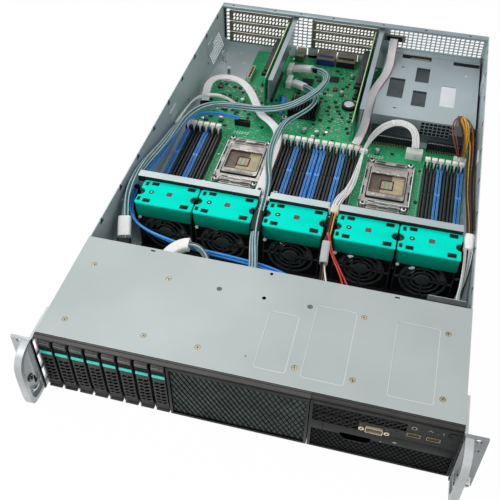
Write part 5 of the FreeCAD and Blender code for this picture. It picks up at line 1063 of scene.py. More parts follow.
def gripTop(c):  # outline with a finger notch at each end
    front, back, half, notch = pick(grip, "front back half notch")
    middle = (front + back) / 2
    turns = [math.pi * (i / 10 - 0.5) for i in range(11)]
    right = [(c + half - notch * math.cos(t), middle + notch * math.sin(t)) for t in turns]
    left = [(c - half + notch * math.cos(t), middle - notch * math.sin(t)) for t in turns]
    return ([(c - half + 2, front), (c + half - 1, front), (c + half, front + 1)] + right
            + [(c + half, back - 1), (c + half - 1, back), (c - half + 2, back), (c - half, back - 2)] + left
            + [(c - half, front + 2)])


def makeGrip(bm, c):
    front, back, half, low, top, plate, wall = pick(grip, "front back half low top plate wall")
    addPrism(bm, "xy", gripTop(c), top - plate, plate, 2, 0.4)
    under = top - plate
    skirt = [(c - half + 2.6, low + 1.5), (c - half + 4.5, low), (c + half - 3, low), (c + half - 0.8, low + 2),
             (c + half - 0.8, under), (c - half + 2.6, under)]
    for y in (front, back - wall):
        addPrism(bm, "xz", skirt, y, wall, 3, 0.3)
    for side in (-1, 1):
        x = c + side * (half - 0.6)
        for a, b in ((front + wall, front + 13), (back - 13, back - wall)):
            addBox(bm, (x, a, low + 4), (x - side * wall, b, under), 3, 0.3)
        arc = [(x - side * 6.2 * math.cos(t), (front + back) / 2 + 6.2 * math.sin(t))
               for t in (math.pi * (i / 8 - 0.5) for i in range(9))]
        inner = [(a - side * 1.4, b) for a, b in reversed(arc)]
        addPrism(bm, "xy", arc + inner, low + 8, under - low - 8, 3)
    for x, y, wide, deep in grip["slots"]:
        x0, y0, x1, y1 = c + x - wide / 2, front + y - deep / 2, c + x + wide / 2, front + y + deep / 2
        outline = roundedBox(x0, y0, x1, y1, 0.8, 3)
        # slot bottoms in black: painted shade
        addPrism(bm, "xy", outline, top - 0.3, 0.32, 4)
        addRim(bm, "xy", roundedBox(x0 - 0.6, y0 - 0.6, x1 + 0.6, y1 + 0.6, 1.2, 3), outline, top - 0.2, 0.35, 3)
    x, y = grip["pivot"]
    addLathe(bm, (c + x, front + y, top - 0.2), [(1.5, 0.3), (2.4, 0.45), (3.2, 0.3), (3.4, 0)], "z", 4, 18)
    addLathe(bm, (c + x, front + y, top - 0.2), [(0, 0.5), (1.0, 0.55), (1.6, 0.3), (1.6, 0)], "z", 5, 14)
    x, y, reach = grip["badge"]
    addPrism(bm, "xy", roundedBox(c + x - reach, front + y - reach, c + x + reach, front + y + reach, 0.6, 2),
             top - 0.1, 0.2, 6)


def addSpoke(bm, c, axis, turn, inner, outer, half, start, depth, paint):  # a flat bar out from a hub
    ax, az = math.cos(turn), math.sin(turn)
    px, pz = -az * half, ax * half
    addPrism(bm, "xz", [(c + ax * inner + px, axis + az * inner + pz), (c + ax * outer + px, axis + az * outer + pz),
                        (c + ax * outer - px, axis + az * outer - pz), (c + ax * inner - px, axis + az * inner - pz)],
             start, depth, paint)


def makeFan(number):
    c = fan["centres"][number - 1]
    half, front, back, low, neck, high, axis, bore, plate = pick(fan, "half front back low neck high axis bore plate")
    bm = bmesh.new()
    square = roundedBox(c - half, low, c + half, neck, 3.0, 7)
    hole = circle(c, axis, bore, 32, 0.6)
    addRim(bm, "xz", square, hole, front, plate, 0)
    addRim(bm, "xz", square, hole, back - plate, plate, 0)
    addRim(bm, "xz", circle(c, axis, bore + 1.6, 32), circle(c, axis, bore, 32), front + plate,
           back - front - 2 * plate, 0)
    addBox(bm, (c - half + 1, front, neck - 1), (c + half - 1, back, high), 0, 0.6)
    for x in (c - half, c + half - 6):
        for z in (low, neck - 6):
            addBox(bm, (x, front + plate, z), (x + 6, back - plate, z + 6), 0, 0.5)
    reach = guard["reach"]
    for outer, inner in guard["rings"]:  # finger guard, lighter than the housing: painted sheen
        addRim(bm, "xz", circle(c, axis, outer, 40), circle(c, axis, inner, 40), front - reach, reach + 0.2, 1)
    for i in range(4):
        addSpoke(bm, c, axis, math.pi / 2 * i, guard["hub"] - 1, guard["arms"][i % 2], guard["spoke"],
                 front - reach, reach, 1)
    for side in (-1, 1):  # upright ribs of the housing, in lighter grey as a painted highlight on its edges
        addBox(bm, (c + side * (half - 1.6) - 0.7, front - 1.4, low + 3),
               (c + side * (half - 1.6) + 0.7, front + 0.2, neck - 2), 8, 0.4)
    addLathe(bm, (c, front - 1.6, axis), [(0, 0), (6.2, 0), (8.8, 0.5), (guard["hub"], 1.0), (guard["hub"], 2.0),
                                          (0, 2.0)], "y", 1, 28)
    for i in range(3):
        addSpoke(bm, c, axis, 2 * math.pi / 3 * i + 0.5, 10, bore, 1.4, back - plate, 2.8, 0)
    addRod(bm, (c, back - plate, axis), 11, plate, "y", 0, 28)
    for x in (-31, 31):
        for z in (6.6, neck - 6):
            addLathe(bm, (c + x, front - 0.1, z), [(0, 0.2), (2.2, 0), (2.6, 0.3)], "y", 4, 14)
    addLathe(bm, (c - half + 3.4, front + 0.4, neck - 8), [(0, -3.4), (1.6, -3.2), (2.2, -2.4), (2.2, 0)], "y", 7, 14)
    makeGrip(bm, c)
    body = "fan_module_%d" % number
    finishPiece("fanModule%d" % number, bm, body, "fanBlack guardGrey gripTurquoise skirtGreen recessBlack boltBrass "
                "badgeBrown latchIvory fanGrey", (body,))

    bm = bmesh.new()
    near, far = fan["rotor"]
    pitch, ease, sweep = fan["twist"]
    addLathe(bm, (c, near, axis), [(0, 0), (8, 0), (10.4, 0.8), (fan["hub"], 2.4), (fan["hub"], far - near),
                                   (0, far - near)], "y", 0, 28)
    for i in range(fan["blades"]):
        grid = bmesh.ops.create_grid(bm, x_segments=4, y_segments=5, size=0.5)["verts"]
        for vert in grid:
            out, along = vert.co.x + 0.5, vert.co.y + 0.5
            radius = fan["bladeFrom"] + out * fan["bladeLong"]
            turn = 2 * math.pi * i / fan["blades"] + (along - 0.5) * (pitch - ease * out) + sweep * out
            vert.co = (c + radius * math.cos(turn), near + 2 + along * (far - near - 4) - 1.4 * out,
                       axis + radius * math.sin(turn))
        faces = settle(bm, grid, "xy", 0)
        bmesh.ops.solidify(bm, geom=faces, thickness=fan["bladeThick"] * mm)
    body = "fan_rotor_%d" % number
    finishPiece("fanRotor%d" % number, bm, body, "fanBlack", (body,))


def makeFanBay():  # black pan under the fans as painted shade of the deep bay, cable dividers, rail trim and plugs
    bm = bmesh.new()
    addBox(bm, (bay["sides"][0], bay["front"], bay["low"]), (bay["sides"][1], bay["back"], bay["high"]), 0)
    for left, right in bay["dividers"]:
        addBox(bm, (left, fan["front"] + 2, bay["high"]), (right, fan["back"] - 2, bay["tall"]), 0, 0.8)
        for z in (16, 30, 44):
            addBox(bm, (left + 1.5, fan["front"] + 1.4, z), (right - 1.5, fan["front"] + 2.2, z + 9), 1, 0.3)
    for left, right in bay["ends"]:
        addBox(bm, (left, bay["back"] + 4, bay["high"]), (right, bay["back"] + 5, bay["endTall"]), 0)
    for left, right in zip(trim["breaks"][::2], trim["breaks"][1::2]):
        addBox(bm, (left, trim["front"], trim["low"]), (right, trim["back"], trim["high"]), 0)
    for left, right, near, far, low, high in bay["plugs"]:
        addBox(bm, (left, near, low), (right, far, high), 2, 0.5)
        addBox(bm, (left + 1, near + 1.5, high - 0.2), (right - 1, far - 1.5, high + 0.1), 1)
    finishPiece("fanBay", bm, fixed, "meshBlack fanBlack plugIvory")


for number in range(1, len(fan["centres"]) + 1):
    makeFan(number)
makeFanBay()
print("fans made")


# main board with its memory and processor sockets
dress("motherboard", "boardGreen")
memory = {"outer": 154, "inner": 5.5, "pitch": 9.45, "front": 313.5, "back": 455.5, "wide": 7.6, "low": 8, "top": 19,
          "tower": 24, "blueOuter": (2, 5), "blueInner": (0, 3), "contact": 2.25, "latchFoot": 2.5, "latchNeck": 20,
          "latchHead": 24, "latchReach": (-6.5, -2.5, 0.9)}


def memoryPlaces():  # centre of each socket and whether it is blue
    places = []
    for side in (-1, 1):
        for start, blue in ((memory["outer"], memory["blueOuter"]), (memory["inner"], memory["blueInner"])):
            for i in range(6):
                places.append((side * (start + memory["pitch"] * i), i in blue))
    return sorted(places)


def makeMemorySocket(body, end, contacts):
    bm = bmesh.new()
    front, back, low, top, tower = pick(memory, "front back low top tower")
    half = memory["wide"] / 2
    first, last = front + 8, back - 8
    key = first + (last - first) * 0.56
    for a, b in ((first, key - 1), (key + 1, last)):
        for side in (-1, 1):
            addPrism(bm, "xz", [(side * half, low), (side * 0.8, low), (side * 0.8, top), (side * (half - 0.5), top),
                                (side * half, top - 0.8)], a, b - a, body)
    addBox(bm, (-0.8, first, low), (0.8, last, low + 4), 3)
    addBox(bm, (-half, key - 1, low), (half, key + 1, top), body)
    contact = bmesh.new()
    for side in (-1, 1):
        near, far = side * 1.2, side * 3.0
        addPrism(contact, "xy", [(near, 0), (far, 0.6), (far, 1.7), (near, 1.1)], top - 0.3, 0.33, contacts)
    rows = [first + 0.6 + i * memory["contact"] for i in range(int((last - first) / memory["contact"]))]
    stamp(bm, contact, [(0, y, 0) for y in rows if abs(y - key) > 2.2])
    for a, b in ((front, first), (last, back - 0.2)):  # end towers with a slot for the latch
        for side in (-1, 1):
            addBox(bm, (side * 1.6, a, low), (side * half, b, tower - 0.4), end, 0.25)
        addBox(bm, (-1.6, a, low), (1.6, b, low + 0.6), end)
    addLatch(bm, front, -1, 4, 5)
    return bm


def addLatch(bm, end, out, paint, rib):  # shank in the tower, ribbed head over the end
    foot, neck, head = (memory["low"] + memory[k] for k in ("latchFoot", "latchNeck", "latchHead"))
    inner, outer, tip = (end + out * reach for reach in memory["latchReach"])
    addPrism(bm, "yz", [(inner, foot), (outer, foot), (outer + out * 0.6, neck + 0.4),
                        (inner - out * 0.4, neck + 0.4)], -1.2, 2.4, paint, 0.2)
    lean = out * 0.8
    addPrism(bm, "yz", [(inner, neck), (tip - lean, neck), (tip, neck + 1.6), (tip - lean * 0.5, head),
                        (inner + lean, head)], -3.7, 7.4, paint, 0.45)
    for k in range(3):
        y = inner + (tip - inner) * (0.3 + 0.22 * k)
        addBox(bm, (-2.8, y - 0.3, head - 0.2), (2.8, y + 0.3, head - 0.02), rib)


def makeMemorySockets():
    places = memoryPlaces()
    bm = bmesh.new()
    stamp(bm, makeMemorySocket(0, 0, 6), [(x, 0, 0) for x, blue in places if not blue])
    stamp(bm, makeMemorySocket(1, 2, 3), [(x, 0, 0) for x, blue in places if blue])
    finishPiece("memorySockets", bm, fixed,
                "socketBlack socketBlue towerBlue recessBlack latchIvory plugIvory contactGrey",
                ("dimm_sockets",))
    latch = bmesh.new()
    addLatch(latch, memory["back"], 1, 0, 1)
    bm = bmesh.new()
    stamp(bm, latch, [(x, 0, 0) for x, blue in places])
    finishPiece("memoryLatches", bm, "dimm_latches", "latchIvory plugIvory", ("dimm_latches",))


makeMemorySockets()
print("memory sockets made")

processor = {"centres": (-104, 104), "y": 406, "half": (35, 52), "low": 8,
             "wave": [(-24, 0), (-20, 2.4), (-9, 2.4), (-6, 0.6), (6, 0.6), (9, 2.4), (20, 2.4), (24, 0)],
             "waves": ((40, 1, 2.2, 3.4), (46.5, -1, -1.6, 2.2)),  # middle, way, thickness, height
             "slits": ((-22, -9, 37.4, 39.6, 2.5, 0.9), (9, 22, 37.4, 39.6, 2.5, 0.9),
                       (-5.5, 5.5, 40.6, 42.6, 2.5, 0.9),
                       (-21, -8, 48.6, 50.4, 1.4, 0.9), (8, 21, 48.6, 50.4, 1.4, 0.9),
                       (-33.6, -30.4, 8, 27, 2.5, 1.2),
                       (30.4, 33.6, 8, 27, 2.5, 1.2))}


def makeProcessorSocket(bm, c):
    y, low = processor["y"], processor["low"]
    hx, hy = processor["half"]
    addRim(bm, "xy", roundedBox(c - hx, y - hy, c + hx, y + hy, 4, 4),
           roundedBox(c - hx + 8, y - hy + 18, c + hx - 8, y + hy - 18, 2, 4), low, 1.4, 0)
    addRim(bm, "xy", roundedBox(c - hx + 1.5, y - hy + 9, c + hx - 1.5, y + hy - 9, 3, 4),
           roundedBox(c - 27, y - 33, c + 27, y + 33, 2, 4), low + 1.4, 1.1, 0)
    for side in (-1, 1):
        for end in (-1, 1):
            px, py = c + side * 28, y + end * 47
            addLathe(bm, (px, py, low), [(0, 7), (1.6, 7), (1.6, 6), (3.0, 6), (3.8, 5.4), (4.0, 4.2), (4.0, 1.4),
                                         (5.2, 1.2), (5.2, 0)], "z", 1, 20)
            addRod(bm, (px, py, low + 6.1), 1.9, 0.95, "z", 3, 12)
            addRim(bm, "xy", circle(px, py, 6.2, 24), circle(px, py, 4.4, 24), low + 1.4, 0.1, 3)
        for middle, way, thick, tall in processor["waves"]:
            near, way = y + side * middle, side * way
            edge = [(c + a, near + way * b) for a, b in processor["wave"]]
            edge += [(c + a, near + way * (b + thick)) for a, b in reversed(processor["wave"])]
            addPrism(bm, "xy", edge, low + 1.4, tall, 0, 0.2)
        addRod(bm, (c - 23, y + side * 44.6, low + 3.0), 1.1, 46, "x", 1, 12)
        for k in (-14, 0, 14):
            addBox(bm, (c + k - 2.2, y + side * 44 - 1.4, low + 1.2),
                   (c + k + 2.2, y + side * 44 + 1.4, low + 1.8), 2)
        # the slits are thin black plates: painted shade
        for a, b, near, far, tall, corner in processor["slits"]:
            first, last = sorted((y + side * near, y + side * far))
            addPrism(bm, "xy", roundedBox(c + a, first, c + b, last, corner, 3), low + tall, 0.06, 3)
    addRod(bm, (c - 33.4, y - 40, low + 3.2), 1.15, 82, "y", 1, 12)  # fixed wire along the left edge
    for end in (-38, 38):
        addBox(bm, (c - 35, y + end - 3, low + 1.2), (c - 31, y + end + 3, low + 4.6), 0, 0.4)
        addBox(bm, (c + 31.6, y + end - 3, low + 1.2), (c + 32.4, y + end + 3, low + 4.4), 0, 0.2)
    # a thin black ring: painted shade in the gap round the plate
    addRim(bm, "xy", roundedBox(c - 27.4, y - 31.4, c + 27.4, y + 36.6, 3, 4),
           roundedBox(c - 25.9, y - 29.9, c + 25.9, y + 35.1, 3, 4), low + 2.5, 0.06, 3)
    addBox(bm, (c - 27.5, y - 29, low), (c + 27.5, y + 29, low + 0.8), 3)
    field = low + 0.8
    addBox(bm, (c - 25, y - 27, field), (c + 25, y + 27, field + 0.5), 4)
    addPrism(bm, "xy", [(c - 8, y - 26.5), (c + 24.5, y - 26.5), (c + 24.5, y + 22), (c + 6, y + 22), (c + 6, y - 10),
                        (c - 8, y - 10)], field + 0.4, 0.25, 5)
    addRim(bm, "xy", roundedBox(c - 9.5, y - 10, c + 9, y + 10, 0.6),
           roundedBox(c - 8, y - 8.5, c + 7.5, y + 8.5, 0.6), field + 0.4, 0.9, 3)
    addBox(bm, (c - 8, y - 8.5, field + 0.4), (c + 7.5, y + 8.5, field + 0.62), 5)
    for k in range(5):
        addBox(bm, (c - 7.2 + k * 3.0, y - 7.4, field + 0.6), (c - 5.4 + k * 3.0, y + 7.4, field + 0.9), 6 + k % 2)
    rows = 15
    for i in range(rows):  # contact rows stand proud of the field
        row = y - 25 + i * 50 / (rows - 1)
        if abs(row - y) > 11:
            addBox(bm, (c - 24, row - 0.35, field + 0.5), (c + 24, row + 0.35, field + 0.72),
                   5 if row < y - 10 else 4)


def makeLoadPlate(side):
    c = processor["centres"][0 if side == "left" else 1]
    low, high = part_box("load_plate_" + side)
    foot, head = low.z / mm, high.z / mm
    far = (high.y - coverFront) / mm
    bm = bmesh.new()
    y = processor["y"]
    addRim(bm, "xy", roundedBox(c - 25.8, 376.2, c + 25.8, 441, 3, 4),
           roundedBox(c - 23.4, y - 20, c + 23.4, y + 20, 2.5, 4), 10.9, 1.3, 0)
    addRim(bm, "xy", roundedBox(c - 24.5, y - 21.1, c + 24.5, y + 21.1, 3, 4),
           roundedBox(c - 23.3, y - 19.9, c + 23.3, y + 19.9, 2.5, 4), 12.1, 0.15, 1)
    for end in (-1, 1):
        edge = y + end * 20 + end * 0.4
        for k in (-15, 0, 15):
            addBox(bm, (c + k - 3, edge, 11.4), (c + k + 3, edge + end * 6, 12.45), 0, 0.4)
    addBox(bm, (c - 21, 377.4, 11.4), (c + 21, 379.4, min(head, 12.9)), 0, 0.4)
    addRod(bm, (c - 24, far - 1.4, foot + 1.4 if foot > 10.5 else 12.05), 1.2, 48, "x", 0, 12)
    finishPiece("loadPlate" + side.capitalize(), bm, "load_plate_" + side, "socketSteel boltDark",
                ("load_plate_" + side,), edge=0.25)


def makeProcessorSockets():
    bm = bmesh.new()
    for c in processor["centres"]:
        makeProcessorSocket(bm, c)
    finishPiece("processorSockets", bm, fixed,
                "socketSteel boltChrome boltDark plugBlack padBrown padBeige stripePink stripeGreen",
                ("cpu_sockets",), edge=0.2)
    for side in ("left", "right"):
        makeLoadPlate(side)
        dress("socket_lever_" + side, "boltChrome")


makeProcessorSockets()
print("processor sockets made")


# connectors, chips and small parts on the main board
boardTop = 8.0
fins = {"box": (-66, 528, -22, 572), "top": 22, "base": 3, "count": 11, "thick": 1.3}
connectors = {"chips": ((-63, 620, -45, 638, 1.6), (-20, 640, -5, 655, 1.6)), "legs": 12,
              "plugs": ((122, 472, 146, 484, 6), (190, 472, 208, 481, 4)), "plugTall": 14, "plugRows": 2,
              "headers": ((-151, 606, -145, 642, 4), (-140, 488, -116, 494, 5), (-76, 324, -56, 331, 4),
                          (40, 470, 58, 476, 4), (-205, 521, -189, 527, 5)), "headerTall": 9, "wall": 0.9,
              "floor": 1.5, "pin": 0.3, "pinPitch": 2.54, "pinRows": (0.36, 0.64),
              "dataPlugs": ((-92, 640, -83, 662), (-86, 604, -77, 626)),
              "powerEdges": ((70, 496, 130, 504), (150, 496, 200, 504)), "edgePitch": 2.4,
              "portCans": ((-88, -72, 7), (-51, -20, 8), (-18, 15, 5))}
coin = {"x": 22.5, "y": 578, "radius": 10, "top": 6}


def addOnBoard(bm, base, low, high, paint, soft=0.0):  # base: left, near, right, far
    left, near, right, far = base
    addBox(bm, (left, near, boardTop + low), (right, far, boardTop + high), paint, soft)


def addHeader(bm, x0, y0, x1, y1, paint):  # open shroud with two rows of pins
    tall, wall, floor, pin = pick(connectors, "headerTall wall floor pin")
    a, b, c, d = x0 + wall, y0 + wall, x1 - wall, y1 - wall
    addRim(bm, "xy", roundedBox(x0, y0, x1, y1, 0.3), roundedBox(a, b, c, d, 0.2), boardTop, tall, paint)
    addOnBoard(bm, (a, b, c, d), 0, floor, paint)
    wide, deep = x1 - x0, y1 - y0
    along = wide > deep
    count = max(2, int(max(wide, deep) / connectors["pinPitch"]) - 1)
    for i in range(count):
        share = (i + 1) / (count + 1)
        for row in connectors["pinRows"]:
            px, py = (x0 + wide * share, y0 + deep * row) if along else (x0 + wide * row, y0 + deep * share)
            addOnBoard(bm, (px - pin, py - pin, px + pin, py + pin), floor, tall - 1.2, 6)


def addPlug(bm, x0, y0, x1, y1, columns):  # latching power plug with square ways
    top, rows = boardTop + connectors["plugTall"], connectors["plugRows"]
    addBox(bm, (x0, y0, boardTop), (x1, y1, top - 1), 9, 0.4)
    stepX, stepY = (x1 - x0 - 1.2) / columns, (y1 - y0 - 1.2) / rows
    for i in range(columns):
        for k in range(rows):
            a, b = x0 + 0.6 + i * stepX, y0 + 0.6 + k * stepY
            c, d = a + stepX, b + stepY
            addRim(bm, "xy", roundedBox(a + 0.15, b + 0.15, c - 0.15, d - 0.15, 0.4, 2),
                   roundedBox(a + 0.7, b + 0.7, c - 0.7, d - 0.7, 0.3, 2), top - 1, 1, 9)
    middle = (x0 + x1) / 2
    addBox(bm, (middle - 2.2, y0 - 0.9, boardTop + 4), (middle + 2.2, y0 + 0.1, top), 9, 0.3)


def makeBoardParts():
    bm = bmesh.new()
    x0, y0, x1, y1 = fins["box"]
    addOnBoard(bm, (x0, y0, x1, y1), 0, fins["base"], 0, 0.3)
    pitch = (x1 - x0 - fins["thick"]) / (fins["count"] - 1)
    for i in range(fins["count"]):
        x = x0 + i * pitch
        for a, b in ((y0, y0 + 13.6), (y0 + 15.2, y0 + 28.8), (y0 + 30.4, y1)):
            addBox(bm, (x, a, boardTop + fins["base"]), (x + fins["thick"], b, fins["top"]), 0, 0.2)
    for a, b, c, d, tall in connectors["chips"]:
        addOnBoard(bm, (a, b, c, d), 0, tall, 1, 0.25)
        addPrism(bm, "xy", circle(a + 1.8, d - 1.8, 0.6, 10), boardTop + tall, 0.04, 2)
        for i in range(connectors["legs"]):
            u = a + 1 + i * (c - a - 2) / (connectors["legs"] - 1)
            addOnBoard(bm, (u - 0.22, b - 0.9, u + 0.22, d + 0.9), 0, 0.35, 3)
    for plug in connectors["plugs"]:
        addPlug(bm, *plug)
    for a, b, c, d in connectors["dataPlugs"]:
        addOnBoard(bm, (a, b, c, d), 0, 12, 9, 0.5)
        addOnBoard(bm, (a + 1, b + 1.5, c + 0.05, d - 1.5), 3, 10, 5)
    for header in connectors["headers"]:
        addHeader(bm, *header)
    pitch = connectors["edgePitch"]
    for a, b, c, d in connectors["powerEdges"]:
        addOnBoard(bm, (a, b, c, d), 0, 16, 5, 0.6)
        for i in range(int((c - a) / pitch) - 1):
            u = a + 2.2 + i * pitch
            addOnBoard(bm, (u, b - 2.6, u + 0.9, b + 0.2), 0.1, 0.9, 6)
            addOnBoard(bm, (u, b - 0.1, u + 0.9, b + 0.2), 2, 13, 1)
            addOnBoard(bm, (u, b - 1.4, u + 0.8, b - 0.05), 0.8, 5.5, 3)
            addOnBoard(bm, (u, b + 0.8, u + 0.8, b + 2.6), 15.9, 16.1, 3)
    x, y, radius = coin["x"], coin["y"], coin["radius"]
    addRim(bm, "xy", circle(x, y, radius + 1.6, 32), circle(x, y, radius - 1.6, 32), boardTop, coin["top"] - 0.4, 5)
    addLathe(bm, (x, y, boardTop + 1), [(0, 5.2), (7.6, 5.2), (8.0, 4.8), (8.0, 0)], "z", 3, 32)
    addOnBoard(bm, (x + 6, y - 2, x + 10.5, y + 2), 3, coin["top"], 6, 0.3)
    for a, c, inside in connectors["portCans"]:  # metal cans of the rear ports
        addBox(bm, (a, 684, boardTop + 0.4), (c, 711.8, 20.9), 10, 0.4)
        addBox(bm, (a + 1.6, 711.6, boardTop + 2.4), (c - 1.6, 711.95, 19.2), 5)
        addBox(bm, (a + 1.2, 683.6, boardTop + 1), (c - 1.2, 684.4, 19.6), inside, 0.3)
        addBox(bm, (a + 3, 690, 20.85), (c - 3, 697, 20.98), inside)
    finishPiece("boardConnectors", bm, fixed, "finBlack chipBlack silkWhite solderSilver plugIvory plugBlack pinGold "
                "portGreen portBlue plugClear portSteel", ("board_parts",))


makeBoardParts()

# places on the board that small parts keep clear of
keepClear = [(-69, 525, -19, 575), (-66, 617, -42, 641), (-23, 637, -2, 658), (119, 469, 149, 487),
             (187, 469, 211, 506), (67, 492, 203, 507), (-95, 600, -74, 665), (-154, 603, -142, 645),
             (-143, 485, -113, 497), (-79, 321, -53, 334), (37, 467, 61, 479), (-208, 518, -186, 530),
             (10, 566, 35, 590), (-92, 680, 18, 712), (-141, 352, -67, 460), (67, 352, 141, 460),
             (-106, 512, -96, 700), (38, 440, 46, 700)]
keepClear += [(x - 4.4, 309, x + 4.4, 459) for x, blue in memoryPlaces()]
boardAreas = ((-203, 288, 206, 503), (-203, 505, 20, 598), (-120, 600, 20, 682), (24, 505, 36, 598),
              (48, 505, 60, 598))


def freeSpot(wide, deep):  # a random place on the board with room for a part
    for attempt in range(60):
        x0, y0, x1, y1 = areaChoice[dice.randrange(len(areaChoice))]
        x, y = dice.uniform(x0, x1 - wide), dice.uniform(y0, y1 - deep)
        if not any(x < c and x + wide > a and y < d and y + deep > b for a, b, c, d in keepClear):
            return x, y
    return None


areaChoice = [boardAreas[0]] * 5 + [boardAreas[1]] * 6 + [boardAreas[2]] * 5 + list(boardAreas[3:])
# count, widths, depths, height, kind
smallParts = ((18, (6.5, 9.5), (6.5, 9.5), 3.4, 3), (110, (3.2, 6.4), (3.0, 5.6), 1.1, 2),
              (240, (1.6, 2.8), (1.0, 1.6), 0.7, 0), (170, (1.0, 1.7), (1.8, 3.0), 0.9, 1))
marks = {"count": 620, "shapes": ((2.2, 0.25), (0.25, 2.2), (1.2, 0.3), (0.6, 0.6), (3.6, 0.25), (0.25, 4.5)),
         "rows": (148.0, 206.2, 57.6), "rowFrom": 314, "rowCount": 48, "rowPitch": 3,
         "blocks": ((-137, 470), (68, 464), (-60, 590), (-30, 600))}
capacitors = {"count": 24, "room": 8,
              "profile": [(0, 7.6), (2.9, 7.6), (3.3, 7.2), (3.3, 1.2), (3.0, 1.0), (3.3, 0.8), (3.3, 0)]}


def makeSmallParts():
    bm = bmesh.new()
    for count, wides, deeps, tall, kind in smallParts:
        for i in range(count):
            wide, deep = dice.uniform(*wides), dice.uniform(*deeps)
            found = freeSpot(wide + 1.2, deep + 1.2)
            if not found:
                continue
            x, y = found
            keepClear.append((x, y, x + wide + 1.2, y + deep + 1.2))
            x, y = x + 0.6, y + 0.6
            addOnBoard(bm, (x, y, x + wide, y + deep), 0, tall, kind, 0.5 if kind == 3 else 0.0)
            if kind < 2:  # bright ends
                for a, b in ((x - 0.3, x + 0.45), (x + wide - 0.45, x + wide + 0.3)):
                    addOnBoard(bm, (a, y, b, y + deep), 0, tall + 0.03, 4)
            elif kind == 2:  # legs
                for k in range(4):
                    u = x + 0.5 + k * (wide - 1) / 3
                    addOnBoard(bm, (u - 0.2, y - 0.7, u + 0.2, y + deep + 0.7), 0, 0.3, 4)
    finishPiece("boardChips", bm, fixed, "partTan boardBrown chipBlack fanGrey solderSilver")

    bm = bmesh.new()
    capacitor = bmesh.new()
    addLathe(capacitor, (0, 0, boardTop), capacitors["profile"], "z", 0, 14)
    addOnBoard(capacitor, (-3.5, -3.5, 3.5, 3.5), 0, 0.9, 1)
    addPrism(capacitor, "xy", [(-2.6, -1.2), (0, -2.8), (2.6, -1.2)], boardTop + 7.6, 0.04, 1)
    room = capacitors["room"]
    spots = [found for found in (freeSpot(room, room) for i in range(capacitors["count"])) if found]
    stamp(bm, capacitor, [(x + room / 2, y + room / 2, 0) for x, y in spots])
    finishPiece("boardCapacitors", bm, fixed, "solderSilver plugBlack")

    bm = bmesh.new()
    for i in range(marks["count"]):  # plain outline marks beside the parts
        wide, deep = dice.choice(marks["shapes"])
        found = freeSpot(wide, deep)
        if found:
            x, y = found
            addOnBoard(bm, (x, y, x + wide, y + deep), -0.02, 0.03, 0)
    for side in (-1, 1):
        for edge in marks["rows"]:
            for i in range(marks["rowCount"]):
                y = marks["rowFrom"] + i * marks["rowPitch"]
                addOnBoard(bm, (side * edge - 0.5, y, side * edge + 0.5, y + 1.5), 0, 0.05, 0)
    for x, y in marks["blocks"]:  # blank printed blocks
        for i in range(6):
            addOnBoard(bm, (x + i * 4, y, x + i * 4 + 2.6, y + 2.2), 0, 0.05, 0)
            addOnBoard(bm, (x + i * 4 + 0.8, y + 3.4, x + i * 4 + 3.2, y + 5.4), 0, 0.05, 0)
    finishPiece("boardMarks", bm, fixed, "silkWhite")


makeSmallParts()
print("board parts made")

# riser cards and their brackets
risers = {"left": {"x": -101.6, "from": 516, "edge": (523, 689),
                   "outline": [(516, 12), (696, 12), (696, 74), (690, 78), (522, 78), (516, 74)]},
          "right": {"x": 41, "from": 484, "edge": (446.5, 695),
                    "outline": [(484, 12), (696, 12), (696, 78), (446, 78), (446, 44), (484, 44)]}}


def makeRisers():
    bm = bmesh.new()
    for riser in risers.values():
        x, start = riser["x"], riser["from"]
        addPrism(bm, "yz", riser["outline"], x, 1.6, 0, 0.2)
        addBox(bm, (x - 3, 560, boardTop), (x + 4.6, 640, 15), 1, 0.5)
        for z in (38, 58.3):  # card slots face left
            addBox(bm, (x - 11, 560, z), (x, 655, z + 8.5), 1, 0.4)
            addBox(bm, (x - 11.05, 563, z + 3.4), (x - 10.4, 572, z + 5.1), 2)
            addBox(bm, (x - 11.05, 574, z + 3.4), (x - 10.4, 652, z + 5.1), 2)
            for i in range(26):
                addBox(bm, (x - 11.1, 576 + i * 2.9, z + 1.6), (x - 10.9, 577.2 + i * 2.9, z + 6.8), 3)
            addBox(bm, (x - 12.5, 553, z + 1.5), (x - 1, 559.6, z + 7), 1, 0.5)
        for i in range(60):
            y, z = dice.uniform(start + 6, 690), dice.uniform(17, 75)
            wide, tall = dice.choice(((1.6, 0.9), (0.9, 1.6), (3.2, 2.6), (2.4, 4.4)))
            face = x + 1.6 if i % 2 else x
            addBox(bm, (face - 0.5, y, z), (face + 0.5, y + wide, z + tall), dice.choice((1, 4, 5)))
        addBox(bm, (x + 0.2, riser["edge"][0], 77.6), (x + 1.4, riser["edge"][1], 78.2), 7)
        for i in range(30):
            addBox(bm, (x - 0.04, start + 20 + i * 4, 70), (x + 1.64, start + 22 + i * 4, 70.4), 6)
    finishPiece("riserCards", bm, fixed,
                "boardGreen plugBlack recessBlack pinGold partTan chipBlack silkWhite edgeStraw",
                ("riser_cards",))


makeRisers()
dress("riser_brackets", "bracketSteel")
print("risers made")


# base tray with its side walls
case = {"half": 219, "sheet": 1.2, "top": 86.1, "rear": 712, "front": 0, "hooks": [170 + 62 * i for i in range(9)],
        "ribs": (232, 422, 612), "rivets": [190 + 105 * i for i in range(5)], "posts": ((-206, 662), (-183, 612)),
        "marks": ((-185, 697), (-172, 669), (-150, 690)), "pads": (-150, -60, 40, 130), "blocks": (-140, -20, 100),
        "standoffs": ((-193, 297), (0, 297), (196, 297), (-193, 493), (196, 493), (-90, 691), (51, 691), (0, 505))}
sideVent = {"low": 9, "high": 51, "near": 625, "far": 691, "lean": -0.65, "cells": (11, 8), "web": 1.3}


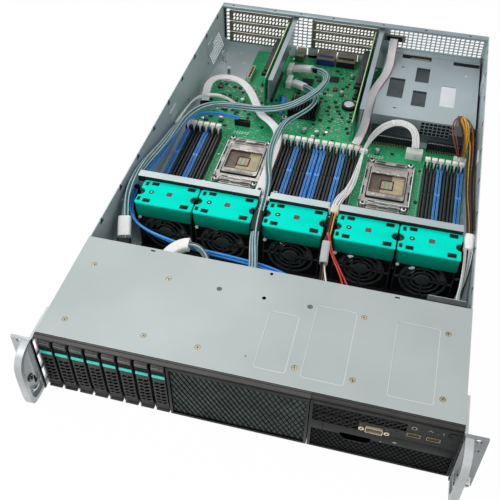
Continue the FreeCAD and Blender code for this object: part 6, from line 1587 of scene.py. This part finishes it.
def addSideVent(bm, x, sheet):  # slanted field of holes in the left wall
    low, high, near, far, lean = pick(sideVent, "low high near far lean")
    middle = (low + high) / 2
    count = len(bm.verts)
    addGrille(bm, "yz", (near, low), (far, high), sideVent["cells"], sideVent["web"], x, sheet, 0)
    bm.verts.ensure_lookup_table()
    for vert in bm.verts[count:]:
        vert.co.y += lean * (vert.co.z - middle * mm)
    tilt = lean * (high - low) / 2
    addPrism(bm, "yz", [(case["front"], low), (near - tilt, low), (near + tilt, high), (case["front"], high)], x,
             sheet, 0)
    addPrism(bm, "yz", [(far - tilt, low), (case["rear"], low), (case["rear"], high), (far + tilt, high)], x, sheet,
             0)
    addBox(bm, (x, case["front"], 0), (x + sheet, case["rear"], low), 0)
    addBox(bm, (x, case["front"], high), (x + sheet, case["rear"], case["top"]), 0)


def makeTrayBody():
    bm = bmesh.new()
    half, sheet, top, rear = pick(case, "half sheet top rear")
    # the floor is a lighter copy of the wall steel: painted light
    addBox(bm, (-half + sheet, 0, 0), (half - sheet, rear, sheet), 6)
    addSideVent(bm, -half, sheet)
    addBox(bm, (half - sheet, 0, 0), (half, rear, top), 0)
    for side in (-1, 1):  # hook slots and rivets along the walls; the slots are black as painted shade
        inner = side * (half - sheet)
        for y in case["hooks"]:
            a, b = inner - side * 0.08, inner + side * 0.4
            addBox(bm, (a, y, top - 7.5), (b, y + 9, top - 4), 1)
            addBox(bm, (a, y + 2, top - 4), (b, y + 5, top + 0.02), 1)
            a, b = sorted((side * half - side * 0.4, side * half + side * 0.02))
            addRod(bm, (a, y + 30, top - 9), 2.0, b - a, "x", 2, 14)
        for y in case["ribs"]:
            rib = inner - side * 1.4
            addPrism(bm, "xz", [(inner, 40), (rib, 41.5), (rib, 62.5), (inner, 64)], y, 26, 0, 0.3)
        for y in case["rivets"]:
            addRod(bm, (inner if side < 0 else inner - 0.5, y, 30), 2.2, 0.5, "x", 3, 14)
    for x, y in case["posts"]:  # tall bright standoffs in the empty corner
        addLathe(bm, (x, y, sheet), [(0, 26), (1.6, 26), (1.6, 24), (2.8, 24), (2.8, 2), (4.2, 1.4), (4.2, 0)], "z",
                 4, 16)
    for x, y in case["marks"]:
        addPrism(bm, "xy", circle(x, y, 3.2, 18), sheet, 0.06, 5)
    for x in case["pads"]:
        addPrism(bm, "xy", roundedBox(x, 150, x + 60, 212, 6), sheet, 0.5, 0, 0.2)
    for x in case["blocks"]:
        addBox(bm, (x, 266, sheet), (x + 26, 284, sheet + 1.2), 0, 0.4)
    for x, y in case["standoffs"]:
        addRod(bm, (x, y, sheet), 3, 6.4 - sheet, "z", 4, 6)
        addLathe(bm, (x, y, 8), [(0, 1.6), (1.4, 1.9), (2.8, 1.5), (3.4, 0.5), (3.4, 0)], "z", 4, 16)
    finishPiece("baseTray", bm, fixed, "caseSteel recessBlack boltDark earDark boltChrome silkWhite floorSteel",
                ("chassis_tray",))


makeTrayBody()

# rear panel and slot covers
rear = {"inner": 710.8, "outer": 712, "flange": 12, "top": 86.1, "holes": (-200, -128, -84, -30, 52, 120, 190),
        "plates": ((-217.8, 77, 217.8, 84.9), (-217.8, 1.2, -206, 16), (-217.8, 16, -214.5, 77),
                   (-206, 1.2, -102, 14), (-102, 21.4, -97, 77), (-65, 21.4, -62, 77), (-62, 21.2, 42, 22.5),
                   (-102, 1.2, -90, 21.4), (-70, 1.2, -53, 21.4), (16, 1.2, 63, 21.2), (-90, 1.2, 16, 8),
                   (-206, 75, -102, 77), (-62, 75, 42, 77), (42, 21.2, 63.5, 77), (63.5, 43.6, 217.8, 46),
                   (214, 1.2, 217.8, 77)),
        "vents": (((-214.5, 16), (-206, 77), (1, 9), 2.0, 0.3), ((-97, 22), (-65, 77), (4, 9), 1.5, 0.35),
                  ((63.5, 46), (214, 77), (20, 6), 1.5, 0.45))}
slotRows = {"left": {"x": (-206, -102), "low": 14, "high": 75}, "middle": {"x": (-62, 42), "low": 22.5, "high": 75}}


def makeRearPanel():
    bm = bmesh.new()
    inner, outer, top = rear["inner"], rear["outer"], rear["top"]
    deep = outer - inner
    wide = case["half"] - case["sheet"]
    flange = outer - rear["flange"]
    addPlates(bm, inner, outer, 0, rear["plates"])
    for low, high, cells, web, slant in rear["vents"]:
        addGrille(bm, "xz", low, high, cells, web, inner, deep, 0, slant)
    addBox(bm, (-wide, flange, top - 1.2), (wide, outer, top), 4, 0.3)
    addBox(bm, (-wide, inner - 0.6, 20), (-215, inner - 0.05, 76), 1)
    addBox(bm, (-wide, flange + 2, top - 3.2), (wide, flange + 3, top - 1.2), 0)
    # holes drawn as black discs: painted shade
    for x in rear["holes"]:
        addPrism(bm, "xy", circle(x, outer - 6, 1.8, 14), top, 0.04, 1)
    addBox(bm, (56, 708.2, 57.6), (90, 710.8, 69), 2, 0.5)  # socket where the ribbon ends
    addBox(bm, (60, 707.2, 59.4), (85, 708.4, 66.8), 3, 0.4)
    finishPiece("rearPanel", bm, fixed, "caseSteel recessBlack coverKhaki plugBlack bracketSteel",
                ("rear_panel",))

    bm = bmesh.new()
    for row in slotRows.values():
        a, b = row["x"]
        pitch = (row["high"] - row["low"]) / 3
        for i in range(3):
            z = row["low"] + i * pitch
            roof, low, high = z + pitch, z + 2.4, z + pitch - 4.4
            addPlates(bm, inner - 1.2, inner, 0, ((a - 2.2, z + 0.6, b + 2.2, low), (a - 2.2, low, a + 3, high),
                                                  (b - 4, low, b + 2.2, high), (a - 2.2, high, b + 2.2, roof - 0.6)))
            addGrille(bm, "xz", (a + 3, low), (b - 4, high), (17, 2), 1.3, inner - 1.2, 1.2, 0, 0.6)
            addBox(bm, (a + 1, inner - 2.4, roof - 3.4), (b - 3, inner - 1.2, roof - 1.8), 0, 0.3)
            addBox(bm, (a - 2.0, inner - 3.6, z + 2), (a - 0.8, inner - 1.2, roof - 2), 0)
    finishPiece("slotCovers", bm, fixed, "coverKhaki", ("slot_covers",))


makeRearPanel()
print("case made")

# power cage and its two supplies
cage = {"top": 44, "vent": (136, 179, 19, 42), "skirt": 522,
        "ovals": ((94.2, 657.4, 2.3, 1.2), (93.8, 544, 2.3, 1.2)),
        "windows": ((78, 571, 24, 53), (116.5, 621, 21, 41), (116.5, 556, 21, 41))}
supply = {"face": 698, "fan": (20.5, 21.6, 16.2), "rings": (15.4, 11.4, 7.4), "handle": (5, 29), "foot": 9.6,
          "bar": 4}
dress("psu_cage", "cageSteel")


def makeCageTrim():
    bm = bmesh.new()
    top = cage["top"]
    addBox(bm, (158.5, 565, top - 0.02), (180.4, 618, top + 0.12), 0)
    addBox(bm, (158.5, 618.6, top - 0.02), (180.4, 619.4, top + 0.08), 2)
    for x, y, wide, deep in cage["ovals"]:
        addPrism(bm, "xy", roundedBox(x - wide, y - deep, x + wide, y + deep, deep * 0.9), top - 0.02, 0.06, 1)
    addPrism(bm, "xy", roundedBox(90, 684.5, 137, 695.5, 1), top - 0.02, 0.06, 1)  # shadowed slots by the rear wall
    addPrism(bm, "xy", roundedBox(172, 682.5, 213.4, 692.5, 1), top - 0.02, 0.06, 1)
    addBox(bm, (104, 683.6, top), (134, 687.4, top + 0.8), 3, 0.3)
    addBox(bm, (64, 696.5, top), (213.6, 710.6, top + 0.7), 4, 0.3)
    low, high, floor, roof = cage["vent"]
    # a black sheet behind the vent grille: painted shade
    addBox(bm, (low, cage["skirt"] - 0.15, floor), (high, cage["skirt"] - 0.05, roof), 1)
    addGrille(bm, "xz", (low, floor), (high, roof), (7, 4), 1.0, cage["skirt"] - 0.45, 0.3, 4)
    addLathe(bm, (194.3, 657.3, top), [(0, 0.5), (1.3, 0.7), (2.2, 0.4), (2.6, 0)], "z", 5, 16)
    for x in (70, 206):
        for y in (532, 604, 676):
            addLathe(bm, (x, y, top), [(0, 0.3), (1.2, 0.4), (1.7, 0)], "z", 4, 12)
    for x, y, wide, deep in cage["windows"]:  # turned rims, and under each a dark plate of painted shade
        addRim(bm, "xy", roundedBox(x - 0.9, y - 0.9, x + wide + 0.9, y + deep + 0.9, 1.2, 3),
               roundedBox(x, y, x + wide, y + deep, 0.8, 3), top - 0.02, 0.25, 4)
        addPrism(bm, "xy", roundedBox(x - 1, y - 1, x + wide + 1, y + deep + 1, 0.5, 2), top - 2.6, 0.3, 6)
    finishPiece("cageTrim", bm, fixed, "labelWhite recessBlack boltDark coverKhaki cageSteel boltChrome windowDark")


makeCageTrim()


def makeSupply(number):
    body = "power_supply_%d" % number
    low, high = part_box(body)
    x0, x1 = low.x / mm, high.x / mm
    face, foot, bar = pick(supply, "face foot bar")
    inset, fanZ, radius = supply["fan"]
    fanX, edge = x1 - inset, x1 - 39.5
    bm = bmesh.new()
    addBox(bm, (x0 + 0.2, 526.2, 1.8), (x1 - 0.2, face - 1.2, 41.4), 0, 0.5)
    addRim(bm, "xz", roundedBox(edge, 2, x1 - 0.4, 41.2, 0.02, 7), circle(fanX, fanZ, radius, 32, 0.6),
           face - 1.2, 1.2, 1)
    addPlates(bm, face - 1.2, face, 1, ((x0 + 0.4, 2, edge, 21), (x0 + 0.4, 38.2, edge, 41.2),
                                        (x0 + 0.4, 21, x0 + 4.8, 38.2), (x0 + 29.8, 21, edge, 38.2)))
    addRim(bm, "xz", roundedBox(x0 + 4.8, 21, x0 + 29.8, 38.2, 1.5), roundedBox(x0 + 6.4, 22.6, x0 + 28.2, 36.6, 2.5),
           face - 8, 8.4, 2)
    addBox(bm, (x0 + 6, face - 8.6, 22), (x0 + 28.6, face - 8, 37), 2)
    for i, lift in enumerate((0, 2.4, 0)):  # three blades of the inlet
        addBox(bm, (x0 + 11 + i * 5.6, face - 8, 28.2 + lift), (x0 + 12.6 + i * 5.6, face - 2, 31.4 + lift), 3)
    for ring in supply["rings"]:
        addRim(bm, "xz", circle(fanX, fanZ, ring, 30), circle(fanX, fanZ, ring - 0.9, 30), face - 0.2, 0.9, 3)
    for turn in (0.78, math.pi / 2 + 0.78):
        addSpoke(bm, fanX, fanZ, turn, -16, 16, 0.5, face - 0.3, 0.8, 3)
    addRod(bm, (fanX, face - 1.6, fanZ), 5.4, 1.6, "y", 2, 24)
    handle = high.y / mm - coverFront / mm
    left, right = (x0 + reach for reach in supply["handle"])
    for x in (left, right - bar):
        addBox(bm, (x, face - 0.2, foot), (x + bar, handle, foot + bar), 2, 0.9)
    addBox(bm, (left, handle - bar, foot), (right, handle, foot + bar), 2, 0.9)
    addBox(bm, (x0 + 1.2, face, 14), (x0 + 3.8, face + 6, 22), 4, 0.5)  # release tab
    addPrism(bm, "xz", circle(x0 + 32, 38.6, 0.9, 12), face, 0.3, 4)
    finishPiece("powerSupply%d" % number, bm, body, "supplySteel cageSteel plugBlack boltChrome tealPlastic",
                (body,))


for number in (1, 2):
    makeSupply(number)
print("power supplies made")

# drive cage and backplane
dress("drive_cage", "caseSteel")
dress("drive_backplane", "boardGreen")


# rack ears: flange, wrapped side with windows, bowed handle, lock screw and spring latch
ear = {"half": 219, "out": 241.3, "face": -12, "back": -9, "plate": 3, "wrapEnd": 34, "wrapTop": 86.1,
       "holeX": 232.55,
       "bands": ((0, 11.2, 5.6, 3.4, 0), (16, 26.8, 21.4, 3.0, 0), (60.6, 71.4, 66, 2.4, 3.8),
                 (76.4, 87.2, 81.8, 3.4, 0)), "plain": ((11.2, 16), (26.8, 60.6), (71.4, 76.4)),
       "windowsAlong": (-8.7, -1.6), "windowsUp": (12, 31, 36.5, 55.5, 61, 80), "handleIn": 219.8, "handleWide": 8,
       "web": 2.2}
bowOuter = [(-9.1, 86.2), (-9.1, 86.2), (-18, 85.8), (-29, 82.4), (-36.5, 74.5), (-39.8, 62), (-39.9, 36),
            (-39.8, 14), (-35.5, 3.2), (-24, 1.2), (-9.1, 1.2), (-9.1, 1.2)]
bowInner = [(-13, 80.4), (-13, 80.4), (-20, 80), (-27.6, 77), (-32, 70.5), (-34.6, 60), (-34.8, 36), (-34.6, 17.5),
            (-31, 8.4), (-22, 6.6), (-13, 6.4), (-13, 6.4)]
lockScrew = {"y": -23, "z": 34, "radius": 4.6, "tall": 3.4, "lobes": 6}
springLatch = {"y": -20.5, "z": 22.5, "radius": 9.4, "wide": 2.4, "tall": 4.2, "from": 195, "to": 340, "steps": 14}
thumb = {"x": 232.55, "z": 21.4, "tip": -25, "head": 11, "radius": 4.4, "neck": 2.6, "end": -3, "ridges": 26}


def roundCorners(points, rounds=2):  # each corner is cut twice into two
    for _ in range(rounds):
        cutPoints = []
        for i, point in enumerate(points):
            ahead = points[(i + 1) % len(points)]
            cutPoints.append(tuple(0.75 * a + 0.25 * b for a, b in zip(point, ahead)))
            cutPoints.append(tuple(0.25 * a + 0.75 * b for a, b in zip(point, ahead)))
        points = cutPoints
    return points


def makeEar(side, name, node):
    bm = bmesh.new()

    def flat(low, high, paint, soft=0.0):
        addBox(bm, (side * low[0], low[1], low[2]), (side * high[0], high[1], high[2]), paint, soft)

    face, back, half, out, plate = pick(ear, "face back half out plate")
    # the right ear's flange is drawn in a darker copy of its metal: painted shade
    front = 5 if side > 0 else 0
    for low, high, middle, radius, reach in ear["bands"]:
        edges = sorted((side * half, side * out))
        middleX = side * ear["holeX"]
        hole = roundedBox(middleX - reach, middle - radius, middleX + reach, middle + radius, radius,
                          5) if reach else circle(middleX, middle, radius, 24, 0.5)
        addRim(bm, "xz", roundedBox(edges[0], low, edges[1], high, 0.02, 5), hole, face, plate, front)
    for low, high in ear["plain"]:
        flat((half, face, low), (out, back, high), front)
    flat((half + plate, back, 0), (out - 0.4, back + 0.25, 1.2), 0)
    along = [face, *ear["windowsAlong"], ear["wrapEnd"]]
    upward = [0, *ear["windowsUp"], ear["wrapTop"]]
    start = half if side > 0 else -half - plate
    addPerforated(bm, "yz", along, upward, {(1, 1), (1, 3), (1, 5)}, start, plate)
    for y in (8, 24):
        for z in (20, 66):
            addRod(bm, (side * (half + plate) - (0.0 if side > 0 else 0.3), y, z), 2.6, 0.3, "x", 1, 18)
    wide, web = ear["handleWide"], ear["web"]
    start = ear["handleIn"] if side > 0 else -ear["handleIn"] - wide
    floor = start + wide - web if side > 0 else start
    outer, inner = roundCorners(bowOuter), roundCorners(bowInner)
    addRim(bm, "yz", outer, inner, start, wide, 0)
    # the pocket floor is a lighter copy of the ear metal: painted light
    addPrism(bm, "yz", inner, floor, web, 1)
    top = floor if side > 0 else floor + web

    def raised(outline, tall, paint):
        addPrism(bm, "yz", outline, top - (tall if side > 0 else 0.0), tall, paint)

    y, z, radius = pick(lockScrew, "y z radius")
    raised(circle(y, z, radius, 24), lockScrew["tall"] * 0.45, 2)
    for lobe in range(lockScrew["lobes"]):
        turn = 2 * math.pi * lobe / lockScrew["lobes"]
        raised(circle(y + 2.7 * math.cos(turn), z + 2.7 * math.sin(turn), 1.1, 10), lockScrew["tall"] * 0.75, 3)
    raised(circle(y, z, 1.5, 12), lockScrew["tall"], 2)
    raised(roundedBox(y - 0.35, z - 3.0, y + 0.35, z + 3.0, 0.1), lockScrew["tall"] * 0.9, 4)
    y, z, radius, wideBand = pick(springLatch, "y z radius wide")
    turns = [math.radians(springLatch["from"] + (springLatch["to"] - springLatch["from"]) * i / springLatch["steps"])
             for i in range(springLatch["steps"] + 1)]
    band = [(y + radius * math.cos(t), z + radius * math.sin(t)) for t in turns]
    band += [(y + (radius - wideBand) * math.cos(t), z + (radius - wideBand) * math.sin(t)) for t in reversed(turns)]
    raised(band, springLatch["tall"], 3)
    raised(roundedBox(-17.2, 12, -14.4, 27, 1.2), 0.8, 4)
    raised(roundedBox(-31.5, 44, -15.5, 45.2, 0.5), 0.5, 1)
    finishPiece(name, bm, fixed, "earAluminium earFloor boltDark boltChrome recessBlack earShade",
                (node,), edge=0.35)


def makeThumb(side, name, node):
    bm = bmesh.new()
    x, z, tip, head, radius, neck, end = pick(thumb, "x z tip head radius neck end")
    x *= side
    ridged = []
    for i in range(2 * thumb["ridges"]):
        turn = math.pi * i / thumb["ridges"]
        reach = radius - (0.28 if i % 2 else 0.0)
        ridged.append((x + reach * math.cos(turn), z + reach * math.sin(turn)))
    addPrism(bm, "xz", ridged, tip + 1.6, head - 4.2, 0)
    addLathe(bm, (x, tip, z), [(0, 0.3), (2.9, 0.3), (3.4, 0), (4.0, 0.5), (4.1, 1.6), (0, 1.6)], "y", 0, 28)
    addLathe(bm, (x, tip + head - 2.6, z), [(0, 0), (4.1, 0), (3.9, 0.8), (3.0, 1.4), (neck, 2.6),
                                            (neck, end - tip - head + 1.6), (neck - 1, end - tip - head + 2.6),
                                            (0, end - tip - head + 2.6)], "y", 0, 24)
    addBox(bm, (x - 3.2, tip + 0.02, z - 0.55), (x + 3.2, tip + 0.5, z + 0.55), 1)
    finishPiece(name, bm, node, "knobSteel recessBlack", (node,), edge=0.08, steps=1)


for side, word in ((-1, "Left"), (1, "Right")):
    makeEar(side, "rackEar" + word, "ear_" + word.lower())
    makeThumb(side, "thumbScrew" + word, "thumbscrew_" + word.lower())

# fine lines pressed into the front cover, and its folded edge, in a lighter colour as painted highlight
coverMarks = {"top": 87.27, "deep": 0.3, "wide": 0.65,
              "fields": ((10, 13, 42.5, 87), (57.5, 13, 101, 106.5), (143, 13, 188, 106.5)), "corner": 3.2,
              "holes": ((0, 137.4, 1.9), (-0.2, 23.8, 0.8), (0, 101.8, 2.2)), "slits": (-139.2, 139.2), "slitY": 138,
              "slitHalf": (2.6, 1.0)}


def makeCoverMarks():
    bm = bmesh.new()
    top, deep, wide, corner = pick(coverMarks, "top deep wide corner")
    for left, near, right, far in coverMarks["fields"]:
        addRim(bm, "xy", roundedBox(left, near, right, far, corner),
               roundedBox(left + wide, near + wide, right - wide, far - wide, corner - wide), top - deep, deep, 0)
    # a light strip along the front fold: painted highlight
    addBox(bm, (-218.6, -0.35, top - 0.5), (218.6, 0.5, top), 0, 0.2)
    # each hole: a light rim as painted highlight, filled black as painted shade
    for x, y, radius in coverMarks["holes"]:
        addRim(bm, "xy", circle(x, y, radius + 0.7, 20), circle(x, y, radius, 20), top - deep, deep + 0.02, 0)
        addPrism(bm, "xy", circle(x, y, radius, 20), top - deep, deep + 0.03, 1)
    reach, half = coverMarks["slitHalf"]
    for x in coverMarks["slits"]:
        y = coverMarks["slitY"]
        addPrism(bm, "xy", roundedBox(x - reach, y - half, x + reach, y + half, 0.4, 2), top - deep, deep + 0.03, 1)
    finishPiece("coverPressLines", bm, fixed, "coverLight recessBlack")


makeCoverMarks()
print("ears made")
